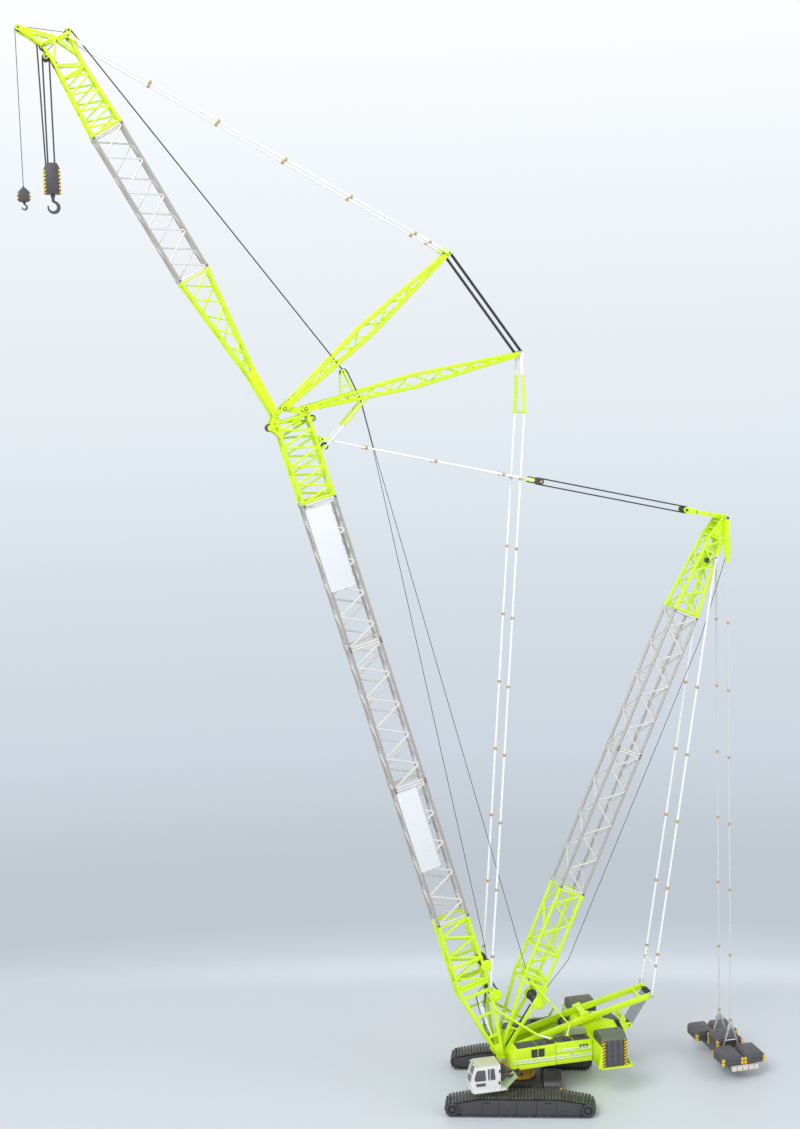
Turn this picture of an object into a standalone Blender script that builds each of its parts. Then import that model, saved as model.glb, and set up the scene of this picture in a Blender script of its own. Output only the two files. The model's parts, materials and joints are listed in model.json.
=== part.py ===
"""Lattice-boom crawler crane with a luffing jib, a derrick mast and a suspended ballast tray.

A display model at about 1:50. Metres, +Z up, +X ahead of the crane, +Y to its left. Every
member that luffs is drawn upright in a frame of its own: local +Z runs along the member, local
+X points ahead of it, and the frame's empty stands on its pivot, leaned about +Y.
"""
from math import atan2, cos, degrees, hypot, pi, radians, sin

import bmesh
import bpy
from mathutils import Matrix, Vector
from mathutils.geometry import tessellate_polygon

# ------------------------------------------------------------------ driving dimensions (metres)
GAP = 0.0003                 # clearance between neighbouring pieces
BORE_PLAY = 0.0003           # radial clearance of a pin in its bore

# crawlers
TRACK_LENGTH = 0.210
TRACK_GAUGE = 0.1565         # between the centre lines of the two belts
TRACK_HEIGHT = 0.0300
SHOE_WIDTH = 0.0312
BELT_THICKNESS = 0.0032
BELT_END_RADIUS = 0.0115
BELT_TOP_FLAT = 0.110
SIDE_FRAME_WIDTH = 0.0292
WHEEL_WIDTH = 0.0260
SLEW_ANGLE = 17.8            # the superstructure is stored turned this far over the crawlers

# car body and slewing ring
CAR_BODY_BOTTOM = 0.0080
CAR_BODY_TOP = 0.0210
CAR_BODY_LENGTH = 0.064
CAR_BODY_WIDTH = 0.060
CAR_ARM_WIDTH = 0.016
CAR_ARM_SPREAD = 0.046       # between the centre lines of the two cross arms
CAR_WEIGHT_LENGTH = 0.022
CAR_WEIGHT_WIDTH = 0.052
CAR_WEIGHT_TOP = 0.0270
CAR_WEIGHT_BOTTOM = 0.0050
RING_TOP_RADIUS = 0.0200
RING_FOOT_RADIUS = 0.0130
RING_FLANGE_HEIGHT = 0.0080

# superstructure
DECK_BOTTOM = 0.0503
DECK_THICKNESS = 0.0057
DECK_WIDTH = 0.0492
DECK_FRONT = 0.0080
DECK_REAR = -0.0923
HOUSE_BOTTOM = 0.0510
HOUSE_HEIGHT = 0.0320
HOUSE_WIDTH = 0.0248
HOUSE_FRONT = 0.0270
HOUSE_REAR = -0.0920
HOUSE_RECESS = 0.0020
FOOT_X = 0.0330              # the common foot axis of boom, mast and A-frame
FOOT_Z = 0.0580
FOOT_PIN_RADIUS = 0.0022
FOOT_BOSS_RADIUS = 0.0055
LUG_THICKNESS = 0.0036
LUG_PITCH = 0.0040           # lug to lug along the foot pin, clearance included
EAR_INSIDE = 0.0086          # half the distance between the ears that carry the foot pin

# cab
CAB_LENGTH = 0.0440
CAB_WIDTH = 0.0265
CAB_HEIGHT = 0.0460
CAB_REAR = 0.0445
CAB_INSIDE = 0.0500          # its flank nearest the crane's middle
CAB_BOTTOM = 0.0405

# counterweights and machinery
CARRIER_THICKNESS = 0.0022
CARRIER_LENGTH = 0.0464
CARRIER_WIDTH = 0.169
CARRIER_WALL_HEIGHT = 0.0330
STACK_LENGTH = 0.0367
STACK_WIDTH = 0.0380
STACK_HEIGHT = 0.0455
STACK_SHOULDER = 0.0070
WINCH_X = -0.0700
WINCH_Z = 0.0870
MACHINERY_WIDTH = 0.0430
TAIL_WIDTH = 0.0280
TAIL_REAR = -0.1570

# lattice work
CHORD = 0.0032
LACE = 0.0017
WALL = 0.0016

# boom, measured in its own frame from the foot axis
BOOM_LEAN = 15.83
BOOM_REAR = -0.0179
BOOM_FRONT = 0.0300
BOOM_HALF_WIDTH = 0.0204
BOOM_KNEE = 0.118
BOOM_FOOT_LENGTH = 0.2170
BOOM_INSERT_LENGTH = 0.2073
BOOM_INSERTS = 3
DRUM_RADIUS = 0.0080
DRUM_BARREL = 0.0052
DRUM_HALF_WIDTH = 0.0144
DRUM_PIN_RADIUS = 0.0015
BOOM_WINCHES = (0.1385, 0.0920)
WINCH_SETBACK = -0.0200      # the winch axes stand this far behind a member's axis
BOOM_TOP = BOOM_FOOT_LENGTH + BOOM_INSERTS * BOOM_INSERT_LENGTH   # where the head begins
BOOM_HEAD_LATTICE = 0.0810   # the laced part of the head
STAY_LUG_ALONG = BOOM_TOP + 0.0750      # the lug of the stays to the mast
STAY_LUG_ACROSS = -0.0240
HEAD_SHEAVE_ACROSS = 0.0375
JIB_PIVOT_ALONG = BOOM_TOP + 0.1261     # in the boom's frame
JIB_PIVOT_ACROSS = 0.0257
HEAD_SHEAVE_BELOW = 0.0161   # the front sheave's axle below the jib's pivot
HEAD_SHEAVE_ALONG = JIB_PIVOT_ALONG - HEAD_SHEAVE_BELOW

# derrick mast
MAST_LEAN = -24.6
MAST_REAR = -0.0218
MAST_FRONT = 0.0180
MAST_HALF_WIDTH = 0.0210
MAST_KNEE = 0.124
MAST_FOOT_LENGTH = 0.2570
MAST_INSERT_LENGTH = 0.2136
MAST_INSERTS = 2
MAST_TOP = MAST_FOOT_LENGTH + MAST_INSERTS * MAST_INSERT_LENGTH
MAST_TOP_PIN_ALONG = MAST_TOP + 0.1465
MAST_TOP_PIN_ACROSS = -0.0043
MAST_WINCH = 0.0920

# A-frame
A_FRAME_LENGTH = 0.2418
A_FRAME_LEAN = -73.7
A_FRAME_ARM_DEPTH = 0.0090
A_FRAME_PIN_ALONG = A_FRAME_LENGTH - 0.0058

# jib and its struts
JIB_LEAN = 29.2
JIB_REAR = -0.0245
JIB_FRONT = 0.0197
JIB_HALF_WIDTH = 0.0159
JIB_FOOT_LENGTH = 0.2080
JIB_INSERT_LENGTH = 0.2105
JIB_PIN_RADIUS = 0.0020
FRONT_STRUT_ALONG = JIB_PIVOT_ALONG + 0.0027
FRONT_STRUT_ACROSS = 0.0123
FRONT_STRUT_LEAN = -49.0
FRONT_STRUT_LENGTH = 0.3056
REAR_STRUT_ALONG = JIB_PIVOT_ALONG - 0.0060
REAR_STRUT_ACROSS = -0.0144
REAR_STRUT_LEAN = -77.8
REAR_STRUT_LENGTH = 0.3080
JIB_TOP = JIB_FOOT_LENGTH + JIB_INSERT_LENGTH
HOIST_SHEAVE_ALONG = JIB_TOP + 0.1125   # in the jib's frame
HOIST_SHEAVE_ACROSS = 0.0160
HOIST_SHEAVE_RADIUS = 0.0058
TOP_SHEAVE_ALONG = JIB_TOP + 0.1264
TOP_SHEAVE_ACROSS = -0.0255
TOP_SHEAVE_RADIUS = 0.0036
TIP_SHEAVE_ALONG = JIB_TOP + 0.1588
TIP_SHEAVE_ACROSS = 0.0269
TIP_SHEAVE_RADIUS = 0.0032

# stays, ropes and what hangs on them
ROPE_RADIUS = 0.0005
STAY_RADIUS = 0.0009
STAY_HALF_SPREAD = 0.0200
BLOCK_SHEAVE_RADIUS = 0.0036
MAIN_HOOK_DROP = 0.1490      # hoist sheaves to the block's sheaves
BLOCK_WIDTH = 0.0200
BLOCK_CHEEK = 0.0016
AUX_DROP = 0.1950            # tip sheave to the small block's top
AUX_BLOCK_HEIGHT = 0.0180
AUX_BLOCK_WIDTH = 0.0165
TRAY_LENGTH = 0.1412         # across the crane
TRAY_WIDTH = 0.0400
TRAY_BOTTOM = 0.0171
TRAY_BEAM_HEIGHT = 0.0068
BALLAST_HEIGHT = 0.0150
BALLAST_LENGTH = 0.0660
BALLAST_DEPTH = 0.0370
CENTRE_BALLAST_HALF = 0.0175

# further sizes that several pieces share
CUT_REACH = 0.0300           # half the length of a cutter that bores right across a member
AXLE_RADIUS = 0.0022
WHEEL_PLAY = 0.0010          # between an end wheel and the belt round it
BELT_SHOES = 26
SHOE_GROOVE = 0.0008
SHAFT_HALF = 0.0262
SADDLE_Y = 0.0400
SADDLE_HEIGHT = 0.0022
SADDLE_TOP = HOUSE_BOTTOM + HOUSE_HEIGHT + SADDLE_HEIGHT
BOOM_SADDLE_X = -0.0340
MAST_SADDLE_X = -0.0580
BOOM_STOP_ALONG = 0.0750
BOOM_STOP_BEND = (-0.0170, 0.0910)
MAST_STOP_BEND = (-0.0640, 0.1020)
CAB_HINGE_X = 0.0405
CAB_HINGE_Z = 0.0570
CAB_HINGE_Y = (0.0504, 0.0640)
CAB_PIN_RADIUS = 0.0012
CARRIER_BOTTOM = 0.0513
TAIL_BOTTOM = 0.0720
TAIL_TOP = 0.0975
TAIL_SHEAVE_Z = 0.0800
HEAD_CHEEK_IN = 0.0115
MAST_CHEEK_IN = 0.0125
JIB_CHEEK_IN = 0.0085
STAY_PIN_RADIUS = 0.0013
STAY_EYE_IN = 0.0098
JIB_STAY_EYE_IN = 0.0124
JIB_STAY_ALONG = JIB_TOP + 0.1207
JIB_HEAD_BEND = JIB_TOP + 0.0855        # where the head's lattice narrows to its cheeks
JIB_HEAD_END = JIB_TOP + 0.1025
JIB_STAY_ACROSS = -0.0212
MAST_STAY_ALONG = MAST_TOP_PIN_ALONG - 0.0579
MAST_STAY_ACROSS = -0.0113
A_FRAME_BEND_ALONG = 0.0270
A_FRAME_BEND_ACROSS = 0.0085
A_FRAME_CROSS_ALONG = A_FRAME_LENGTH - 0.1078
A_FRAME_CROSS_ACROSS = 0.0060
LEAD_START = MAST_WINCH - 0.0260        # the luffing rope's lead behind the mast
LEAD_SETBACK = -0.0460
LEAD_LEAVES = 0.1737         # below the mast's top pin, where the lead bends in
LEAD_TURNS = 0.0407
LEAD_TURN_SETBACK = -0.0330
FRONT_BLOCK_ALONG = 0.3120
REAR_BLOCK_ALONG = 0.5320
# (along, across) in the rear strut's frame, and LINE_BELOW and SPREADER in the boom's
GUIDE = (0.06234, 0.03496)   # the hoist ropes' guide roller on the rear strut
GUIDE_LINE = (0.06591, 0.03633)
STRUT_CROSSING = (0.07771, -0.00612)
LINE_BELOW = (BOOM_TOP + 0.04231, -0.08875)
HOIST_LINE_Y = 0.0025
STRUT_STOP_HIGH = (0.08617, -0.00437)
STRUT_STOP_LOW = STAY_LUG_ALONG - 0.0139     # along the boom
STRUT_STOP_Y = 0.0150
SPREADER = (BOOM_TOP + 0.02515, -0.29956)
REAR_STAY_FOOT_ALONG = 0.1062
REAR_STAY_FOOT_ACROSS = -0.0150
REAR_STAY_HALF = 0.0222
BLOCK_THICKNESS = 0.0180
BLOCK_BELOW = 0.0195
BLOCK_ABOVE = 0.0190
SHANK_RADIUS = 0.0018
HOOK_BEND_RADIUS = 0.0066
HOOK_BAR_RADIUS = 0.0021
HOOK_DROP = 0.0163
TRAY_APEX = 0.0637
TRAY_LEG_SPREAD = 0.0130
TRAY_LEG_RISE = 0.0040
TRAY_LEG_RADIUS = 0.0013
PENDANT_HEAD = 0.0640        # the length of the plates at the pendants' top
ENGINE_REAR = 0.0100         # behind the winch axis
ENGINE_FRONT = 0.0380        # ahead of it
ENGINE_HEIGHT = 0.0180
TAIL_SLOPE = 0.0370
TAIL_END_HEIGHT = 0.0130
CENTRE_BALLAST_TOP = 0.0450
BALLAST_INNER = 0.0285

MATERIALS = {
    # name: (red, green, blue), roughness, metallic
    "lime_paint": ((0.60, 0.90, 0.01), 0.38, 0.0),
    "silver_lattice": ((0.66, 0.64, 0.62), 0.36, 0.5),
    "dark_grey": ((0.075, 0.075, 0.08), 0.5, 0.0),
    "weight_grey": ((0.10, 0.10, 0.11), 0.55, 0.0),
    "gold_ring": ((0.80, 0.42, 0.08), 0.35, 0.7),
    "cab_silver": ((0.78, 0.76, 0.74), 0.35, 0.1),
    "stay_white": ((0.86, 0.86, 0.87), 0.4, 0.0),
    "rope_black": ((0.03, 0.03, 0.035), 0.6, 0.0),
    "drum_black": ((0.05, 0.05, 0.055), 0.45, 0.1),
    "tray_steel": ((0.72, 0.71, 0.66), 0.35, 0.5),
}


# ------------------------------------------------------------------ frames
class Frame:
    """A place in the crane's side plane, with a lean, and the empty that stands for it.

    A frame that is given a y is placed in its parent's own axes.
    """

    def __init__(self, name, x, z, lean=0.0, parent=None, turn=0.0, y=None):
        self.x, self.z, self.lean = x, z, lean
        self.matrix = (Matrix.Translation((x, y or 0, z)) @ Matrix.Rotation(radians(turn), 4, "Z")
                       @ Matrix.Rotation(radians(lean), 4, "Y"))
        if y is not None:
            self.matrix = parent.matrix @ self.matrix
        self.empty = bpy.data.objects.new(name, None)
        self.empty.empty_display_size = 0.01
        bpy.context.collection.objects.link(self.empty)
        if parent:
            self.empty.parent = parent.empty
            self.empty.matrix_basis = parent.matrix.inverted() @ self.matrix
        else:
            self.empty.matrix_basis = self.matrix

    def at(self, along, across=0.0):
        """The side-plane point (x, z) that lies so far along and across this member."""
        lean = radians(self.lean)
        return (self.x + along * sin(lean) + across * cos(lean),
                self.z + along * cos(lean) - across * sin(lean))

    def inside(self, point):
        """The (along, across) of a side-plane point."""
        lean = radians(self.lean)
        dx, dz = point[0] - self.x, point[1] - self.z
        return dx * sin(lean) + dz * cos(lean), dx * cos(lean) - dz * sin(lean)


def lean_between(low, high):
    """The lean, in degrees, of the line from one side-plane point up to another."""
    return degrees(atan2(high[0] - low[0], high[1] - low[1]))


# ------------------------------------------------------------------ closed solids, as (points, faces)
def box(x, y, z):
    """A block from three (low, high) pairs."""
    points = [(a, b, c) for a in x for b in y for c in z]
    faces = [(0, 1, 3, 2), (4, 6, 7, 5), (0, 4, 5, 1), (2, 3, 7, 6), (0, 2, 6, 4), (1, 5, 7, 3)]
    return points, faces


def prism(outline, low, high, axis="Y"):
    """An outline of (x, z) points pushed out along Y, or of (y, z) points along X."""
    place = (lambda p, d: (p[0], d, p[1])) if axis == "Y" else (lambda p, d: (d, p[0], p[1]))
    count = len(outline)
    points = [place(p, d) for d in (low, high) for p in outline]
    faces = [tuple(range(count)), tuple(range(2 * count - 1, count - 1, -1))]
    faces += [(i, (i + 1) % count, count + (i + 1) % count, count + i) for i in range(count)]
    return points, faces


def turned(profile, centre, axis="Y", sides=12):
    """(radius, distance) pairs turned about an axis through the centre."""
    points, faces = [], []
    for radius, distance in profile:
        for k in range(sides):
            a, b = radius * cos(2 * pi * k / sides), radius * sin(2 * pi * k / sides)
            spot = (a, distance, b) if axis == "Y" else (a, b, distance)
            points.append(tuple(c + s for c, s in zip(centre, spot)))
    for ring in range(len(profile) - 1):
        for k in range(sides):
            a, b = ring * sides + k, ring * sides + (k + 1) % sides
            faces.append((a, b, b + sides, a + sides))
    faces.append(tuple(range(sides)))
    faces.append(tuple(range(len(points) - 1, len(points) - sides - 1, -1)))
    return points, faces


def pin(centre, radius, half_length, sides=8):
    """A round bar across the crane, centred on a side-plane point."""
    return turned([(radius, -half_length), (radius, half_length)], (centre[0], 0, centre[1]),
                  "Y", sides)


def disc(centre, radius, low, high, sides=10):
    """A round plate between two distances from the crane's middle plane."""
    return turned([(radius, low), (radius, high)], (centre[0], 0, centre[1]), "Y", sides)


def sweep(route, radius, sides=5):
    """A round bar, rope or rod along a route of points."""
    route = [Vector(p) for p in route]
    runs = [(b - a).normalized() for a, b in zip(route, route[1:])]
    ways = [runs[0]] + [(a + b).normalized() for a, b in zip(runs, runs[1:])] + [runs[-1]]
    side = ways[0].cross(Vector((0, 1, 0)))
    if side.length < 0.1:
        side = ways[0].cross(Vector((1, 0, 0)))
    points, faces = [], []
    for spot, way in zip(route, ways):
        side = (side - way * side.dot(way)).normalized()
        other = way.cross(side)
        for k in range(sides):
            angle = 2 * pi * k / sides
            points.append(tuple(spot + radius * (cos(angle) * side + sin(angle) * other)))
    for ring in range(len(route) - 1):
        for k in range(sides):
            a, b = ring * sides + k, ring * sides + (k + 1) % sides
            faces.append((a, b, b + sides, a + sides))
    faces.append(tuple(range(sides)))
    faces.append(tuple(range(len(points) - 1, len(points) - sides - 1, -1)))
    return points, faces


def mirrored(solid):
    """The same solid on the other side of the crane."""
    points, faces = solid
    return [(x, -y, z) for x, y, z in points], [tuple(reversed(f)) for f in faces]


def both(*solids):
    """Each solid, left and right."""
    return [copy for solid in solids for copy in (solid, mirrored(solid))]


# ------------------------------------------------------------------ lattice work
def inset(triangle, offsets):
    """A triangle drawn in by an offset for each of its edges."""
    centre = sum((Vector(p) for p in triangle), Vector((0, 0))) / 3
    lines = []
    for (a, b), offset in zip(zip(triangle, triangle[1:] + triangle[:1]), offsets):
        a, b = Vector(a), Vector(b)
        normal = Vector((b.y - a.y, a.x - b.x)).normalized()
        if normal.dot(centre - a) < 0:
            normal = -normal
        lines.append((normal, normal.dot(a) + offset))
    corners = []
    for (n1, d1), (n2, d2) in zip(lines[-1:] + lines[:-1], lines):
        det = n1.x * n2.y - n1.y * n2.x
        corners.append(((d1 * n2.y - n1.y * d2) / det, (n1.x * d2 - d1 * n2.x) / det))
    return corners


def windows(length, low, high, legs, bars, flip):
    """The windows that leave a zigzag of so many legs between two chords, as (across, along).

    low and high are the chords' inner edges, each a function of the distance along. With no
    legs there is one open window.
    """
    start, stop = bars[0], length - bars[1]
    if not legs:
        return [[(low(start), start), (high(start), start), (high(stop), stop), (low(stop), stop)]]
    step = (stop - start) / legs
    found = []
    for k in range(legs + 1):
        sides = (low, high) if (k + flip) % 2 == 0 else (high, low)
        here = start + k * step
        near, far = max(start, here - step), min(stop, here + step)
        corners = [(sides[0](here), here), (sides[1](near), near), (sides[1](far), far)]
        edge_is_leg = (k > 0, False, k < legs)
        found.append(inset(corners, [LACE / 2 if leg else 0.0 for leg in edge_is_leg]))
    return found


def lattice(stations, side_legs, face_legs, bars, flip=0, chord=CHORD):
    """A four-chord lattice tower, one closed solid.

    stations: (along, rear, front, half width); side_legs: zigzag legs on the flanks in each bay;
    face_legs: (rear, front) legs in each bay, None for a plain plate; bars: the width of the
    cross bar on either side of each station.
    """
    mesh = bmesh.new()
    index = {}

    def vertex(spot):
        key = tuple(round(c * 1e7) for c in spot)
        if key not in index:
            index[key] = mesh.verts.new(spot)
        return index[key]

    def face(spots):
        corners = [vertex(s) for s in spots]
        if len(set(corners)) >= 3:
            mesh.faces.new(corners)

    def corner(station, front, side, inner):
        along, back, ahead, half = station
        across = (ahead - WALL * inner) if front else (back + WALL * inner)
        return across, side * (half - WALL * inner), along

    for bay, (one, two) in enumerate(zip(stations, stations[1:])):
        length = two[0] - one[0]

        def blend(item, p, one=one, two=two, length=length):
            return one[item] + (two[item] - one[item]) * p / length

        for panel in ("left", "right", "rear", "front"):
            flank = panel in ("left", "right")
            legs = side_legs[bay] if flank else face_legs[bay][panel == "front"]
            if flank:
                side = 1 if panel == "left" else -1
                low = lambda p: blend(1, p) + chord
                high = lambda p: blend(2, p) - chord
                spot = lambda q, p, inner: (q, side * (blend(3, p) - WALL * inner), one[0] + p)
                ends = [(False, side), (True, side)]
            else:
                ahead = panel == "front"
                sign = 1 if ahead else -1
                low = lambda p: -blend(3, p) + chord
                high = lambda p: blend(3, p) - chord
                spot = lambda q, p, inner: (blend(2 if ahead else 1, p) - sign * WALL * inner, q,
                                            one[0] + p)
                ends = [(ahead, -1), (ahead, 1)]
            holes = [] if legs is None else windows(length, low, high, legs,
                                                    (bars[bay][1], bars[bay + 1][0]), flip)
            for inner in (0, 1):
                rim = [corner(one, *ends[0], inner), corner(one, *ends[1], inner),
                       corner(two, *ends[1], inner), corner(two, *ends[0], inner)]
                flat_rim = [Vector((c[0] if flank else c[1], c[2] - one[0], 0)) for c in rim]
                flat = [flat_rim] + [[Vector((q, p, 0)) for q, p in hole] for hole in holes]
                spots = rim + [spot(q, p, inner) for hole in holes for q, p in hole]
                for triangle in tessellate_polygon(flat):
                    face([spots[i] for i in triangle])
            for hole in holes:
                for (q1, p1), (q2, p2) in zip(hole, hole[1:] + hole[:1]):
                    face([spot(q1, p1, 0), spot(q2, p2, 0), spot(q2, p2, 1), spot(q1, p1, 1)])
    for station in (stations[0], stations[-1]):
        ring = [(False, -1), (True, -1), (True, 1), (False, 1)]
        for a, b in zip(ring, ring[1:] + ring[:1]):
            face([corner(station, *a, 0), corner(station, *b, 0),
                  corner(station, *b, 1), corner(station, *a, 1)])
    bmesh.ops.recalc_face_normals(mesh, faces=mesh.faces)
    points = [tuple(v.co) for v in mesh.verts]
    mesh.verts.index_update()
    faces = [tuple(v.index for v in f.verts) for f in mesh.faces]
    mesh.free()
    return points, faces


# ------------------------------------------------------------------ objects
def make_material(name):
    colour, roughness, metallic = MATERIALS[name]
    material = bpy.data.materials.new(name)
    material.use_nodes = True
    shader = material.node_tree.nodes["Principled BSDF"]
    shader.inputs["Base Color"].default_value = (*colour, 1.0)
    shader.inputs["Roughness"].default_value = roughness
    shader.inputs["Metallic"].default_value = metallic
    material.diffuse_color = (*colour, 1.0)
    return material


def mesh_of(solids):
    mesh = bmesh.new()
    for points, faces in solids:
        corners = [mesh.verts.new(p) for p in points]
        for loop in faces:
            mesh.faces.new([corners[i] for i in loop])
    bmesh.ops.recalc_face_normals(mesh, faces=mesh.faces)
    data = bpy.data.meshes.new("solid")
    mesh.to_mesh(data)
    mesh.free()
    return data


def loose(solids):
    thing = bpy.data.objects.new("loose", mesh_of(solids))
    bpy.context.collection.objects.link(thing)
    return thing


def joined(solids, bores=()):
    """One mesh: the first solid with the others joined to it and the bores taken out."""
    base = loose(solids[:1])
    helpers = []
    for group, operation in ((solids[1:], "UNION"), (bores, "DIFFERENCE")):
        for solid in group:
            tool = loose([solid])
            helpers.append(tool)
            step = base.modifiers.new(operation.lower(), "BOOLEAN")
            step.operation = operation
            step.solver = "EXACT"
            step.object = tool
    graph = bpy.context.evaluated_depsgraph_get()
    data = bpy.data.meshes.new_from_object(base.evaluated_get(graph))
    for thing in [base] + helpers:
        old = thing.data
        bpy.data.objects.remove(thing)
        bpy.data.meshes.remove(old)
    tidy = bmesh.new()
    tidy.from_mesh(data)
    bmesh.ops.remove_doubles(tidy, verts=tidy.verts, dist=2e-6)
    bmesh.ops.dissolve_degenerate(tidy, edges=tidy.edges, dist=2e-6)
    tidy.to_mesh(data)
    tidy.free()
    return data


def add(name, material, body, solids, bores=(), frame=None, smooth=False):
    """A named sub-part, carried by a body's frame and drawn in a frame (the same by default)."""
    frame = frame or body
    data = joined(solids, bores) if len(solids) > 1 or bores else mesh_of(solids)
    data.name = name
    thing = bpy.data.objects.new(name, data)
    bpy.context.collection.objects.link(thing)
    thing.parent = body.empty
    thing.matrix_basis = body.matrix.inverted() @ frame.matrix
    data.materials.clear()
    data.materials.append(PAINTS[material])
    if smooth:
        data.shade_smooth()
        data.set_sharp_from_angle(angle=radians(35))
    return thing


# ------------------------------------------------------------------ repeated forms
def lug(centre, reach, radius, low, high):
    """A plate that rounds a pin and runs on to a point of the same member, (across, along)."""
    way = Vector((reach[0] - centre[0], reach[1] - centre[1])).normalized()
    side = Vector((-way.y, way.x)) * radius
    start = atan2(side.y, side.x)
    arc = [(centre[0] + radius * cos(start + pi * k / 4), centre[1] + radius * sin(start + pi * k / 4))
           for k in range(5)]
    tail = [(reach[0] - side.x, reach[1] - side.y), (reach[0] + side.x, reach[1] + side.y)]
    return prism(arc + tail, low, high)


def reeving(first, second, radius, lanes, lead=None):
    """A rope led to and fro between two sheave axes (x, z), once round both for each lane.

    lead holds the points by which the rope comes to the first sheave.
    """
    lean = radians(lean_between(first, second))
    ahead, up = (cos(lean), -sin(lean)), (sin(lean), cos(lean))
    route = []

    def turn(centre, y, start, stop, steps=6):
        for k in range(steps + 1):
            angle = start + (stop - start) * k / steps
            c, s = radius * cos(angle), radius * sin(angle)
            route.append((centre[0] + c * ahead[0] + s * up[0], y, centre[1] + c * ahead[1] + s * up[1]))

    if lead:
        route += lead
    for number, y in enumerate(lanes):
        if number or lead:
            turn(first, (y + lanes[number - 1]) / 2 if number else y, 2 * pi, pi)
        else:
            route.append((first[0] - radius * ahead[0], y, first[1] - radius * ahead[1]))
        turn(second, y, pi, 0)
    route.append((first[0] + radius * ahead[0], lanes[-1], first[1] + radius * ahead[1]))
    return sweep(route, ROPE_RADIUS, 4)


def drum(centre):
    """A winch drum on its pin: flange, barrel, flange."""
    half, pin_end = DRUM_HALF_WIDTH, DRUM_HALF_WIDTH + 0.0020
    flange = 0.0012
    profile = [(DRUM_PIN_RADIUS, -pin_end), (DRUM_PIN_RADIUS, -half), (DRUM_RADIUS, -half),
               (DRUM_RADIUS, flange - half), (DRUM_BARREL, flange - half)]
    profile += [(r, -d) for r, d in reversed(profile)]
    return turned(profile, (centre[0], 0, centre[1]), "Y", 10)


def sheaves(centre, radius, half_width, pin_radius, pin_half):
    """A sheave cluster with its pin."""
    profile = [(pin_radius, -pin_half), (pin_radius, -half_width), (radius, -half_width),
               (radius, half_width), (pin_radius, half_width), (pin_radius, pin_half)]
    return turned(profile, (centre[0], 0, centre[1]), "Y", 10)


def wheel(centre, radius, half_width, pin_radius, pin_half):
    """A crawler wheel with its stub axles, about Y through a point (x, y, z)."""
    profile = [(pin_radius, -pin_half), (pin_radius, -half_width), (radius, -half_width),
               (radius, half_width), (pin_radius, half_width), (pin_radius, pin_half)]
    return turned(profile, centre, "Y", 16)


def belt_line(steps):
    """The belt's inner line: evenly spaced (x, z, normal x, normal z), once round."""
    end = TRACK_LENGTH / 2 - BELT_END_RADIUS
    top = BELT_TOP_FLAT / 2
    small = BELT_END_RADIUS - BELT_THICKNESS
    bend = small
    inner_top = TRACK_HEIGHT - BELT_THICKNESS
    discs = [((-end, BELT_END_RADIUS), small), ((end, BELT_END_RADIUS), small),
             ((top, inner_top - bend), bend), ((-top, inner_top - bend), bend)]
    fine = []
    for k, ((a, ra), (b, rb)) in enumerate(zip(discs, discs[1:] + discs[:1])):
        run = Vector((b[0] - a[0], b[1] - a[1]))
        out = Vector((run.y, -run.x)).normalized()
        c = discs[(k + 2) % 4][0]
        after = Vector((c[0] - b[0], c[1] - b[1]))
        out_next = Vector((after.y, -after.x)).normalized()
        turn = out.angle(out_next)
        spin = atan2(out.y, out.x)
        for i in range(24):
            share = i / 24
            spot = Vector(a) + out * ra + run * share
            fine.append((spot.x, spot.y, out.x, out.y))
        for i in range(12):
            angle = spin + turn * i / 12
            fine.append((b[0] + rb * cos(angle), b[1] + rb * sin(angle), cos(angle), sin(angle)))
    lengths = [hypot(q[0] - p[0], q[1] - p[1]) for p, q in zip(fine, fine[1:] + fine[:1])]
    total = sum(lengths)
    line, done, k = [], 0.0, 0
    for step in range(steps):
        goal = total * step / steps
        while done + lengths[k] < goal:
            done += lengths[k]
            k += 1
        share = (goal - done) / lengths[k] if lengths[k] else 0
        p, q = fine[k], fine[(k + 1) % len(fine)]
        line.append(tuple(a + (b - a) * share for a, b in zip(p, q)))
    return line


def belt(side):
    """A crawler belt: a closed band of shoes with a groove between each two."""
    line = belt_line(BELT_SHOES * 3)
    outer = [(x + nx * h, z + nz * h) for (x, z, nx, nz), h in
             zip(line, [BELT_THICKNESS, BELT_THICKNESS, BELT_THICKNESS - SHOE_GROOVE] * BELT_SHOES)]
    inner = [(x, z) for x, z, _, _ in line]
    count = len(line)
    low = side * TRACK_GAUGE / 2 - SHOE_WIDTH / 2
    high = side * TRACK_GAUGE / 2 + SHOE_WIDTH / 2
    points = [(x, y, z) for y in (low, high) for ring in (outer, inner) for x, z in ring]
    faces = []
    for i in range(count):
        j = (i + 1) % count
        faces += [(i, j, 2 * count + j, 2 * count + i),
                  (count + i, 3 * count + i, 3 * count + j, count + j),
                  (i, count + i, count + j, j),
                  (2 * count + i, 2 * count + j, 3 * count + j, 3 * count + i)]
    return points, faces


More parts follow.
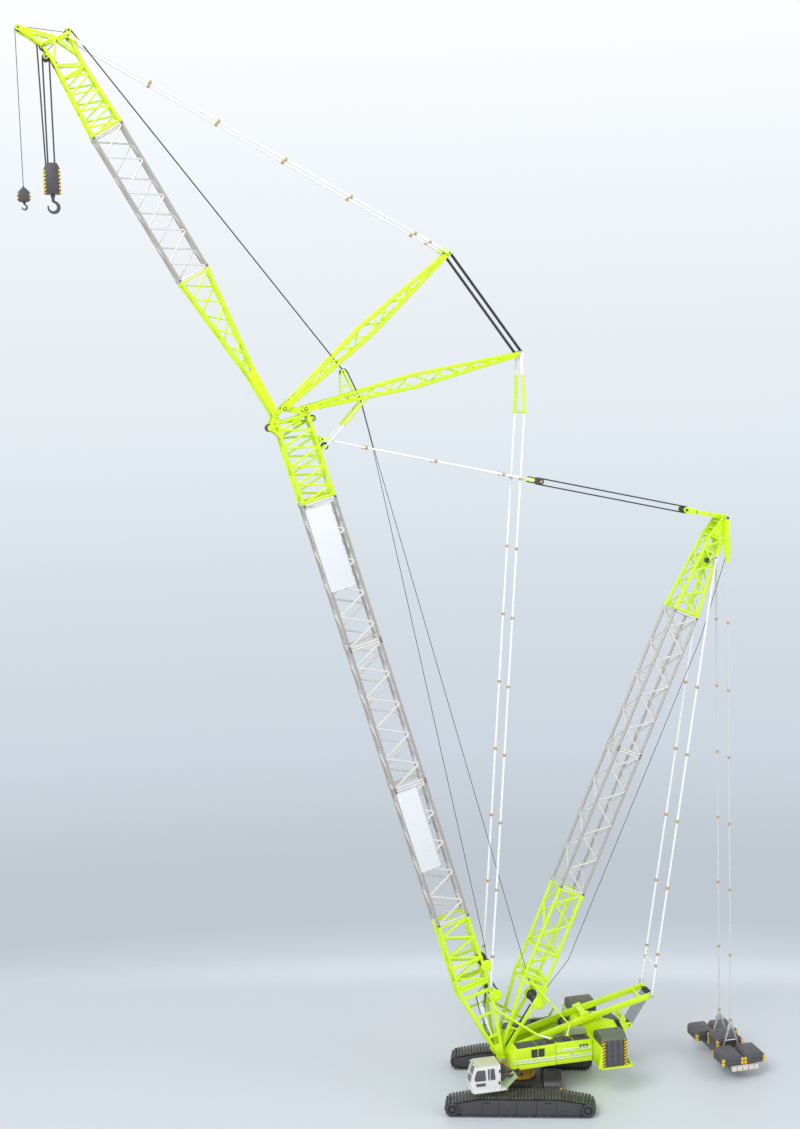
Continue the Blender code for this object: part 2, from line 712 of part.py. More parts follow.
# ------------------------------------------------------------------ the crane
def crawlers(under):
    end = TRACK_LENGTH / 2 - BELT_END_RADIUS
    wheel_radius = BELT_END_RADIUS - BELT_THICKNESS - WHEEL_PLAY
    half = SIDE_FRAME_WIDTH / 2
    inner_face = TRACK_GAUGE / 2 - half - GAP
    arm = CAR_ARM_WIDTH / 2
    solids = [box((-CAR_BODY_LENGTH / 2, CAR_BODY_LENGTH / 2), (-CAR_BODY_WIDTH / 2, CAR_BODY_WIDTH / 2),
                  (CAR_BODY_BOTTOM, CAR_BODY_TOP))]
    for x in (-CAR_ARM_SPREAD / 2, CAR_ARM_SPREAD / 2):
        solids.append(box((x - arm, x + arm), (-inner_face, inner_face),
                          (CAR_BODY_BOTTOM + 0.001, CAR_BODY_TOP - 0.002)))
    for way in (-1, 1):
        near, far = CAR_BODY_LENGTH / 2 - 0.001, CAR_BODY_LENGTH / 2 + CAR_WEIGHT_LENGTH
        solids.append(box(sorted((way * near, way * far)), (-CAR_WEIGHT_WIDTH / 2, CAR_WEIGHT_WIDTH / 2),
                          (CAR_WEIGHT_BOTTOM, CAR_WEIGHT_TOP)))
    add("car_body", "dark_grey", under, solids)

    low, high = CAR_BODY_TOP + GAP, DECK_BOTTOM - GAP
    flange = high - RING_FLANGE_HEIGHT
    profile = [(RING_FOOT_RADIUS + 0.003, low), (RING_FOOT_RADIUS + 0.003, low + 0.003),
               (RING_FOOT_RADIUS, low + 0.005), (RING_TOP_RADIUS - 0.002, flange),
               (RING_TOP_RADIUS, flange), (RING_TOP_RADIUS, high)]
    add("slew_ring", "gold_ring", under, [turned(profile, (0, 0, 0), "Z", 24)], smooth=True)

    line = belt_line(60)
    hull = [(x - nx * WHEEL_PLAY, z - nz * WHEEL_PLAY) for x, z, nx, nz in line]
    fork = WHEEL_WIDTH / 2 + GAP
    for side, name in ((1, "left"), (-1, "right")):
        y = side * TRACK_GAUGE / 2
        slots = [box(sorted((way * (end - wheel_radius - GAP), way * (end + 2 * wheel_radius))),
                     (y - fork, y + fork), (-0.01, TRACK_HEIGHT + 0.01)) for way in (-1, 1)]
        bores = [turned([(AXLE_RADIUS + BORE_PLAY, y - half - 0.002), (AXLE_RADIUS + BORE_PLAY, y + half + 0.002)],
                        (way * end, 0, BELT_END_RADIUS), "Y", 8) for way in (-1, 1)]
        recess = [box((x - 0.016, x + 0.016), sorted((y + side * (half - 0.0015), y + side * (half + 0.002))),
                      (0.0085, 0.0185)) for x in (-0.046, 0.0, 0.046)]
        add("track_frame_" + name, "dark_grey", under, [prism(hull, y - half, y + half)],
            slots + bores + recess)
        add("crawler_belt_" + name, "dark_grey", under, [belt(side)])
        for way, kind in ((-1, "drive_sprocket_"), (1, "idler_")):
            axle = Frame(kind + name + "_axle", way * end, BELT_END_RADIUS, parent=under, y=y)
            add(kind + name, "dark_grey", axle,
                [wheel((0, 0, 0), wheel_radius, WHEEL_WIDTH / 2, AXLE_RADIUS, half + 0.0012)], smooth=True)


def platform(house):
    """Deck, side houses, machinery, counterweights and the foot shaft."""
    foot = (FOOT_X, FOOT_Z)
    half = DECK_WIDTH / 2
    ear_out = EAR_INSIDE + LUG_THICKNESS
    deck_top = DECK_BOTTOM + DECK_THICKNESS
    ears = both(lug(foot, (DECK_FRONT - 0.012, DECK_BOTTOM + FOOT_BOSS_RADIUS + 0.0002), FOOT_BOSS_RADIUS,
                    EAR_INSIDE, ear_out))
    web = box((DECK_FRONT - 0.016, DECK_FRONT - 0.010), (-ear_out, ear_out), (DECK_BOTTOM + 0.001, deck_top + 0.002))
    add("turntable_frame", "lime_paint", house,
        [box((DECK_REAR, DECK_FRONT), (-half, half), (DECK_BOTTOM, deck_top))] + ears + [web],
        [pin(foot, FOOT_PIN_RADIUS + BORE_PLAY, CUT_REACH, 8)])
    outer = SHAFT_HALF
    add("foot_shaft", "tray_steel", house,
        [turned([(FOOT_PIN_RADIUS + 0.001, -outer), (FOOT_PIN_RADIUS + 0.001, 0.0014 - outer),
                 (FOOT_PIN_RADIUS, 0.0014 - outer), (FOOT_PIN_RADIUS, outer - 0.0014),
                 (FOOT_PIN_RADIUS + 0.001, outer - 0.0014), (FOOT_PIN_RADIUS + 0.001, outer)],
                (FOOT_X, 0, FOOT_Z), "Y", 8)], smooth=True)

    inner = half + GAP
    flank = inner + HOUSE_WIDTH
    top = HOUSE_BOTTOM + HOUSE_HEIGHT
    for side, name in ((1, "left"), (-1, "right")):
        solids = [box((HOUSE_REAR, HOUSE_FRONT), (inner, flank), (HOUSE_BOTTOM, top))]
        for x in (BOOM_SADDLE_X, MAST_SADDLE_X):
            solids.append(box((x - 0.005, x + 0.005), (SADDLE_Y - 0.004, SADDLE_Y + 0.004),
                              (top - 0.001, top + SADDLE_HEIGHT)))
        cuts = [box((x - 0.009, x + 0.009), (flank - HOUSE_RECESS, flank + 0.002),
                    (HOUSE_BOTTOM + 0.004, top - 0.005)) for x in (-0.078, -0.054, -0.030, -0.006)]
        if side > 0:
            solids.append(box((HOUSE_FRONT - 0.010, CAB_REAR - 0.0006), (flank - 0.006, CAB_HINGE_Y[1] + 0.0090),
                              (HOUSE_BOTTOM - 0.003, CAB_HINGE_Z - 0.0030)))
            for y in CAB_HINGE_Y:
                solids.append(lug((CAB_HINGE_X, CAB_HINGE_Z), (CAB_HINGE_X, CAB_HINGE_Z - 0.0040), 0.0024,
                                  y + 0.0026, y + 0.0056))
            cuts.append(turned([(CAB_PIN_RADIUS + BORE_PLAY, CAB_HINGE_Y[0] - 0.001),
                                (CAB_PIN_RADIUS + BORE_PLAY, CAB_HINGE_Y[1] + 0.012)],
                               (CAB_HINGE_X, 0, CAB_HINGE_Z), "Y", 8))
        else:
            solids = [mirrored(s) for s in solids]
            cuts = [mirrored(s) for s in cuts]
        add("side_house_" + name, "lime_paint", house, solids, cuts)

    half = MACHINERY_WIDTH / 2
    tail = TAIL_WIDTH / 2
    base = deck_top + GAP
    winch = (WINCH_X, WINCH_Z)
    cheek_in, cheek_out = DRUM_HALF_WIDTH + GAP, DRUM_HALF_WIDTH + 0.0018
    solids = [box((WINCH_X - ENGINE_REAR, WINCH_X + ENGINE_FRONT), (-half, half), (base, base + ENGINE_HEIGHT))]
    solids += both(lug(winch, (WINCH_X, base + ENGINE_HEIGHT - 0.0020), 0.0060, cheek_in, cheek_out))
    tail_front = WINCH_X - DRUM_RADIUS - 0.0020
    solids.append(prism([(tail_front, base), (DECK_REAR + 0.0002, base), (TAIL_REAR, TAIL_BOTTOM),
                         (TAIL_REAR, TAIL_BOTTOM + TAIL_END_HEIGHT), (TAIL_REAR + TAIL_SLOPE, TAIL_TOP), (tail_front, TAIL_TOP)],
                        -tail, tail))
    low_axis = (TAIL_REAR - 0.0060, TAIL_SHEAVE_Z)
    solids += both(lug(low_axis, (TAIL_REAR + 0.002, TAIL_SHEAVE_Z), 0.0035, 0.0086, 0.0104))
    solids.append(sheaves(low_axis, BLOCK_SHEAVE_RADIUS, 0.0070, DRUM_PIN_RADIUS, 0.0100))
    add("machinery_house", "lime_paint", house, solids,
        [pin(winch, DRUM_PIN_RADIUS + BORE_PLAY, cheek_out + 0.001, 8)])
    drum_body = Frame("luffing_winch_axle", WINCH_X, WINCH_Z, parent=house)
    add("luffing_winch_drum", "drum_black", drum_body, [drum((0, 0))], smooth=True)

    plate_rear = DECK_REAR - 0.0007 - CARRIER_LENGTH
    wide = CARRIER_WIDTH / 2
    plate_top = CARRIER_BOTTOM + CARRIER_THICKNESS
    wall = (DECK_REAR - 0.0029, DECK_REAR - 0.0007)
    solids = [box((plate_rear, wall[1]), (-wide, wide), (CARRIER_BOTTOM, plate_top))]
    solids += both(box(wall, (tail + 0.006, wide), (CARRIER_BOTTOM, CARRIER_BOTTOM + CARRIER_WALL_HEIGHT)))
    add("counterweight_carrier", "lime_paint", house, solids)
    front = wall[0] - GAP
    inner, outer = wide - 0.0015 - STACK_WIDTH, wide - 0.0015
    low = plate_top + GAP
    high = low + STACK_HEIGHT
    profile = [(inner, low), (outer, low), (outer, high - STACK_SHOULDER), (outer - 0.009, high),
               (inner + 0.010, high), (inner, high - STACK_SHOULDER)]
    block = prism(profile, front - STACK_LENGTH, front, "X")
    add("counterweight_left", "weight_grey", house, [block])
    add("counterweight_right", "weight_grey", house, [mirrored(block)])


def cab(house):
    tilt = Frame("cab_hinge", CAB_HINGE_X, CAB_HINGE_Z, parent=house)
    front = CAB_REAR + CAB_LENGTH
    top = CAB_BOTTOM + CAB_HEIGHT
    profile = [(CAB_REAR, CAB_BOTTOM), (front - 0.005, CAB_BOTTOM), (front, CAB_BOTTOM + 0.012),
               (front - 0.002, top - 0.007), (front - 0.009, top), (CAB_REAR, top)]
    place = lambda x, z: (x - CAB_HINGE_X, z - CAB_HINGE_Z)
    solids = [prism([place(*p) for p in profile], CAB_INSIDE, CAB_INSIDE + CAB_WIDTH)]
    for y in CAB_HINGE_Y:
        for low in (y, y + 0.0059):
            solids.append(lug((0, 0), (CAB_REAR - CAB_HINGE_X + 0.001, 0), 0.0023, low, low + 0.0022))
        solids.append(turned([(CAB_PIN_RADIUS, y), (CAB_PIN_RADIUS, y + 0.0081)], (0, 0, 0), "Y", 10))
    add("cab_shell", "cab_silver", tilt, solids)


def open_foot(half_knee, boss_y, rear, front, knee, thick, spread=0.0018):
    """The two V legs of a lattice foot, from their bosses at the pin up to the knee block."""
    inner, outer = boss_y, boss_y + LUG_THICKNESS
    y_foot, y_knee = (inner + outer) / 2, half_knee - 0.0019
    top = knee - thick / 2
    legs = [disc((0, 0), FOOT_BOSS_RADIUS, inner, outer)]
    for across, start in ((rear + 0.0020, -spread), (front - 0.0020, spread)):
        legs.append(sweep([(start, y_foot, 0.0030), (across, y_knee, top)], 0.0018, 6))
    block = box((rear, front), (-half_knee, half_knee), (knee - thick, knee + 0.0003))
    well = box((rear + 0.0030, front - 0.0030), (0.0030 - half_knee, half_knee - 0.0030),
               (knee - thick - 0.001, knee + 0.002))
    return both(*legs) + [block], [well]


def drum_lugs(across, along, reach):
    """Bearing lugs of a drum, standing on a member's rear chords."""
    inner = DRUM_HALF_WIDTH + GAP
    return both(lug((across, along), reach, 0.0048, inner, BOOM_HALF_WIDTH - 0.0002))


def boom_members(boom):
    rear, front, half = BOOM_REAR, BOOM_FRONT, BOOM_HALF_WIDTH
    foot_end = BOOM_FOOT_LENGTH - GAP
    leg_y = EAR_INSIDE + 3 * LUG_PITCH
    section = (rear, front, half)
    upper, lower = BOOM_WINCHES
    open_end = upper + 0.014
    stations = [(BOOM_KNEE, *section), (open_end, *section), (foot_end, *section)]
    tower = lattice(stations, [2, 4], [(0, 1), (2, 2)], [(0.001, 0.001), (0.0015, 0.0015), (0.003, 0.003)])
    legs, wells = open_foot(half, leg_y, rear, front, BOOM_KNEE, 0.0165)
    start = boom.at(BOOM_STOP_ALONG, -0.0110)
    spots = [(start, 0.0206), (BOOM_STOP_BEND, 0.0310), ((BOOM_SADDLE_X, SADDLE_TOP + 0.0022), SADDLE_Y)]
    route = []
    for spot, y in spots:
        along, across = boom.inside(spot)
        route.append((across, y, along))
    stop = both(sweep(route, 0.0017, 5))
    lugs = drum_lugs(WINCH_SETBACK, upper, (rear + 0.0030, upper))
    lugs += drum_lugs(WINCH_SETBACK, lower, (rear + 0.0030, lower + 0.0140))
    bores = [turned([(DRUM_PIN_RADIUS + BORE_PLAY, -0.0172), (DRUM_PIN_RADIUS + BORE_PLAY, 0.0172)],
                    (WINCH_SETBACK, 0, u), "Y", 8) for u in BOOM_WINCHES]
    stubs = both(disc((REAR_STAY_FOOT_ACROSS, REAR_STAY_FOOT_ALONG), STAY_PIN_RADIUS, half - 0.002,
                      REAR_STAY_HALF + 0.0016, 8))
    add("boom_foot", "lime_paint", boom, [tower] + legs + lugs + stop + stubs,
        wells + [pin((0, 0), FOOT_PIN_RADIUS + BORE_PLAY, CUT_REACH, 8)] + bores)
    for name, along in (("upper", upper), ("lower", lower)):
        spot = boom.at(along, WINCH_SETBACK)
        axle = Frame("boom_winch_" + name + "_axle", *spot, lean=BOOM_LEAN, parent=boom)
        add("boom_winch_" + name, "drum_black", axle, [drum((0, 0))], smooth=True)

    low = BOOM_FOOT_LENGTH
    for number in range(1, BOOM_INSERTS + 1):
        high = low + BOOM_INSERT_LENGTH
        tower = lattice([(low, *section), (high - GAP, *section)], [10], [(3, 3)], [(0.003, 0.003)] * 2)
        plates = []
        if number == 1:
            plates = [box((-0.0010, front - 0.0015), (half - 0.0005, half + 0.0008), (high - 0.1230, high - 0.0040))]
        if number == BOOM_INSERTS:
            plates = [box((-0.0060, front - 0.0010), (half - 0.0005, half + 0.0008), (high - 0.1240, high - 0.0070))]
        add("boom_insert_%d" % number, "silver_lattice", boom, [tower] + plates)
        low = high

    top = low + BOOM_HEAD_LATTICE
    cheek_in, cheek_out = HEAD_CHEEK_IN, HEAD_CHEEK_IN + 0.0030
    stations = [(low, *section), (top, rear - 0.0005, front + 0.0010, cheek_out)]
    tower = lattice(stations, [4], [(2, 2)], [(0.003, 0.004)] * 2)
    outline = [(rear - 0.0005, top - 0.008), (front + 0.0010, top - 0.008), (HEAD_SHEAVE_ACROSS + 0.0040, HEAD_SHEAVE_ALONG - 0.0050),
               (HEAD_SHEAVE_ACROSS + 0.0040, HEAD_SHEAVE_ALONG + 0.0040), (JIB_PIVOT_ACROSS + 0.0040, JIB_PIVOT_ALONG + 0.0045),
               (FRONT_STRUT_ACROSS, FRONT_STRUT_ALONG + 0.0045), (REAR_STRUT_ACROSS - 0.0010, REAR_STRUT_ALONG + 0.0045),
               (REAR_STRUT_ACROSS - 0.0050, REAR_STRUT_ALONG - 0.0030)]
    cheeks = both(prism(outline, cheek_in, cheek_out))
    reach = cheek_out + GAP + LUG_THICKNESS + 0.0006
    pins = [pin((JIB_PIVOT_ACROSS, JIB_PIVOT_ALONG), JIB_PIN_RADIUS, reach),
            pin((FRONT_STRUT_ACROSS, FRONT_STRUT_ALONG), JIB_PIN_RADIUS, reach),
            pin((REAR_STRUT_ACROSS, REAR_STRUT_ALONG), JIB_PIN_RADIUS, reach)]
    stay_pin = (STAY_LUG_ACROSS, STAY_LUG_ALONG)
    lugs = both(lug(stay_pin, (rear + 0.0030, STAY_LUG_ALONG), 0.0035, 0.0050, 0.0080))
    pins.append(pin(stay_pin, STAY_PIN_RADIUS, STAY_EYE_IN + 0.0030))
    add("boom_head", "lime_paint", boom, [tower] + cheeks + lugs + pins,
        [pin((HEAD_SHEAVE_ACROSS, HEAD_SHEAVE_ALONG), DRUM_PIN_RADIUS + BORE_PLAY, CUT_REACH, 8)])
    spot = boom.at(HEAD_SHEAVE_ALONG, HEAD_SHEAVE_ACROSS)
    axle = Frame("boom_head_sheave_axle", *spot, lean=BOOM_LEAN, parent=boom)
    add("boom_head_sheave", "dark_grey", axle,
        [sheaves((0, 0), 0.0050, cheek_in - GAP, DRUM_PIN_RADIUS, cheek_out + 0.0004)], smooth=True)


def mast_members(mast):
    rear, front, half = MAST_REAR, MAST_FRONT, MAST_HALF_WIDTH
    section = (rear, front, half)
    leg_y = EAR_INSIDE + LUG_PITCH
    foot_end = MAST_FOOT_LENGTH - GAP
    open_end = MAST_KNEE + 0.040
    stations = [(MAST_KNEE, *section), (open_end, *section), (foot_end, *section)]
    tower = lattice(stations, [2, 4], [(0, 0), (2, 2)], [(0.001, 0.001), (0.0015, 0.0015), (0.003, 0.003)])
    legs, wells = open_foot(half, leg_y, rear, front, MAST_KNEE, 0.0120)
    start = mast.at(MAST_KNEE - 0.0060, 0.0050)
    spots = [(start, half - 0.0006), (MAST_STOP_BEND, 0.0340), ((MAST_SADDLE_X, SADDLE_TOP + 0.0022), SADDLE_Y)]
    route = []
    for spot, y in spots:
        along, across = mast.inside(spot)
        route.append((across, y, along))
    stop = both(sweep(route, 0.0017, 5))
    inner = DRUM_HALF_WIDTH + GAP
    lugs = both(lug((WINCH_SETBACK, MAST_WINCH), (rear + 0.0030, MAST_KNEE - 0.0080), 0.0048, inner, half - 0.0002))
    bore = turned([(DRUM_PIN_RADIUS + BORE_PLAY, -0.0172), (DRUM_PIN_RADIUS + BORE_PLAY, 0.0172)],
                  (WINCH_SETBACK, 0, MAST_WINCH), "Y", 8)
    add("mast_foot", "lime_paint", mast, [tower] + legs + lugs + stop,
        wells + [pin((0, 0), FOOT_PIN_RADIUS + BORE_PLAY, CUT_REACH, 8), bore])
    spot = mast.at(MAST_WINCH, WINCH_SETBACK)
    axle = Frame("mast_winch_axle", *spot, lean=MAST_LEAN, parent=mast)
    add("mast_winch_drum", "drum_black", axle, [drum((0, 0))], smooth=True)

    low = MAST_FOOT_LENGTH
    for number, name in enumerate(("lower", "upper")):
        high = low + MAST_INSERT_LENGTH
        add("mast_insert_" + name, "silver_lattice", mast,
            [lattice([(low, *section), (high - GAP, *section)], [8], [(3, 3)], [(0.003, 0.003)] * 2)])
        low = high
    top = MAST_TOP_PIN_ALONG - 0.0300
    cheek_in, cheek_out = MAST_CHEEK_IN, MAST_CHEEK_IN + 0.0030
    stations = [(low, *section), (top, -0.0150, 0.0090, cheek_out)]
    tower = lattice(stations, [5], [(3, 3)], [(0.003, 0.004)] * 2)
    axis = (MAST_TOP_PIN_ACROSS, MAST_TOP_PIN_ALONG)
    outline = [(-0.0150, top - 0.008), (0.0090, top - 0.008), (axis[0] + 0.0060, axis[1]), (axis[0] + 0.0035, axis[1] + 0.0045),
               (axis[0] - 0.0035, axis[1] + 0.0045), (axis[0] - 0.0060, axis[1])]
    solids = [tower] + both(prism(outline, cheek_in, cheek_out))
    stub = STAY_HALF_SPREAD + 0.0018
    solids += both(disc(axis, JIB_PIN_RADIUS, cheek_in + 0.001, stub + 0.0010, 8))
    solids += both(disc((MAST_STAY_ACROSS, MAST_STAY_ALONG), STAY_PIN_RADIUS, cheek_out - 0.002, stub + 0.0006, 8))
    add("mast_head", "lime_paint", mast, solids)


def a_frame_members(frame, mast, house):
    leg_y = EAR_INSIDE + 2 * LUG_PITCH
    inner, outer = leg_y, leg_y + LUG_THICKNESS
    d = A_FRAME_ARM_DEPTH / 2
    line = [(0.0, 0.0, d), (A_FRAME_BEND_ALONG, A_FRAME_BEND_ACROSS, d),
            (A_FRAME_CROSS_ALONG, A_FRAME_CROSS_ACROSS, d), (A_FRAME_LENGTH, 0.0, d - 0.0005)]
    outline = [(w + h, u) for u, w, h in line] + [(w - h, u) for u, w, h in reversed(line)]
    solids = both(prism(outline, inner, outer), disc((0, 0), FOOT_BOSS_RADIUS, inner + 0.0001, outer - 0.0001))
    solids.append(box((A_FRAME_CROSS_ACROSS - 0.0010, A_FRAME_CROSS_ACROSS + 0.0090), (0.0002 - outer, outer - 0.0002),
                      (A_FRAME_CROSS_ALONG - 0.0040, A_FRAME_CROSS_ALONG + 0.0040)))
    add("a_frame", "lime_paint", frame, solids,
        [pin((0, 0), FOOT_PIN_RADIUS + BORE_PLAY, CUT_REACH, 8),
         pin((0, A_FRAME_PIN_ALONG), DRUM_PIN_RADIUS + BORE_PLAY, CUT_REACH, 8)])
    tip = frame.at(A_FRAME_PIN_ALONG)
    axle = Frame("a_frame_sheave_axle", *tip, lean=A_FRAME_LEAN, parent=frame)
    add("a_frame_sheaves", "dark_grey", axle,
        [sheaves((0, 0), BLOCK_SHEAVE_RADIUS, 0.0080, DRUM_PIN_RADIUS, outer + 0.0004)], smooth=True)
    low = (TAIL_REAR - 0.0060, TAIL_SHEAVE_Z)
    add("a_frame_ropes", "rope_black", house,
        [reeving(tip, low, BLOCK_SHEAVE_RADIUS + ROPE_RADIUS + GAP, (-0.0052, -0.0017, 0.0017, 0.0052))])

    high = mast.at(MAST_STAY_ALONG, MAST_STAY_ACROSS)
    stays = Frame("mast_stay_line", *tip, lean=lean_between(tip, high), parent=mast)
    length = hypot(high[0] - tip[0], high[1] - tip[1])
    low_y, high_y = outer + 0.0017, STAY_HALF_SPREAD + 0.0008
    solids = both(sweep([(0, low_y, 0.0), (0, low_y, 0.020), (0, high_y, 0.040), (0, high_y, length - 0.001)], STAY_RADIUS, 5),
                  disc((0, length), 0.0032, high_y - 0.0011, high_y + 0.00097, 8),
                  disc((0, 0), 0.0032, low_y - 0.00107, low_y + 0.00097, 8))
    solids.append(sweep([(0, -high_y, 0.045), (0, high_y, 0.045)], 0.0010, 6))
    bores = [pin((0, length), STAY_PIN_RADIUS + BORE_PLAY, CUT_REACH, 8),
             pin((0, 0), STAY_PIN_RADIUS + BORE_PLAY, CUT_REACH, 8)]
    add("mast_stays", "stay_white", mast, solids, bores, frame=stays)


def stays_to_mast(boom, mast):
    start = boom.at(STAY_LUG_ALONG, STAY_LUG_ACROSS)
    end = mast.at(MAST_TOP_PIN_ALONG, MAST_TOP_PIN_ACROSS)
    lean = lean_between(start, end)
    line = Frame("boom_stay_pivot", *start, lean=lean, parent=boom)
    eye, rod = STAY_EYE_IN, STAY_EYE_IN + 0.00107
    front_axis, rear_axis = FRONT_BLOCK_ALONG, REAR_BLOCK_ALONG
    cheek_in, cheek_out = 0.0094, 0.0114
    solids = both(sweep([(0, rod, 0.0), (0, rod, front_axis - 0.010)], STAY_RADIUS, 5),
                  disc((0, 0), 0.0034, eye, eye + 0.0020, 8),
                  lug((0, front_axis), (0, front_axis - 0.0120), 0.0040, cheek_in, cheek_out))
    solids.append(box((-0.0030, 0.0030), (-cheek_out, cheek_out), (front_axis - 0.0130, front_axis - 0.0095)))
    solids.append(sheaves((0, front_axis), BLOCK_SHEAVE_RADIUS, 0.0086, DRUM_PIN_RADIUS, cheek_out - 0.0002))
    add("boom_stays", "stay_white", line, solids, [pin((0, 0), STAY_PIN_RADIUS + BORE_PLAY, CUT_REACH, 8)])

    length = hypot(end[0] - start[0], end[1] - start[1])
    spot = line.at(rear_axis)
    block = Frame("stay_reeve_slide", *spot, lean=lean, parent=line)
    link_end = length - rear_axis
    solids = [box((-0.0030, 0.0030), (-cheek_out, cheek_out), (0.0095, 0.0130))]
    solids += both(lug((0, 0), (0, 0.0120), 0.0040, cheek_in, cheek_out))
    solids.append(sheaves((0, 0), BLOCK_SHEAVE_RADIUS, 0.0086, DRUM_PIN_RADIUS, cheek_out - 0.0002))
    solids += both(lug((0, link_end), (0, 0.0110), 0.0030, 0.0045, 0.0070))
    add("stay_block", "dark_grey", block, solids)

    first, second = line.at(front_axis), line.at(rear_axis)
    radius = BLOCK_SHEAVE_RADIUS + ROPE_RADIUS + GAP
    lead = [mast.at(LEAD_START, LEAD_SETBACK), mast.at(MAST_TOP_PIN_ALONG - LEAD_LEAVES, LEAD_SETBACK),
            mast.at(MAST_TOP_PIN_ALONG - LEAD_TURNS, LEAD_TURN_SETBACK),
            mast.at(MAST_TOP_PIN_ALONG + 0.0060, -0.0200), mast.at(MAST_TOP_PIN_ALONG + 0.0130, -0.0060)]
    add("stay_reeving", "rope_black", line,
        [reeving(first, second, radius, (-0.0070, -0.0024, 0.0024, 0.0070), lead=[(x, 0.0, z) for x, z in lead])],
        frame=WORLD)


def strut(name, frame, length, body, half_foot, depth, extra=()):
    """A spindle-shaped lattice strut with a sheave cluster at its tip."""
    tip = length - 0.0130
    mid = length * 0.5
    boss_in = HEAD_CHEEK_IN + 0.0030 + GAP
    boss_out = boss_in + LUG_THICKNESS
    foot = 0.0160
    stations = [(foot, -0.0045, 0.0045, boss_out - 0.0004), (mid, -depth / 2, depth / 2, half_foot - 0.0030),
                (tip, -0.0040, 0.0040, 0.0086)]
    tower = lattice(stations, [5, 5], [(2, 2), (2, 2)], [(0.002, 0.002)] * 3, chord=0.0024)
    solids = [tower] + both(lug((0, 0), (0, foot + 0.002), 0.0042, boss_in, boss_out))
    solids += both(lug((0, length), (0, tip - 0.002), 0.0036, 0.0068, 0.0086))
    solids.append(sheaves((0, length), BLOCK_SHEAVE_RADIUS, 0.0060, DRUM_PIN_RADIUS, 0.0080))
    solids += list(extra)
    add(name, "lime_paint", body, solids, [pin((0, 0), JIB_PIN_RADIUS + BORE_PLAY, CUT_REACH, 8)], frame=frame)


def boom_top(boom):
    """The two struts over the boom's head, their reeving and the rear strut's stays."""
    front = Frame("front_strut_pivot", *boom.at(FRONT_STRUT_ALONG, FRONT_STRUT_ACROSS),
                  lean=FRONT_STRUT_LEAN, parent=boom)
    rear = Frame("rear_strut_line", *boom.at(REAR_STRUT_ALONG, REAR_STRUT_ACROSS), lean=REAR_STRUT_LEAN,
                 parent=boom)
    front_tip, rear_tip = front.at(FRONT_STRUT_LENGTH), rear.at(REAR_STRUT_LENGTH)
    stay_pin = both(disc((0, FRONT_STRUT_LENGTH), STAY_PIN_RADIUS, 0.0070, JIB_STAY_EYE_IN + 0.0026, 8))
    strut("front_strut", front, FRONT_STRUT_LENGTH, front, 0.0165, 0.0220, stay_pin)

    guide = GUIDE
    top = guide[1]
    bracket = both(prism([(0.0030, guide[0] - 0.0100), (0.0030, guide[0] + 0.0100), (top + 0.0030, guide[0] + 0.0030),
                          (top + 0.0030, guide[0] - 0.0030)], 0.0060, 0.0080))
    bracket.append(pin((top, guide[0]), 0.0030, 0.0078, 10))
    bar = sweep([(0.0, -0.0160, guide[0]), (0.0, 0.0160, guide[0])], 0.0030, 6)
    stop_low = rear.inside(boom.at(STRUT_STOP_LOW, BOOM_REAR - 0.0014))
    stop_high = STRUT_STOP_HIGH
    stop = both(sweep([(stop_high[1], STRUT_STOP_Y, stop_high[0]), (stop_low[1], STRUT_STOP_Y, stop_low[0])], 0.0016, 5))
    saddle = sweep([(stop_high[1], -STRUT_STOP_Y - 0.001, stop_high[0]),
                    (stop_high[1], STRUT_STOP_Y + 0.001, stop_high[0])], 0.0020, 6)
    strut("rear_strut", rear, REAR_STRUT_LENGTH, boom, 0.0155, 0.0210, bracket + [bar, saddle] + stop)

    add("strut_reeving", "rope_black", boom,
        [reeving(front_tip, rear_tip, BLOCK_SHEAVE_RADIUS + ROPE_RADIUS + GAP, (-0.0042, 0.0, 0.0042))], frame=WORLD)

    low = boom.at(REAR_STAY_FOOT_ALONG, REAR_STAY_FOOT_ACROSS)
    spreader = boom.at(*SPREADER)
    down = Frame("rear_stay_line", *low, lean=lean_between(low, spreader), parent=boom)
    reach = hypot(spreader[0] - low[0], spreader[1] - low[1])
    along, across = down.inside(rear_tip)
    wide = REAR_STAY_HALF
    solids = [sweep([(0, -wide - 0.001, reach), (0, wide + 0.001, reach)], 0.0014, 6)]
    solids += both(sweep([(0, wide, 0.002), (0, wide, reach)], STAY_RADIUS, 5),
                   sweep([(0, wide, reach), (across, 0.0100, along - 0.0026)], STAY_RADIUS, 5))
    solids += both(disc((across, along), 0.0034, 0.0090, 0.0109, 8),
                   disc((0, 0), 0.0030, wide - 0.0011, wide + 0.00102, 8))
    add("rear_stays", "stay_white", boom, solids, [pin((across, along), DRUM_PIN_RADIUS + BORE_PLAY, 0.012, 8),
                                                   pin((0, 0), STAY_PIN_RADIUS + BORE_PLAY, CUT_REACH, 8)], frame=down)
    return front, rear


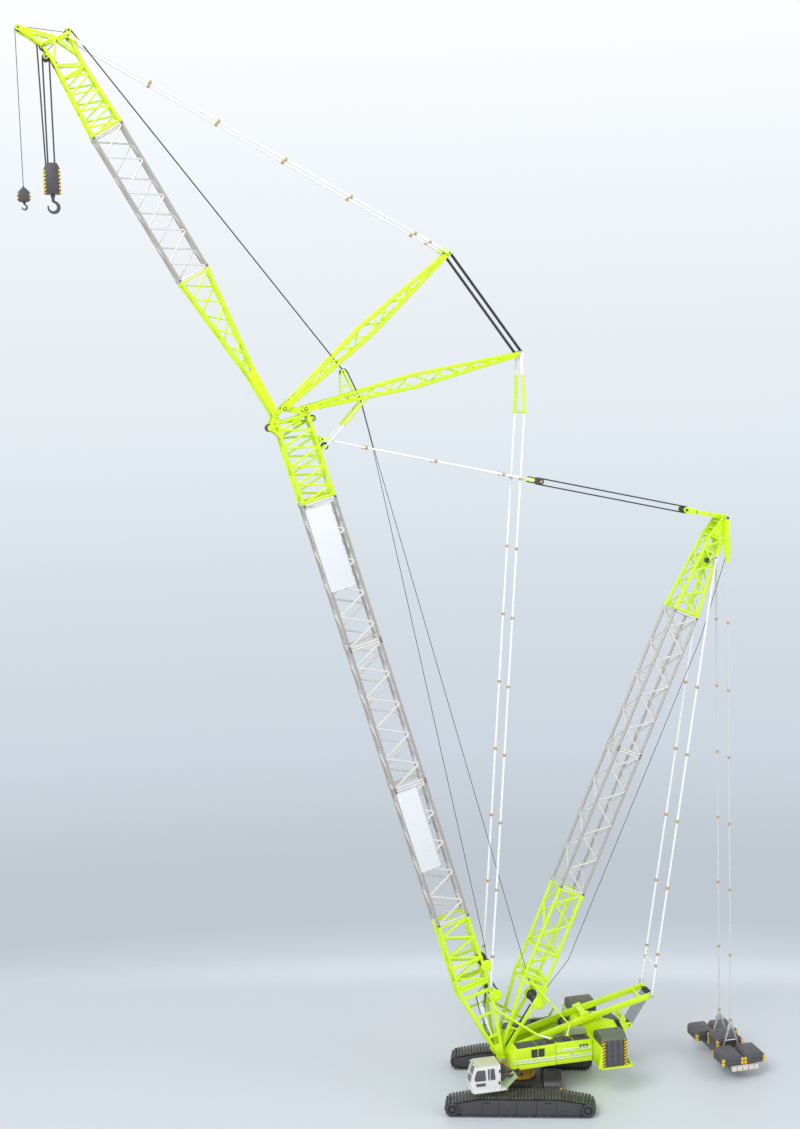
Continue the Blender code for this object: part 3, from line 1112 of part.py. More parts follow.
def jib_members(jib, front_strut):
    rear, front, half = JIB_REAR, JIB_FRONT, JIB_HALF_WIDTH
    section = (rear, front, half)
    boss_in = HEAD_CHEEK_IN + 0.0030 + GAP
    boss_out = boss_in + LUG_THICKNESS
    start = 0.0620
    share = start / JIB_FOOT_LENGTH
    stations = [(start, rear * share, front * share, boss_out - 0.0006), (JIB_FOOT_LENGTH - GAP, *section)]
    tower = lattice(stations, [6], [(3, 3)], [(0.003, 0.003)] * 2)
    leg = prism([(-FOOT_BOSS_RADIUS + 0.0010, 0.0), (-0.0040, 0.0040), (rear * share, start + 0.002),
                 (front * share, start + 0.002), (0.0040, 0.0040), (FOOT_BOSS_RADIUS - 0.0010, 0.0),
                 (0.0030, -0.0038), (-0.0030, -0.0038)], boss_in, boss_out)
    add("jib_foot", "lime_paint", jib, [tower] + both(leg), [pin((0, 0), JIB_PIN_RADIUS + BORE_PLAY, CUT_REACH, 8)])
    low = JIB_FOOT_LENGTH
    high = low + JIB_INSERT_LENGTH
    add("jib_insert", "silver_lattice", jib,
        [lattice([(low, *section), (high - GAP, *section)], [8], [(3, 3)], [(0.003, 0.003)] * 2)])
    low = high
    cheek_in, cheek_out = JIB_CHEEK_IN, JIB_CHEEK_IN + 0.0030
    end = JIB_HEAD_END
    stations = [(low, *section), (JIB_HEAD_BEND, -0.0230, 0.0104, 0.0130), (end, -0.0226, 0.0100, cheek_out)]
    tower = lattice(stations, [4, 1], [(2, 2), (1, 1)], [(0.003, 0.003), (0.001, 0.001), (0.002, 0.002)])
    outline = [(-0.0226, end - 0.006), (0.0100, end - 0.006), (HOIST_SHEAVE_ACROSS + 0.0045, HOIST_SHEAVE_ALONG - 0.0040),
               (TIP_SHEAVE_ACROSS + 0.0045, TIP_SHEAVE_ALONG - 0.0030), (TIP_SHEAVE_ACROSS + 0.0030, TIP_SHEAVE_ALONG + 0.0040),
               (TIP_SHEAVE_ACROSS - 0.0030, TIP_SHEAVE_ALONG + 0.0035), (0.0020, HOIST_SHEAVE_ALONG + 0.0150),
               (TOP_SHEAVE_ACROSS + 0.0040, TOP_SHEAVE_ALONG - 0.0010), (TOP_SHEAVE_ACROSS + 0.0010, TOP_SHEAVE_ALONG + 0.0030),
               (TOP_SHEAVE_ACROSS - 0.0025, TOP_SHEAVE_ALONG)]
    solids = [tower] + both(prism(outline, cheek_in, cheek_out))
    solids.append(sheaves((TOP_SHEAVE_ACROSS, TOP_SHEAVE_ALONG), TOP_SHEAVE_RADIUS, 0.0050, DRUM_PIN_RADIUS, cheek_out))
    solids.append(sheaves((TIP_SHEAVE_ACROSS, TIP_SHEAVE_ALONG), TIP_SHEAVE_RADIUS, 0.0030, DRUM_PIN_RADIUS, cheek_out))
    add("jib_head", "lime_paint", jib, solids,
        [pin((HOIST_SHEAVE_ACROSS, HOIST_SHEAVE_ALONG), DRUM_PIN_RADIUS + BORE_PLAY, CUT_REACH, 8)])
    spot = jib.at(HOIST_SHEAVE_ALONG, HOIST_SHEAVE_ACROSS)
    axle = Frame("jib_head_sheave_axle", *spot, lean=JIB_LEAN, parent=jib)
    add("jib_head_sheaves", "dark_grey", axle,
        [sheaves((0, 0), HOIST_SHEAVE_RADIUS, cheek_in - GAP, DRUM_PIN_RADIUS, cheek_out + 0.0004)], smooth=True)

    tip = front_strut.at(FRONT_STRUT_LENGTH)
    head = jib.at(JIB_STAY_ALONG, JIB_STAY_ACROSS)
    line = Frame("jib_stay_pivot", *tip, lean=lean_between(tip, head), parent=front_strut)
    length = hypot(head[0] - tip[0], head[1] - tip[1])
    rod = JIB_STAY_EYE_IN + 0.00107
    solids = both(sweep([(0, rod, 0), (0, rod, length)], STAY_RADIUS, 5),
                  disc((0, 0), 0.0032, JIB_STAY_EYE_IN, JIB_STAY_EYE_IN + 0.0020, 8),
                  lug((0, length), (0, length - 0.014), 0.0026, JIB_STAY_EYE_IN, JIB_STAY_EYE_IN + 0.0020))
    solids.append(sweep([(0, -rod, 0.030), (0, rod, 0.030)], 0.0009, 6))
    add("jib_stays", "stay_white", line, solids, [pin((0, 0), STAY_PIN_RADIUS + BORE_PLAY, CUT_REACH, 8)])


def hooks(jib):
    top = jib.at(HOIST_SHEAVE_ALONG, HOIST_SHEAVE_ACROSS)
    swing = Frame("main_swing", *top, parent=jib)
    low = (top[0], top[1] - MAIN_HOOK_DROP)
    radius = HOIST_SHEAVE_RADIUS + ROPE_RADIUS + GAP
    add("main_falls", "rope_black", swing, [reeving(top, low, radius, (-0.0027, 0.0027))], frame=WORLD)
    block = Frame("main_hoist", *low, parent=swing)
    wide, thick = BLOCK_WIDTH / 2, BLOCK_THICKNESS / 2
    cheek = thick - BLOCK_CHEEK
    foot, head = -BLOCK_BELOW, BLOCK_ABOVE
    floor = foot + 0.0060
    solids = both(prism([(-wide, foot), (wide, foot), (wide, head - 0.004), (wide - 0.004, head), (0.004 - wide, head),
                         (-wide, head - 0.004)], cheek, thick))
    solids.append(box((-wide, wide), (-thick, thick), (foot, floor)))
    solids.append(sheaves((0, 0), HOIST_SHEAVE_RADIUS, cheek - GAP, DRUM_PIN_RADIUS, thick - 0.0002))
    shank = turned([(SHANK_RADIUS + BORE_PLAY, foot - 0.002), (SHANK_RADIUS + BORE_PLAY, floor + 0.002)], (0, 0, 0), "Z", 8)
    add("hook_block", "dark_grey", block, solids, [shank])

    swivel = Frame("hook_swivel", low[0], low[1] + foot, parent=block)
    bend, bar = HOOK_BEND_RADIUS, HOOK_BAR_RADIUS
    centre = -HOOK_DROP
    route = [(0, 0, floor - foot), (0, 0, centre + bend + 0.0035)]
    route += [(bend * cos(radians(a)), 0, centre + bend * sin(radians(a))) for a in range(115, 386, 30)]
    nut = turned([(0.0033, floor - foot + GAP), (0.0033, floor - foot + 0.0020)], (0, 0, 0), "Z", 8)
    shaft = turned([(SHANK_RADIUS, -0.0020), (SHANK_RADIUS, floor - foot + 0.0010)], (0, 0, 0), "Z", 8)
    add("main_hook", "drum_black", swivel, [nut, shaft, sweep(route[1:], bar, 8),
                                             turned([(SHANK_RADIUS, centre + bend + 0.0010), (SHANK_RADIUS, -0.0010)], (0, 0, 0), "Z", 8)])

    tip = jib.at(TIP_SHEAVE_ALONG, TIP_SHEAVE_ACROSS)
    swing = Frame("aux_swing", *tip, parent=jib)
    x = TIP_SHEAVE_RADIUS + ROPE_RADIUS + GAP
    over = [(x * cos(radians(a)), 0, x * sin(radians(a))) for a in (110, 75, 40)]
    add("aux_fall", "rope_black", swing, [sweep(over + [(x, 0, 0), (x, 0, -AUX_DROP)], ROPE_RADIUS, 4)])
    weight = Frame("aux_hoist", tip[0] + x, tip[1] - AUX_DROP, parent=swing)
    wide = AUX_BLOCK_WIDTH / 2
    top, foot = -GAP, -AUX_BLOCK_HEIGHT
    outline = [(-wide, foot + 0.003), (0.003 - wide, foot), (wide - 0.003, foot), (wide, foot + 0.003), (wide, -0.007),
               (0.0015, top), (-0.0015, top), (-wide, -0.007)]
    bend = 0.0031
    centre = foot - 0.0035 - bend
    route = [(0, 0, foot + 0.002), (0, 0, centre + bend + 0.001)]
    route += [(bend * cos(radians(a)), 0, centre + bend * sin(radians(a))) for a in range(120, 361, 40)]
    add("aux_hook", "dark_grey", weight, [prism(outline, -0.0065, 0.0065), sweep(route, 0.0012, 6)])


def hoist_lines(jib, boom, mast, rear_strut):
    """The two hoist ropes, from the jib's top sheave over the rear strut down to their drums."""
    along, across = TOP_SHEAVE_ALONG, TOP_SHEAVE_ACROSS - TOP_SHEAVE_RADIUS - ROPE_RADIUS - GAP
    start = jib.at(along, across)
    for name, y, rest in (
            ("main_hoist_line", HOIST_LINE_Y, [mast.at(0.1506, 0.0289), mast.at(MAST_WINCH + 0.0060, WINCH_SETBACK + 0.0062)]),
            ("aux_hoist_line", -HOIST_LINE_Y, [boom.at(0.1650, -0.0300), boom.at(BOOM_WINCHES[0] + 0.0030, WINCH_SETBACK - 0.0058)])):
        route = [start, rear_strut.at(*GUIDE_LINE), rear_strut.at(*STRUT_CROSSING), boom.at(*LINE_BELOW)] + rest
        add(name, "rope_black", boom, [sweep([(x, y, z) for x, z in route], ROPE_RADIUS, 4)], frame=WORLD)


def ballast(mast):
    pivot = mast.at(MAST_TOP_PIN_ALONG, MAST_TOP_PIN_ACROSS)
    tray = Frame("tray_swing", *pivot, parent=mast)
    drop = pivot[1]
    eye = STAY_HALF_SPREAD - 0.0013
    top = TRAY_BOTTOM + TRAY_BEAM_HEIGHT
    apex = TRAY_APEX
    solids = both(lug((0, 0), (0, -PENDANT_HEAD), 0.0036, eye, eye + 0.0027),
                  sweep([(0, STAY_HALF_SPREAD + 0.00005, 0.002 - PENDANT_HEAD), (0, STAY_HALF_SPREAD + 0.00005, apex - 0.001 - drop)],
                        STAY_RADIUS, 5),
                  sweep([(-TRAY_LEG_SPREAD, STAY_HALF_SPREAD, top + GAP - drop),
                         (-TRAY_LEG_SPREAD, STAY_HALF_SPREAD, top + TRAY_LEG_RISE - drop),
                         (0, STAY_HALF_SPREAD, apex - drop)], TRAY_LEG_RADIUS, 5),
                  sweep([(TRAY_LEG_SPREAD, STAY_HALF_SPREAD, top + GAP - drop),
                         (TRAY_LEG_SPREAD, STAY_HALF_SPREAD, top + TRAY_LEG_RISE - drop),
                         (0, STAY_HALF_SPREAD, apex - drop)], TRAY_LEG_RADIUS, 5))
    solids.append(sweep([(0.0001, -STAY_HALF_SPREAD - 0.0003, apex - 0.0014 - drop),
                         (0.0001, STAY_HALF_SPREAD + 0.0003, apex - 0.0014 - drop)], 0.0015, 6))
    add("tray_stays", "tray_steel", tray, solids, [pin((0, 0), JIB_PIN_RADIUS + BORE_PLAY, CUT_REACH, 8)])

    half, long = TRAY_WIDTH / 2, TRAY_LENGTH / 2
    centre = CENTRE_BALLAST_HALF
    stack = prism([(-half, top - 0.001), (half, top - 0.001), (half, CENTRE_BALLAST_TOP - 0.004), (half - 0.004, CENTRE_BALLAST_TOP),
                   (0.004 - half, CENTRE_BALLAST_TOP), (-half, CENTRE_BALLAST_TOP - 0.004)], -centre, centre)
    stack = ([(x, y, z - drop) for x, y, z in stack[0]], stack[1])
    add("ballast_tray", "weight_grey", tray,
        [box((-half, half), (-long, long), (TRAY_BOTTOM - drop, top - drop)), stack])
    wide = BALLAST_LENGTH / 2
    low = top + GAP - drop
    inner, outer = BALLAST_INNER, BALLAST_INNER + BALLAST_DEPTH
    high = low + BALLAST_HEIGHT
    block = prism([(-wide, low), (wide, low), (wide, high - 0.004), (wide - 0.004, high), (0.004 - wide, high),
                   (-wide, high - 0.004)], inner, outer)
    add("ballast_left", "weight_grey", tray, [block])
    add("ballast_right", "weight_grey", tray, [mirrored(block)])


for thing in list(bpy.data.objects):
    bpy.data.objects.remove(thing)
PAINTS = {name: make_material(name) for name in MATERIALS}
WORLD = Frame("crane", 0, 0)
UNDER = Frame("undercarriage", 0, 0, parent=WORLD, turn=-SLEW_ANGLE)
HOUSE = Frame("slew_axis", 0, 0, parent=UNDER)
A_FRAME = Frame("a_frame_pivot", FOOT_X, FOOT_Z, lean=A_FRAME_LEAN, parent=HOUSE)
MAST = Frame("mast_pivot", FOOT_X, FOOT_Z, lean=MAST_LEAN, parent=HOUSE)
BOOM = Frame("boom_pivot", FOOT_X, FOOT_Z, lean=BOOM_LEAN, parent=MAST)
JIB = Frame("jib_pivot", *BOOM.at(JIB_PIVOT_ALONG, JIB_PIVOT_ACROSS), lean=JIB_LEAN, parent=BOOM)
crawlers(UNDER)
platform(HOUSE)
cab(HOUSE)
boom_members(BOOM)
mast_members(MAST)
a_frame_members(A_FRAME, MAST, HOUSE)
stays_to_mast(BOOM, MAST)
FRONT_STRUT, REAR_STRUT = boom_top(BOOM)
jib_members(JIB, FRONT_STRUT)
hooks(JIB)
hoist_lines(JIB, BOOM, MAST, REAR_STRUT)
ballast(MAST)

# the model stands with the middle of its length over the origin
bpy.context.view_layer.update()
reach = [(thing.matrix_world @ vertex.co).x for thing in bpy.data.objects if thing.type == "MESH"
         for vertex in thing.data.vertices]
WORLD.empty.location.x = -(min(reach) + max(reach)) / 2
bpy.context.view_layer.update()
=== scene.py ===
"""Dresses the lattice-boom crawler crane: painted tubes, ropes, machinery, cab and stage.

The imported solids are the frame. Drawings are in millimetres, each in the frame of the member
that carries it: local X points ahead, Y to the crane's left and Z along the member.
"""

import json
from math import atan2, cos, degrees, pi, radians, sin

import bmesh
import bpy
from bpy.props import FloatProperty, FloatVectorProperty, IntProperty, PointerProperty
from bpy.types import Operator, Panel, PropertyGroup
from mathutils import Matrix, Vector


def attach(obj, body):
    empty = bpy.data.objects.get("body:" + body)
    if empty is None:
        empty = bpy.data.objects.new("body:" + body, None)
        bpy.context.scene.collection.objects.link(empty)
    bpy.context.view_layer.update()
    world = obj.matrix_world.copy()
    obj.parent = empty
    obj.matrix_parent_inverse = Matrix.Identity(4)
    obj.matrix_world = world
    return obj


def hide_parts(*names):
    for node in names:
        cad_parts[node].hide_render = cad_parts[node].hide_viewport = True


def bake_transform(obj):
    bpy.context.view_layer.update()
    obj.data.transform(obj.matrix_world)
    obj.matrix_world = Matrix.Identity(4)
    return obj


bl_info = {
    "name": "Lattice Crawler Crane",
    "version": (1, 0, 0),
    "blender": (4, 5, 0),
    "location": "View3D > Sidebar > Crane",
    "description": "Builds the tubes, ropes, machinery and stage of a lattice crawler crane",
    "category": "Object",
}

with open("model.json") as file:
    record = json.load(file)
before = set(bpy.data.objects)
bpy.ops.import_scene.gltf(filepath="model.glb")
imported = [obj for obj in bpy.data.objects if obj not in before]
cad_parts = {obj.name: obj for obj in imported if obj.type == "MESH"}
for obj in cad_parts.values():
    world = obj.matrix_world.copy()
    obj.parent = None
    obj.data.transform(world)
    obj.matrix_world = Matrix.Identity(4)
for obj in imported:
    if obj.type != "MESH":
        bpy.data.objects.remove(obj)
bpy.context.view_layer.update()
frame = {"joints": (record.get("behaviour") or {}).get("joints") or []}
JOINTS = {joint["name"]: joint for joint in frame["joints"]}
MM = 0.001
SMOOTH_UP_TO = 32.0       # degrees between faces that are still shaded as one


# ------------------------------------------------------------------ where things stand
def pivot(joint):
    """The rest place of a joint's axis, in metres."""
    return Vector(JOINTS[joint]["pos_m"])


def stand(spot, lean=0.0, turn=0.0):
    """The matrix of a drawing: its origin, its lean ahead and its turn about Z, in degrees."""
    return (Matrix.Translation(spot) @ Matrix.Rotation(radians(turn), 4, "Z")
            @ Matrix.Rotation(radians(lean), 4, "Y") @ Matrix.Scale(MM, 4))


HOUSE = stand(pivot("slew"))
UNDER = stand(pivot("slew"), turn=-17.8)
BOOM = stand(pivot("boom_luff"), lean=15.83)
MAST = stand(pivot("mast_luff"), lean=-24.6)
A_FRAME = stand(pivot("a_frame_luff"), lean=-73.7)
JIB = stand(pivot("jib_luff"), lean=29.2)
FRONT_STRUT = stand(pivot("front_strut_luff"), lean=-49.0)

# Pins, each as (x, z) in the drawing of its member.
JIB_PIN, FRONT_STRUT_PIN, REAR_STRUT_PIN = (25.7, 965.0), (12.3, 967.7), (-14.4, 959.0)
BOOM_STAY_PIN, REAR_STAY_PIN = (-24.0, 913.9), (-15.0, 106.2)
BOOM_SHEAVE_PIN = (37.5, 948.9)
MAST_TIP, MAST_STAY_PIN = (-4.3, 830.7), (-11.3, 772.8)
A_FRAME_TIP, FRONT_TIP, REAR_TIP = (0.0, 236.0), (0.0, 305.6), (0.0, 308.0)
JIB_HOIST_PIN, JIB_TIP_PIN, JIB_TOP_PIN = (16.0, 531.0), (26.9, 577.3), (-25.5, 544.9)
JIB_STAY_PIN = (-21.2, 539.2)
DECK_SHEAVE_PIN, HOUSE_WINCH_PIN = (-163.0, 80.0), (-70.0, 87.0)
MAIN_FALL, AUX_FALL = 149.0, 195.0      # from the jib's sheaves down to the hooks' homes

REAR_STRUT = stand(BOOM @ Vector((REAR_STRUT_PIN[0], 0, REAR_STRUT_PIN[1])), lean=-77.8)


def seen_from(home, other, spot):
    """A point of one drawing, given in another drawing's numbers."""
    return home.inverted() @ (other @ Vector(spot))


def in_house(other, pin):
    """A pin of one drawing, in the house's numbers."""
    return seen_from(HOUSE, other, (pin[0], 0, pin[1]))


# ------------------------------------------------------------------ settings
def metres(name, description, default):
    return FloatProperty(name=name, description=description, default=default, unit="LENGTH")


class CraneSizes(PropertyGroup):
    """Sizes of the tubes, ropes and rods."""

    boom_chord: metres("Boom chord", "Radius of the boom's main tubes", 0.00205)
    boom_lace: metres("Boom lace", "Radius of the boom's lacing tubes", 0.00145)
    mast_chord: metres("Mast chord", "Radius of the mast's main tubes", 0.00205)
    mast_lace: metres("Mast lace", "Radius of the mast's lacing tubes", 0.00130)
    jib_chord: metres("Jib chord", "Radius of the jib's main tubes", 0.00190)
    jib_lace: metres("Jib lace", "Radius of the jib's lacing tubes", 0.00122)
    rope: metres("Hoist rope", "Radius of the hoist ropes", 0.00045)
    fall: metres("Falls", "Radius of the reeved falls", 0.00095)
    stay: metres("Stay rod", "Radius of the stay rods", 0.00155)
    tube_sides: IntProperty(name="Tube sides", description="Flat sides round each tube",
                            default=10, min=6, max=24)
    shoe_count: IntProperty(name="Track shoes", description="Shoes round each crawler",
                            default=92, min=30, max=120)


def colour(name, description, default):
    return FloatVectorProperty(name=name, description=description, default=default, size=3,
                               subtype="COLOR", min=0.0, max=1.0)


class CraneColours(PropertyGroup):
    """Base colours, linear."""

    lime: colour("Lime paint", "Paint of the frame, heads and feet", (0.66, 0.93, 0.006))
    silver: colour("Silver paint", "Paint of the lattice lacing", (0.70, 0.685, 0.655))
    # The lattice chords' silver, darkened to paint the shade the chords fall in.
    pewter: colour("Silver with painted shade", "Paint of the lattice chords", (0.43, 0.40, 0.365))
    dark: colour("Dark grey", "Crawlers, weights and car body", (0.066, 0.063, 0.068))
    shoe: colour("Track shoes", "Worn olive grey of the shoes", (0.15, 0.154, 0.122))
    weight: colour("Weights", "Cast counterweights", (0.095, 0.092, 0.102))
    gold: colour("Slewing ring", "Gold paint of the slewing ring", (0.95, 0.52, 0.04))
    cab: colour("Cab", "Cab shell", (0.80, 0.78, 0.76))
    stay: colour("Stay rods", "White stay rods", (0.94, 0.94, 0.95))
    brass: colour("Links", "Brass links of the stay rods", (0.62, 0.44, 0.20))
    rope: colour("Rope", "Wire rope", (0.055, 0.055, 0.065))
    hazard: colour("Hazard yellow", "Yellow of the warning stripes", (0.85, 0.55, 0.008))
    floor: colour("Floor", "Studio floor", (0.70, 0.75, 0.80))


class StageSettings(PropertyGroup):
    """Light of the studio."""

    key_power: FloatProperty(name="Key", description="Power of the large lamp, in watts",
                             default=76.0, subtype="POWER")
    fill_power: FloatProperty(name="Fill", description="Power of the side lamp, in watts",
                              default=22.0, subtype="POWER")
    sky: FloatProperty(name="Sky", description="Strength of the even light", default=0.52)


def sizes():
    return bpy.context.scene.crane_sizes


def colours():
    return bpy.context.scene.crane_colours


# ------------------------------------------------------------------ solids, as (points, faces)
def box(x, y, z):
    """A block from three (low, high) pairs."""
    points = [(a, b, c) for a in x for b in y for c in z]
    faces = [(0, 1, 3, 2), (4, 6, 7, 5), (0, 4, 5, 1), (2, 3, 7, 6), (0, 2, 6, 4), (1, 5, 7, 3)]
    return points, faces


def prism(outline, low, high, axis="Y"):
    """An outline pushed out: (x, z) points along Y, (y, z) along X or (x, y) along Z."""
    place = {"Y": lambda p, d: (p[0], d, p[1]), "X": lambda p, d: (d, p[0], p[1]),
             "Z": lambda p, d: (p[0], p[1], d)}[axis]
    count = len(outline)
    points = [place(p, d) for d in (low, high) for p in outline]
    faces = [tuple(range(count)), tuple(range(2 * count - 1, count - 1, -1))]
    faces += [(i, (i + 1) % count, count + (i + 1) % count, count + i) for i in range(count)]
    return points, faces


def turned(profile, centre=(0, 0, 0), axis="Y", sides=24):
    """(radius, distance) pairs turned about an axis through the centre."""
    points, faces = [], []
    for radius, distance in profile:
        for k in range(sides):
            a, b = radius * cos(2 * pi * k / sides), radius * sin(2 * pi * k / sides)
            spot = {"Y": (a, distance, b), "Z": (a, b, distance), "X": (distance, a, b)}[axis]
            points.append(tuple(c + s for c, s in zip(centre, spot)))
    for ring in range(len(profile) - 1):
        for k in range(sides):
            a, b = ring * sides + k, ring * sides + (k + 1) % sides
            faces.append((a, b, b + sides, a + sides))
    faces += [tuple(range(sides)), tuple(range(len(points) - 1, len(points) - sides - 1, -1))]
    return points, faces


def disc(x, z, radius, low, high, sides=20):
    """A round plate or pin across the crane."""
    edge = min(0.25, (high - low) / 4, radius / 4)
    return turned([(radius - edge, low), (radius, low + edge), (radius, high - edge),
                   (radius - edge, high)], (x, 0, z), "Y", sides)


def flipped(points):
    """Points on the other side of the crane."""
    return [(x, -y, z) for x, y, z in points]


def mirrored(solid):
    points, faces = solid
    return flipped(points), faces


def both(*solids):
    return [copy for solid in solids for copy in (solid, mirrored(solid))]


def both_runs(*runs):
    """Each bar, left and right."""
    return [copy for run, radius in runs for copy in ((run, radius), (flipped(run), radius))]


def other_spots(spots):
    """Stud spots of the left, for the right."""
    return [(*flipped(spot[:2]), *spot[2:]) for spot in spots]


def both_spots(spots):
    return spots + other_spots(spots)


def flank_studs(places, y, radius, length):
    """Stud spots at (x, z) places, facing outwards on both flanks."""
    return both_spots([((x, y, z), (0, 1, 0), radius, length) for x, z in places])


def on_side(side, solids):
    """Solids drawn on the left, for the left (1) or the right (-1)."""
    return solids if side > 0 else [mirrored(solid) for solid in solids]


def hoop(points, radius):
    """Straight bars from point to point and back to the first."""
    return [([a, b], radius) for a, b in zip(points, points[1:] + points[:1])]


def shape_of(solids, bevel=0.0):
    """A plain mesh of closed solids, with softened edges."""
    work = bmesh.new()
    for points, faces in solids:
        corners = [work.verts.new(p) for p in points]
        for loop in faces:
            work.faces.new([corners[i] for i in loop])
    bmesh.ops.recalc_face_normals(work, faces=work.faces)
    if bevel:
        edges = [e for e in work.edges if len(e.link_faces) == 2
                 and e.calc_face_angle() > radians(30)]
        bmesh.ops.bevel(work, geom=edges, offset=bevel, segments=2, profile=0.6,
                        affect="EDGES", clamp_overlap=True)
    mesh = bpy.data.meshes.new("shape")
    work.to_mesh(mesh)
    work.free()
    return mesh


# ------------------------------------------------------------------ geometry nodes
def new_tree(name, inputs):
    """An empty geometry tree with named inputs."""
    tree = bpy.data.node_groups.new(name, "GeometryNodeTree")
    face = tree.interface
    face.new_socket("Geometry", in_out="INPUT", socket_type="NodeSocketGeometry")
    for label, kind, default in inputs:
        socket = face.new_socket(label, in_out="INPUT", socket_type=kind)
        if default is not None:
            socket.default_value = default
    face.new_socket("Geometry", in_out="OUTPUT", socket_type="NodeSocketGeometry")
    source = tree.nodes.new("NodeGroupInput")
    return tree, source


def add_node(tree, kind, links=None, **settings):
    """A node, its settings, and what feeds its inputs: a socket or a value by input name."""
    node = tree.nodes.new(kind)
    for key, value in settings.items():
        setattr(node, key, value)
    for key, value in (links or {}).items():
        if isinstance(value, bpy.types.NodeSocket):
            tree.links.new(value, node.inputs[key])
        else:
            node.inputs[key].default_value = value
    return node


def close_tree(tree, geometry, source):
    """Realize Instances and Set Material, then out."""
    real = add_node(tree, "GeometryNodeRealizeInstances", {"Geometry": geometry})
    paint = add_node(tree, "GeometryNodeSetMaterial",
                     {"Geometry": real.outputs["Geometry"], "Material": source.outputs["Material"]})
    out = tree.nodes.new("NodeGroupOutput")
    tree.links.new(paint.outputs["Geometry"], out.inputs["Geometry"])
    return tree


def held(tree, name, kind="FLOAT_VECTOR"):
    """A named attribute of the points."""
    node = add_node(tree, "GeometryNodeInputNamedAttribute", {"Name": name}, data_type=kind)
    return node.outputs["Attribute"]


def noted(tree, geometry, name, output):
    """A curve that keeps a spline parameter as a named attribute."""
    share = add_node(tree, "GeometryNodeSplineParameter")
    return add_node(tree, "GeometryNodeStoreNamedAttribute",
                    {"Geometry": geometry, "Name": name, "Value": share.outputs[output]},
                    data_type="FLOAT", domain="POINT").outputs["Geometry"]


def joined(tree, *sockets):
    node = tree.nodes.new("GeometryNodeJoinGeometry")
    for socket in sockets:
        tree.links.new(socket, node.inputs["Geometry"])
    return node.outputs["Geometry"]


def maths(tree, operation, *values):
    """The result of a sum over sockets or numbers."""
    return add_node(tree, "ShaderNodeMath", dict(enumerate(values)),
                    operation=operation).outputs["Value"]


def round_bar_tree():
    """Sweeps a round profile along every edge run; each point holds the radius there."""
    tree, source = new_tree("round_bars", [("Sides", "NodeSocketInt", 10),
                                           ("Material", "NodeSocketMaterial", None)])
    radius = held(tree, "bar_radius", "FLOAT")
    line = add_node(tree, "GeometryNodeMeshToCurve", {"Mesh": source.outputs["Geometry"]})
    line = add_node(tree, "GeometryNodeSetCurveRadius",
                    {"Curve": noted(tree, line.outputs["Curve"], "along", "Length"),
                     "Radius": radius})
    ring = add_node(tree, "GeometryNodeCurvePrimitiveCircle",
                    {"Resolution": source.outputs["Sides"], "Radius": 1.0}, mode="RADIUS")
    tube = add_node(tree, "GeometryNodeCurveToMesh",
                    {"Curve": line.outputs["Curve"], "Fill Caps": True,
                     "Profile Curve": noted(tree, ring.outputs["Curve"], "around", "Factor")})
    if "Scale" in tube.inputs:
        tree.links.new(radius, tube.inputs["Scale"])
    return close_tree(tree, tube.outputs["Mesh"], source)


def stud_tree():
    """Sets a bevelled round stud on every point, along its own direction and size."""
    tree, source = new_tree("studs", [("Sides", "NodeSocketInt", 12),
                                      ("Material", "NodeSocketMaterial", None)])
    facing, size = held(tree, "facing"), held(tree, "stud_size")
    body, cap = (add_node(tree, "GeometryNodeMeshCylinder",
                          {"Vertices": source.outputs["Sides"], "Radius": radius, "Depth": depth})
                 for radius, depth in ((1.0, 0.8), (0.84, 1.0)))
    stud = joined(tree, body.outputs["Mesh"], cap.outputs["Mesh"])
    turn = add_node(tree, "FunctionNodeAlignRotationToVector", {"Vector": facing}, axis="Z")
    many = add_node(tree, "GeometryNodeInstanceOnPoints",
                    {"Points": source.outputs["Geometry"], "Instance": stud,
                     "Rotation": turn.outputs["Rotation"], "Scale": size})
    return close_tree(tree, many.outputs["Instances"], source)


def shoe_tree():
    """Sets one grouser shoe on every point of the belt's line, turned to the belt."""
    tree, source = new_tree("track_shoes", [("Shoe length", "NodeSocketFloat", 6.0),
                                            ("Shoe width", "NodeSocketFloat", 31.2),
                                            ("Thickness", "NodeSocketFloat", 1.6),
                                            ("Rib height", "NodeSocketFloat", 1.2),
                                            ("Material", "NodeSocketMaterial", None)])
    long, wide, thick, rib = (source.outputs[name] for name in
                              ("Shoe length", "Shoe width", "Thickness", "Rib height"))

    def block(x, y, z, height):
        size = add_node(tree, "ShaderNodeCombineXYZ", {"X": x, "Y": y, "Z": z})
        cube = add_node(tree, "GeometryNodeMeshCube", {"Size": size.outputs["Vector"]})
        place = add_node(tree, "ShaderNodeCombineXYZ", {"Z": height})
        return add_node(tree, "GeometryNodeTransform",
                        {"Geometry": cube.outputs["Mesh"],
                         "Translation": place.outputs["Vector"]}).outputs["Geometry"]

    def scaled(socket, factor):
        return maths(tree, "MULTIPLY_ADD", socket, factor, 0.0)

    shoe = joined(tree, block(long, wide, thick, scaled(thick, 0.5)),
                  block(scaled(long, 0.46), scaled(wide, 0.98), rib,
                        maths(tree, "ADD", thick, scaled(rib, 0.5))),
                  block(scaled(long, 0.55), scaled(wide, 0.10), scaled(thick, 1.6),
                        scaled(thick, -0.2)))
    turn = add_node(tree, "FunctionNodeAlignRotationToVector", {"Vector": held(tree, "facing")},
                    axis="Z", pivot_axis="Y")
    many = add_node(tree, "GeometryNodeInstanceOnPoints",
                    {"Points": source.outputs["Geometry"], "Instance": shoe,
                     "Rotation": turn.outputs["Rotation"]})
    return close_tree(tree, many.outputs["Instances"], source)


TREES = {}


def tree(maker):
    """Each tree is built once."""
    if maker.__name__ not in TREES:
        TREES[maker.__name__] = maker()
    return TREES[maker.__name__]


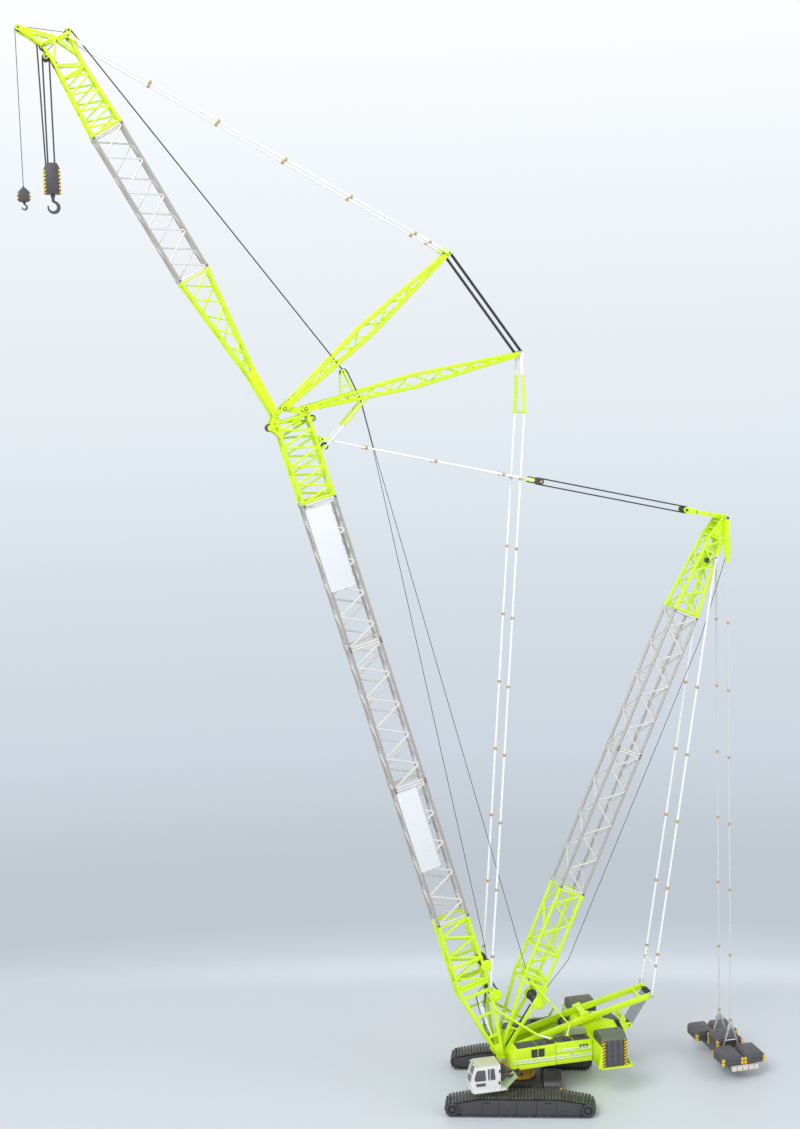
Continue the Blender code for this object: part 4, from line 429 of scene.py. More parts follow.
def grown(mesh, group, **values):
    """The plain mesh that a tree makes of a mesh of points or edges."""
    host = bpy.data.objects.new("host", mesh)
    bpy.context.scene.collection.objects.link(host)
    modifier = host.modifiers.new("grow", "NODES")
    modifier.node_group = group
    for item in group.interface.items_tree:
        key = item.name.lower().replace(" ", "_")
        if item.in_out == "INPUT" and key in values:
            modifier[item.identifier] = values[key]
    graph = bpy.context.evaluated_depsgraph_get()
    result = bpy.data.meshes.new_from_object(host.evaluated_get(graph), depsgraph=graph)
    host.modifiers.remove(modifier)
    bpy.data.objects.remove(host)
    bpy.data.meshes.remove(mesh)
    return result


def bars(runs, finish, sides=None):
    """Round bars: (points, radius) runs, or (points, [radius at each point])."""
    mesh = bpy.data.meshes.new("runs")
    points, edges, radii = [], [], []
    for run, radius in runs:
        first = len(points)
        points += [tuple(p) for p in run]
        edges += [(first + k, first + k + 1) for k in range(len(run) - 1)]
        radii += list(radius) if isinstance(radius, (list, tuple)) else [radius] * len(run)
    mesh.from_pydata(points, edges, [])
    mesh.attributes.new("bar_radius", "FLOAT", "POINT").data.foreach_set("value", radii)
    return grown(mesh, tree(round_bar_tree), sides=sides or sizes().tube_sides, material=finish)


def studs(spots, finish, sides):
    """Round studs: (point, direction, radius, length) each."""
    mesh = bpy.data.meshes.new("spots")
    mesh.from_pydata([tuple(s[0]) for s in spots], [], [])
    ways = [c for s in spots for c in Vector(s[1]).normalized()]
    scale = [c for s in spots for c in (s[2], s[2], s[3])]
    mesh.attributes.new("facing", "FLOAT_VECTOR", "POINT").data.foreach_set("vector", ways)
    mesh.attributes.new("stud_size", "FLOAT_VECTOR", "POINT").data.foreach_set("vector", scale)
    return grown(mesh, tree(stud_tree), sides=sides, material=finish)


# ------------------------------------------------------------------ parts of a piece
def solid_part(name, solids, bevel=0.0):
    """Closed solids in one finish."""
    return paint(name), shape_of(solids, bevel)


def tube_part(name, runs, sides=None):
    """Round bars in one finish."""
    return paint(name), bars(runs, paint(name), sides)


def stud_part(name, spots, sides=12):
    """Round studs in one finish."""
    return paint(name), studs(spots, paint(name), sides)


# ------------------------------------------------------------------ finished pieces
def piece(name, body, home, parts, stands_for):
    """One finished object: (finish, mesh) pairs drawn in a home frame.

    body is a body's name, or (body, body, start, end) for a piece that spans the joint between two
    bodies; such a piece stays where it is drawn and follows neither body.
    """
    work, finishes = bmesh.new(), []
    for finish, mesh in parts:
        if finish not in finishes:
            finishes.append(finish)
        fresh = bmesh.new()
        fresh.from_mesh(mesh)
        bmesh.ops.recalc_face_normals(fresh, faces=fresh.faces)
        for face in fresh.faces:
            face.material_index = finishes.index(finish)
            face.smooth = True
        fresh.to_mesh(mesh)
        fresh.free()
        work.from_mesh(mesh)
        bpy.data.meshes.remove(mesh)
    work.transform(home)
    data = bpy.data.meshes.new(name)
    work.to_mesh(data)
    work.free()
    data.set_sharp_from_angle(angle=radians(SMOOTH_UP_TO))
    for finish in finishes:
        data.materials.append(finish)
    thing = bpy.data.objects.new(name, data)
    bpy.context.scene.collection.objects.link(thing)
    if isinstance(body, str):
        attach(thing, body)
    else:
        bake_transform(thing)
    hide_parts(*stands_for)


# ------------------------------------------------------------------ finishes
def node_of(material, kind, links=None, **settings):
    """A shader node, its settings, and what feeds its inputs."""
    return add_node(material.node_tree, kind, links, **settings)


def plain_shader(name, roughness, metallic=0.0, coat=0.0):
    """A Principled material and its shader node."""
    material = bpy.data.materials.new(name)
    material.use_nodes = True
    shader = material.node_tree.nodes["Principled BSDF"]
    shader.inputs["Metallic"].default_value = metallic
    shader.inputs["Roughness"].default_value = roughness
    shader.inputs["Coat Weight"].default_value = coat
    return material, shader


def tinted(base, factor):
    return (*(min(1.0, c * factor) for c in base), 1.0)


def feed(material, shader, label, socket):
    material.node_tree.links.new(socket, shader.inputs[label])


def mixed(material, share, one, two):
    """The colour between two, by a share."""
    return node_of(material, "ShaderNodeMix", {0: share, 6: one, 7: two},
                   data_type="RGBA").outputs[2]


def ranged(tree, value, low, high, to=(0.0, 1.0), **settings):
    """A value that runs over to while another runs from low to high."""
    return add_node(tree, "ShaderNodeMapRange",
                    {"Value": value, "From Min": low, "From Max": high,
                     "To Min": to[0], "To Max": to[1]}, **settings).outputs["Result"]


def drifting(material, shader, base, drift, patch, rough, stretch=(1, 1, 1)):
    """Colour and gloss that wander a little over patches of the surface."""
    place = node_of(material, "ShaderNodeTexCoord")
    spread = node_of(material, "ShaderNodeMapping",
                     {"Vector": place.outputs["Object"], "Scale": stretch})
    cloud = node_of(material, "ShaderNodeTexNoise",
                    {"Vector": spread.outputs["Vector"], "Scale": patch, "Detail": 5.0,
                     "Roughness": 0.6}).outputs["Fac"]
    tone = mixed(material, cloud, tinted(base, 1 - drift), tinted(base, 1 + drift))
    feed(material, shader, "Base Color", tone)
    feed(material, shader, "Roughness", ranged(material.node_tree, cloud, 0.3, 0.7, rough))
    return place, cloud, tone


def relief(material, shader, height, strength, depth):
    bump = node_of(material, "ShaderNodeBump",
                   {"Height": height, "Strength": strength, "Distance": depth})
    feed(material, shader, "Normal", bump.outputs["Normal"])


def grain(material, shader, place, scale, strength, depth=0.0002):
    """A fine relief, such as spray paint or casting skin."""
    fine = node_of(material, "ShaderNodeTexNoise",
                   {"Vector": place.outputs["Object"], "Scale": scale, "Detail": 3.0})
    relief(material, shader, fine.outputs["Fac"], strength, depth)


def spray_paint(name, base, roughness=0.34, metallic=0.0, drift=0.05, patch=45.0, coat=0.25):
    """Sprayed enamel on die-cast metal: a clear gloss, faint clouds and orange peel."""
    material, shader = plain_shader(name, roughness, metallic, coat)
    shader.inputs["Coat Roughness"].default_value = 0.18
    place, _, _ = drifting(material, shader, base, drift, patch,
                           (roughness - 0.06, roughness + 0.09))
    grain(material, shader, place, 1400.0, 0.06)
    return material


def cast_metal(name, base, roughness, drift, scale, strength):
    """Dark cast metal with a dull, slightly pitted skin."""
    material, shader = plain_shader(name, roughness, 0.15)
    place, _, _ = drifting(material, shader, base, drift, 130.0,
                           (roughness - 0.1, roughness + 0.12))
    grain(material, shader, place, scale, strength, 0.0004)
    return material


def worn_shoes(name, dark, worn):
    """Track shoes: dark metal with an olive bloom that fades in patches."""
    material, shader = plain_shader(name, 0.5, 0.3)
    place, cloud, tone = drifting(material, shader, dark, 0.25, 160.0, (0.38, 0.62))
    bloom = ranged(material.node_tree, cloud, 0.42, 0.66)
    feed(material, shader, "Base Color", mixed(material, bloom, tone, (*worn, 1.0)))
    grain(material, shader, place, 1100.0, 0.2, 0.0003)
    return material


def gold_paint(name, base):
    """Metallic gold lacquer, brushed round the ring."""
    material, shader = plain_shader(name, 0.34, 0.4, 0.3)
    place, _, _ = drifting(material, shader, base, 0.16, 90.0, (0.26, 0.44), (1, 1, 6))
    grain(material, shader, place, 1800.0, 0.12)
    return material


def clear_glass(name, base):
    """Dark tinted window sheet with a hard gloss and a few faint smears."""
    material, shader = plain_shader(name, 0.08, 0.0, 0.6)
    drifting(material, shader, base, 0.22, 70.0, (0.05, 0.16))
    return material


def warning_stripes(name, yellow, black, period, slant):
    """Slanted warning stripes; period in metres."""
    material, shader = plain_shader(name, 0.42)
    nodes = material.node_tree
    place = node_of(material, "ShaderNodeTexCoord")
    axes = node_of(material, "ShaderNodeSeparateXYZ", {"Vector": place.outputs["Object"]})
    lean = maths(nodes, "MULTIPLY_ADD", axes.outputs["X"], slant, axes.outputs["Z"])
    share = maths(nodes, "FRACT", maths(nodes, "MULTIPLY", lean, 1 / period))
    edge = ranged(nodes, share, 0.56, 0.60)
    cloud = node_of(material, "ShaderNodeTexNoise",
                    {"Vector": place.outputs["Object"], "Scale": 220.0, "Detail": 3.0})
    warm = mixed(material, cloud.outputs["Fac"], tinted(yellow, 0.88), tinted(yellow, 1.1))
    feed(material, shader, "Base Color", mixed(material, edge, warm, (*black, 1.0)))
    grain(material, shader, place, 1500.0, 0.06)
    return material


def wire_rope(name, base):
    """Laid wire rope: strands that wind round the rope along its own length, darker in their
    grooves as painted shade and lighter on their crests as painted highlight.
    """
    material, shader = plain_shader(name, 0.46, 0.35)
    nodes = material.node_tree
    along = node_of(material, "ShaderNodeAttribute", attribute_name="along")
    around = node_of(material, "ShaderNodeAttribute", attribute_name="around")
    lay = maths(nodes, "MULTIPLY", around.outputs["Fac"], 5.0)
    phase = maths(nodes, "MULTIPLY_ADD", along.outputs["Fac"], 0.38, lay)
    wave = maths(nodes, "SINE", maths(nodes, "MULTIPLY", phase, 2 * pi))
    crest = ranged(nodes, wave, -1.0, 1.0)
    # Grooves darkened and crests lightened: painted shade and painted highlight.
    feed(material, shader, "Base Color",
         mixed(material, crest, tinted(base, 0.45), tinted(base, 1.5)))
    relief(material, shader, crest, 0.6, 0.0002)
    return material


def bright_steel(name, base, roughness, metallic):
    """Plated steel with fine drawing lines."""
    material, shader = plain_shader(name, roughness, metallic)
    place, _, _ = drifting(material, shader, base, 0.1, 60.0, (roughness - 0.06, roughness + 0.1),
                           (1, 1, 5))
    grain(material, shader, place, 2200.0, 0.08)
    return material


def studio_floor(name, base):
    """A pale, faintly mottled studio surface."""
    material, shader = plain_shader(name, 0.5)
    place, _, _ = drifting(material, shader, base, 0.012, 2.5, (0.42, 0.58))
    grain(material, shader, place, 160.0, 0.02, 0.0005)
    return material


def finish_table():
    """Every finish by its name: its maker and that maker's values."""
    tints = colours()
    return {
        "lime": (spray_paint, "lime_enamel", tints.lime, 0.32),
        "silver": (spray_paint, "silver_enamel", tints.silver, 0.33, 0.15, 0.07, 60.0, 0.15),
        # The chords' silver is darker than the lacing's: painted shade.
        "pewter": (spray_paint, "pewter_enamel", tints.pewter, 0.36, 0.25, 0.1, 60.0, 0.15),
        "pearl": (spray_paint, "pale_plate", (0.66, 0.67, 0.67), 0.36, 0.0, 0.03, 60.0, 0.1),
        "sign": (spray_paint, "sign_white", (0.76, 0.77, 0.79), 0.36, 0.0, 0.02, 60.0, 0.1),
        "dark": (cast_metal, "dark_frame", tints.dark, 0.46, 0.1, 1200.0, 0.1),
        "black": (cast_metal, "black_parts", (0.018, 0.018, 0.021), 0.5, 0.2, 1000.0, 0.12),
        "shoe": (worn_shoes, "track_shoe_metal", tinted(tints.dark, 1.25)[:3], tints.shoe),
        "weight": (cast_metal, "cast_weight", tints.weight, 0.5, 0.12, 800.0, 0.16),
        # The stacks' caps: a lighter, greener grey that paints the light falling on their tops.
        "weight_top": (cast_metal, "cast_weight_top", (0.13, 0.155, 0.10), 0.5, 0.14, 800.0, 0.16),
        "engine": (spray_paint, "engine_grey", (0.34, 0.42, 0.28), 0.42, 0.1, 0.12, 90.0, 0.0),
        "gold": (gold_paint, "gold_lacquer", tints.gold),
        "cab": (spray_paint, "cab_white", tints.cab, 0.3, 0.05, 0.04, 60.0, 0.35),
        "roof": (spray_paint, "roof_beige", (0.60, 0.62, 0.44), 0.42, 0.0, 0.06, 70.0, 0.1),
        "glass": (clear_glass, "dark_glass", (0.085, 0.080, 0.092)),
        "stay": (bright_steel, "stay_white", tints.stay, 0.38, 0.0),
        "steel": (bright_steel, "plated_steel", (0.66, 0.66, 0.66), 0.28, 0.75),
        "cream": (bright_steel, "cream_silver", (0.76, 0.71, 0.63), 0.36, 0.2),
        "brass": (bright_steel, "brass_link", tints.brass, 0.34, 0.7),
        "rope": (wire_rope, "laid_rope", tints.rope),
        "hazard": (warning_stripes, "warning_stripes", tints.hazard, (0.02, 0.02, 0.02), 0.0046,
                   0.55),
        "yellow": (spray_paint, "warning_yellow", tints.hazard, 0.38),
        "flap": (spray_paint, "pale_green_flap", (0.38, 0.52, 0.27), 0.45, 0.0, 0.05, 60.0, 0.0),
        "floor": (studio_floor, "studio_floor", tints.floor),
    }


PAINTS = {}


def paint(name):
    """A finish by its name, made at its first use."""
    if name not in PAINTS:
        maker, *values = finish_table()[name]
        PAINTS[name] = maker(*values)
    return PAINTS[name]


# ------------------------------------------------------------------ repeated forms
LACE_MARGIN = 0.012       # share of a bay left free of lacing at each end
HOOP_INSET = 1.7          # from a lattice's end to its cross tubes
JOINT_GAP = 0.2           # from a joint to the tubes on each side


def chord_point(station, front, side, inset):
    along, rear, ahead, half = station
    return Vector((ahead - inset if front else rear + inset, side * (half - inset), along))


def lacing(first, second, legs, flip):
    """A zigzag of so many legs between two lines, each a (low, high) pair of points."""
    spots = []
    for k in range(legs + 1):
        share = LACE_MARGIN + (1 - 2 * LACE_MARGIN) * k / legs
        line = first if (k + flip) % 2 == 0 else second
        spots.append(line[0].lerp(line[1], share))
    return [[a, b] for a, b in zip(spots, spots[1:])]


def tower(stations, flank_legs, face_legs, chord, lace, flip=0):
    """Tube runs of a four-chord lattice. stations: (along, rear, front, half width).

    flank_legs: zigzag legs in each bay; face_legs: the same as (rear face, front face) pairs.
    flip starts the flanks on the front chord.
    """
    runs = [([chord_point(s, front, side, chord) for s in stations], chord)
            for front in (False, True) for side in (-1, 1)]
    for one, two, flanks, faces in zip(stations, stations[1:], flank_legs, face_legs):
        line = {(front, side): [chord_point(s, front, side, chord) for s in (one, two)]
                for front in (False, True) for side in (-1, 1)}
        for side in (-1, 1):
            runs += [(leg, lace) for leg in lacing(line[False, side], line[True, side], flanks,
                                                   flip if side > 0 else 1 - flip)]
        for front, legs in zip((False, True), faces):
            if legs:
                runs += [(leg, lace) for leg in lacing(line[front, -1], line[front, 1], legs,
                                                       0 if front else 1)]
    for station, way in ((stations[0], 1), (stations[-1], -1)):
        shifted = (station[0] + way * HOOP_INSET, *station[1:])
        runs += hoop([chord_point(shifted, front, side, chord)
                      for front, side in ((False, -1), (True, -1), (True, 1), (False, 1))],
                     lace * 1.12)
    return runs


def corners(rear, front, half, chord):
    """The middles of the four chords of a section."""
    return [(x, y) for x in (rear + chord, front - chord) for y in (chord - half, half - chord)]


def joint_lugs(along, section, chord, way):
    """The eyes at a section's end: a thick sleeve on each chord; way is +1 above the joint."""
    return [([(x, y, along + way * JOINT_GAP), (x, y, along + way * 4.6)], chord * 1.28)
            for x, y in corners(*section, chord)]


def joint_pins(along, section, chord, shift):
    """Cross pins through those eyes."""
    return [((x, y + way * chord * 0.9, along + shift), (0, way, 0), chord * 0.72, 1.5)
            for x, y in corners(*section, chord) for way in (1 if y > 0 else -1,)]


def insert(low, high, section, legs, chord, lace, flip=0):
    """The parts of a straight lattice section: chords and sleeves in silver darkened as painted
    shade, lacing in plain silver.
    """
    runs = tower([(low + JOINT_GAP, *section), (high - JOINT_GAP, *section)], [legs],
                 [(legs, legs)], chord, lace, flip)
    runs += joint_lugs(low, section, chord, 1) + joint_lugs(high, section, chord, -1)
    pins = joint_pins(low, section, chord, 2.2) + joint_pins(high, section, chord, -2.2)
    return [tube_part("pewter", [run for run in runs if run[1] >= chord]),
            tube_part("silver", [run for run in runs if run[1] < chord]),
            stud_part("dark", pins, 8)]


def wound_barrel(x, z, barrel, flange, half, rope, cheek, layers):
    """A drum on the Y axis: two flanges and a barrel wound with rope."""
    turns = int((half - cheek) / rope)
    wind = []
    for k in range(-turns, turns):
        y = k * rope
        wind += [(barrel * layers, y), (barrel * layers + rope * 0.45, y + rope * 0.5)]
    wind.append((barrel * layers, turns * rope))
    shell = [(barrel * 0.35, -half - 0.4), (flange - 0.4, -half), (flange, 0.35 - half),
             (flange, cheek - 0.3 - half), (flange - 0.3, cheek - half),
             (barrel * 0.7, cheek - half), (barrel * 0.7, half - cheek),
             (flange - 0.3, half - cheek), (flange, half - cheek + 0.3), (flange, half - 0.35),
             (flange - 0.4, half), (barrel * 0.35, half + 0.4)]
    return turned(shell, (x, 0, z), "Y", 32), turned(wind, (x, 0, z), "Y", 28)


def bolt_circle(x, z, y, way, radius, count, size=0.5):
    """Bolt heads round a cover that faces along Y."""
    return [((x + radius * cos(a), y, z + radius * sin(a)), (0, way, 0), size, size * 1.1)
            for a in (2 * pi * k / count for k in range(count))]


def grooved_sheaves(x, z, radius, half, grooves, pin_radius, pin_half):
    """A cluster of grooved sheaves on one pin."""
    pitch = 2 * half / grooves
    profile = [(pin_radius, -pin_half), (pin_radius, -half), (radius * 0.75, -half)]
    for k in range(grooves):
        low = -half + k * pitch
        profile += [(radius, low + pitch * 0.08), (radius, low + pitch * 0.22),
                    (radius - 0.9, low + pitch * 0.38), (radius - 0.9, low + pitch * 0.62),
                    (radius, low + pitch * 0.78), (radius, low + pitch * 0.92)]
        if k < grooves - 1:
            profile += [(radius - 0.35, low + pitch)]
    profile += [(radius * 0.75, half), (pin_radius, half), (pin_radius, pin_half)]
    return turned(profile, (x, 0, z), "Y", 32)


def eye_plate(centre, reach, radius, low, high, sides=14):
    """A plate that rounds a pin and runs on to a point of its member."""
    way = Vector((reach[0] - centre[0], reach[1] - centre[1])).normalized()
    side = Vector((-way.y, way.x)) * radius
    start = atan2(side.y, side.x)
    arc = [(centre[0] + radius * cos(start + pi * k / sides),
            centre[1] + radius * sin(start + pi * k / sides))
           for k in range(sides + 1)]
    return prism(arc
                 + [(reach[0] - side.x, reach[1] - side.y), (reach[0] + side.x, reach[1] + side.y)],
                 low, high)


def rounded(outline, radius, steps=4):
    """An outline with its corners rounded."""
    result = []
    count = len(outline)
    for k in range(count):
        a, b, c = (Vector(outline[(k + s) % count]) for s in (-1, 0, 1))
        one, two = (a - b), (c - b)
        reach = min(radius, one.length * 0.45, two.length * 0.45)
        start, end = b + one.normalized() * reach, b + two.normalized() * reach
        for s in range(steps + 1):
            t = s / steps
            spot = start * (1 - t) ** 2 + b * 2 * t * (1 - t) + end * t ** 2
            result.append((spot.x, spot.y))
    return result


WINCH_BACK, DRUM_UPPER, DRUM_LOWER, MAST_DRUM = -20.0, 138.5, 92.0, 92.0
FOOT_DRUM = (5.2, 8.0, 1.1, 1.28)     # barrel, flange, cheek, and the rope's share of the barrel


def winch(name, body, home, pin, drum, bolts_at, bolt_finish, covered):
    """A winch barrel with its rope, and bolted flanges."""
    x, z = pin
    barrel, flange, cheek, layers = drum
    shell, wind = wound_barrel(x, z, barrel, flange, 14.2, sizes().rope / MM * 2, cheek, layers)
    bolts = [bolt for way in (1, -1) for bolt in bolt_circle(x, z, way * 14.3, way, bolts_at, 8)]
    piece(name, body, home, [solid_part("dark", [shell]), solid_part("rope", [wind]),
                             stud_part(bolt_finish, bolts, 6)], [covered])


def winch_cover(along, low, radius):
    """The bolted round motor covers outside the two bearings of a winch."""
    steps = [(radius - 0.5, low), (radius, low + 0.4), (radius, low + 1.3),
             (radius - 0.7, low + 1.8), (radius - 2.6, low + 1.9), (radius - 3.0, low + 2.7),
             (2.4, low + 2.9), (2.0, low + 2.4)]
    solids = both(turned(steps, (WINCH_BACK, 0, along), "Y", 30))
    return solids, both_spots(bolt_circle(WINCH_BACK, along, low + 2.0, 1, radius - 1.5, 10, 0.48))


def beam(low, high, wide, thick, wide_high=None):
    """A box-section leg between two points, its width square to it in the side plane."""
    low, high = Vector(low), Vector(high)
    run = high - low
    side = Vector((run.z, 0, -run.x)).normalized()
    points = []
    for spot, width in ((low, wide), (high, wide_high or wide)):
        for a, b in ((-1, -1), (1, -1), (1, 1), (-1, 1)):
            points.append(tuple(spot + side * width / 2 * a + Vector((0, thick / 2 * b, 0))))
    return points, [(0, 1, 2, 3), (7, 6, 5, 4), (0, 4, 5, 1), (1, 5, 6, 2), (2, 6, 7, 3),
                    (3, 7, 4, 0)]


def boss(x, z, radius, low, high, pin=1.9):
    """A stepped round boss on the left flank, with a pin end."""
    steps = [(radius, low), (radius, high - 0.8), (radius - 0.4, high - 0.4),
             (pin + 0.9, high - 0.3), (pin + 0.9, high - 0.7), (pin, high - 0.7), (pin, high + 0.3),
             (pin * 0.75, high + 0.6)]
    return turned(steps, (x, 0, z), "Y", 24)


# ------------------------------------------------------------------ crawlers and car body
TRACK_HALF, TRACK_END, TRACK_FLAT, TRACK_TALL = 105.0, 11.5, 55.0, 30.0
TRACK_Y, SHOE_WIDE, SHOE_THICK, SHOE_RIB = 78.25, 31.2, 1.3, 0.95
FRAME_HALF = 14.6
SHOE_DEPTH = 3.2          # from the belt's line out to the ground
RUN_STEPS, BEND_STEPS = 60, 30      # fine points on each straight run and bend of the belt


def belt_path(count, offset):
    """Evenly spaced points round the crawler, with the outward direction at each."""
    small = TRACK_END - SHOE_DEPTH
    high = TRACK_TALL - SHOE_DEPTH - small
    centres = [(-TRACK_HALF + TRACK_END, TRACK_END), (TRACK_HALF - TRACK_END, TRACK_END),
               (TRACK_FLAT, high), (-TRACK_FLAT, high)]
    fine = []
    for k in range(4):
        a, b, c = (Vector(centres[(k + s) % 4]) for s in (0, 1, 2))
        run, after = b - a, c - b
        out = Vector((run.y, -run.x)).normalized()
        turn = out.angle(Vector((after.y, -after.x)))
        fine += [(a + out * small + run * i / RUN_STEPS, out) for i in range(RUN_STEPS)]
        spin = atan2(out.y, out.x)
        for i in range(BEND_STEPS):
            angle = spin + turn * i / BEND_STEPS
            way = Vector((cos(angle), sin(angle)))
            fine.append((b + way * small, way))
    lengths = [(q[0] - p[0]).length for p, q in zip(fine, fine[1:] + fine[:1])]
    total, spots, done, k = sum(lengths), [], 0.0, 0
    for step in range(count):
        goal = total * step / count
        while done + lengths[k] < goal:
            done += lengths[k]
            k += 1
        share = (goal - done) / lengths[k] if lengths[k] else 0.0
        p, q = fine[k], fine[(k + 1) % len(fine)]
        way = p[1].lerp(q[1], share).normalized()
        spot = p[0].lerp(q[0], share) + way * offset
        spots.append((spot, way))
    return spots, total


class CRANE_OT_crawlers(Operator):
    """Two crawlers: shoes on a belt, side frames, end wheels and rollers"""

    bl_idname = "crane.crawlers"
    bl_label = "Crawlers"

    def execute(self, context):
        count = sizes().shoe_count
        for side, name in ((1, "left"), (-1, "right")):
            mid = side * TRACK_Y
            spots, total = belt_path(count, 0.6)
            mesh = bpy.data.meshes.new("belt line")
            mesh.from_pydata([(s.x, mid, s.y) for s, _ in spots], [], [])
            ways = [c for _, w in spots for c in (w.x, 0.0, w.y)]
            mesh.attributes.new("facing", "FLOAT_VECTOR", "POINT").data.foreach_set("vector", ways)
            shoes = grown(mesh, tree(shoe_tree), shoe_length=total / count * 0.82,
                          shoe_width=SHOE_WIDE, thickness=SHOE_THICK, rib_height=SHOE_RIB,
                          material=paint("shoe"))
            piece("crawler_shoes_" + name, "undercarriage", UNDER, [(paint("shoe"), shoes)],
                  ["crawler_belt_" + name])
            self.side_frame(side, name, mid)
            self.wheels(side, name, mid)
        return {"FINISHED"}

    def side_frame(self, side, name, mid):
        """A long box of pressed plates with access covers, slots, rollers and bolts."""
        outline = [(p.x, p.y) for p, _ in belt_path(72, -1.1)[0]]
        inner = [(x * 0.985, 1.2 + (z - 1.2) * 0.97) for x, z in outline]
        core = prism(inner, mid - FRAME_HALF + 0.6, mid + FRAME_HALF - 0.9)
        skin = mid + side * FRAME_HALF
        low, high = sorted((skin - side * 0.9, skin))

        def raised(ends, below, above, height):
            return box(ends, sorted((skin - side * below, skin + side * above)), height)

        plates, bolts = [], []
        seams = [-79.0, -51.0, -23.0, 4.0, 29.0, 52.0, 79.0]
        for a, b in zip(seams, seams[1:]):
            top = [(a + 0.35, 4.2), (b - 0.35, 4.2)]
            top += [(x, 24.6 - max(0.0, abs(x) - TRACK_FLAT) * 0.145) for x in (b - 0.35, a + 0.35)]
            plates.append(prism(top, low, high))
            bolts += [((x, skin, z), (0, side, 0), 0.45, 0.5)
                      for x in (a + 2.2, b - 2.2) for z in (6.2, 20.6)]
        slots = [raised((x - 5.2, x + 5.2), 0.2, 0.12, (20.4, 22.2)) for x in (-39.3, 45.0)]
        slots += [raised((x - 3.0, x + 3.0), 0.2, 0.10, (10.0, 11.0)) for x in (-64.0, 16.0)]
        rollers = [disc(x, 3.6, 2.9, low - 2.2, high - 0.4, 16) for x in range(-78, 79, 13)]
        rail = raised((-84, 84), 1.4, 0.25, (1.6, 3.2))
        piece("crawler_frame_" + name, "undercarriage", UNDER,
              [solid_part("dark", [core], 0.3), solid_part("dark", plates, 0.22),
               solid_part("black", slots, 0.08), solid_part("dark", rollers + [rail]),
               stud_part("dark", bolts, 6)], ["track_frame_" + name])

    def wheels(self, side, name, mid):
        """The drive sprocket at the rear and the idler ahead, each under its round cover."""
        out = mid + side * 15.8
        for way, kind, body in ((-1, "drive_sprocket_", "sprocket_"),
                                (1, "idler_", "idler_wheel_")):
            x, z = way * (TRACK_HALF - TRACK_END), TRACK_END
            rim = [(3.0, 15.4), (3.0, 13.0), (7.2, 12.9), (7.2, 6.0), (5.6, 5.6)]
            profile = [(a, mid - d) for a, d in rim] + [(a, mid + d) for a, d in reversed(rim)]
            solids = [turned(profile, (x, 0, z), "Y", 28)]
            cover = [(8.4, -1.6), (8.4, 0.1), (7.8, 0.5), (6.6, 0.5), (6.2, -0.5), (3.4, -0.5),
                     (2.8, 0.7), (0.6, 0.9)]
            for k in range(12 if way < 0 else 0):
                a = 2 * pi * k / 12
                ahead, across = Vector((cos(a), sin(a))), Vector((-sin(a), cos(a)))
                root = Vector((x, z)) + ahead * 7.0
                tip = root + ahead * 0.75
                tooth = [root - across * 1.1, root + across * 1.1,
                         tip + across * 0.5, tip - across * 0.5]
                solids.append(prism([(p.x, p.y) for p in tooth], mid - 5.2, mid + 5.2))
            solids.append(turned([(a, out + side * d) for a, d in cover], (x, 0, z), "Y", 28))
            ring = disc(x, z, 9.4, *sorted((out - side * 1.7, out - side * 0.1)), 32)
            bolts = bolt_circle(x, z, out - side * 0.5, side, 4.9, 8 if way < 0 else 6)
            piece(kind + name + "_detail", body + name, UNDER,
                  [solid_part("dark", solids), solid_part("black", [ring]),
                   stud_part("black", bolts, 6)], [kind + name])


class CRANE_OT_car_body(Operator):
    """The car body between the crawlers, its weights and the slewing ring"""

    bl_idname = "crane.car_body"
    bl_label = "Car body and ring"

    def execute(self, context):
        middle = prism([(-32, 8), (32, 8), (32, 18), (28, 21), (-28, 21), (-32, 18)], -30, 30)
        arms = [prism([(x - 8, 9), (x + 8, 9), (x + 8, 17), (x + 6, 19), (x - 6, 19), (x - 8, 17)],
                      -63.3, 63.3) for x in (-23, 23)]
        rim = [(-26, 8), (-22, 4), (22, 4), (26, 8), (26, 16.5), (21.0, 21.5), (-21.0, 21.5),
               (-26, 16.5)]
        weights, marks, ribs = [], [], []
        for way in (-1, 1):
            weights.append(prism(rim, *sorted((way * 33.0, way * 59.0)), "X"))
            ribs += [box(sorted((way * 38.0, way * 54.0)), (y - 0.5, y + 0.5), (21.3, 22.1))
                     for y in (-16, 16)]
            marks += [box(sorted((way * 54.5, way * 59.3)), (y - 2.25, y + 2.25), (8.0, 13.6))
                      for y in (-24.0, 24.0)]
        piece("car_body_castings", "undercarriage", UNDER,
              [solid_part("dark", [middle] + arms, 0.7), solid_part("weight", weights, 1.2),
               solid_part("dark", ribs, 0.2), solid_part("yellow", marks, 0.3)],
              ["car_body"])
        cone = turned([(20.4, 21.3), (20.4, 24.2), (18.6, 26.0), (18.8, 29.5), (21.8, 39.4),
                       (22.4, 40.0), (24.6, 40.2), (25.0, 40.6), (25.0, 44.6), (24.0, 45.0),
                       (24.0, 46.4), (25.0, 46.8), (25.0, 49.6), (24.6, 50.0)], (0, 0, 0), "Z", 72)
        base = turned([(21.6, 20.9), (21.6, 22.4), (20.8, 23.0), (20.6, 23.1)], (0, 0, 0), "Z", 48)
        bolts = [((23.6 * cos(a), 23.6 * sin(a), 40.2), (0, 0, -1), 0.55, 0.9)
                 for a in (2 * pi * k / 36 for k in range(36))]
        piece("slewing_ring_races", "undercarriage", UNDER,
              [solid_part("gold", [cone]), solid_part("dark", [base]),
               stud_part("gold", bolts, 6)], ["slew_ring"])
        return {"FINISHED"}


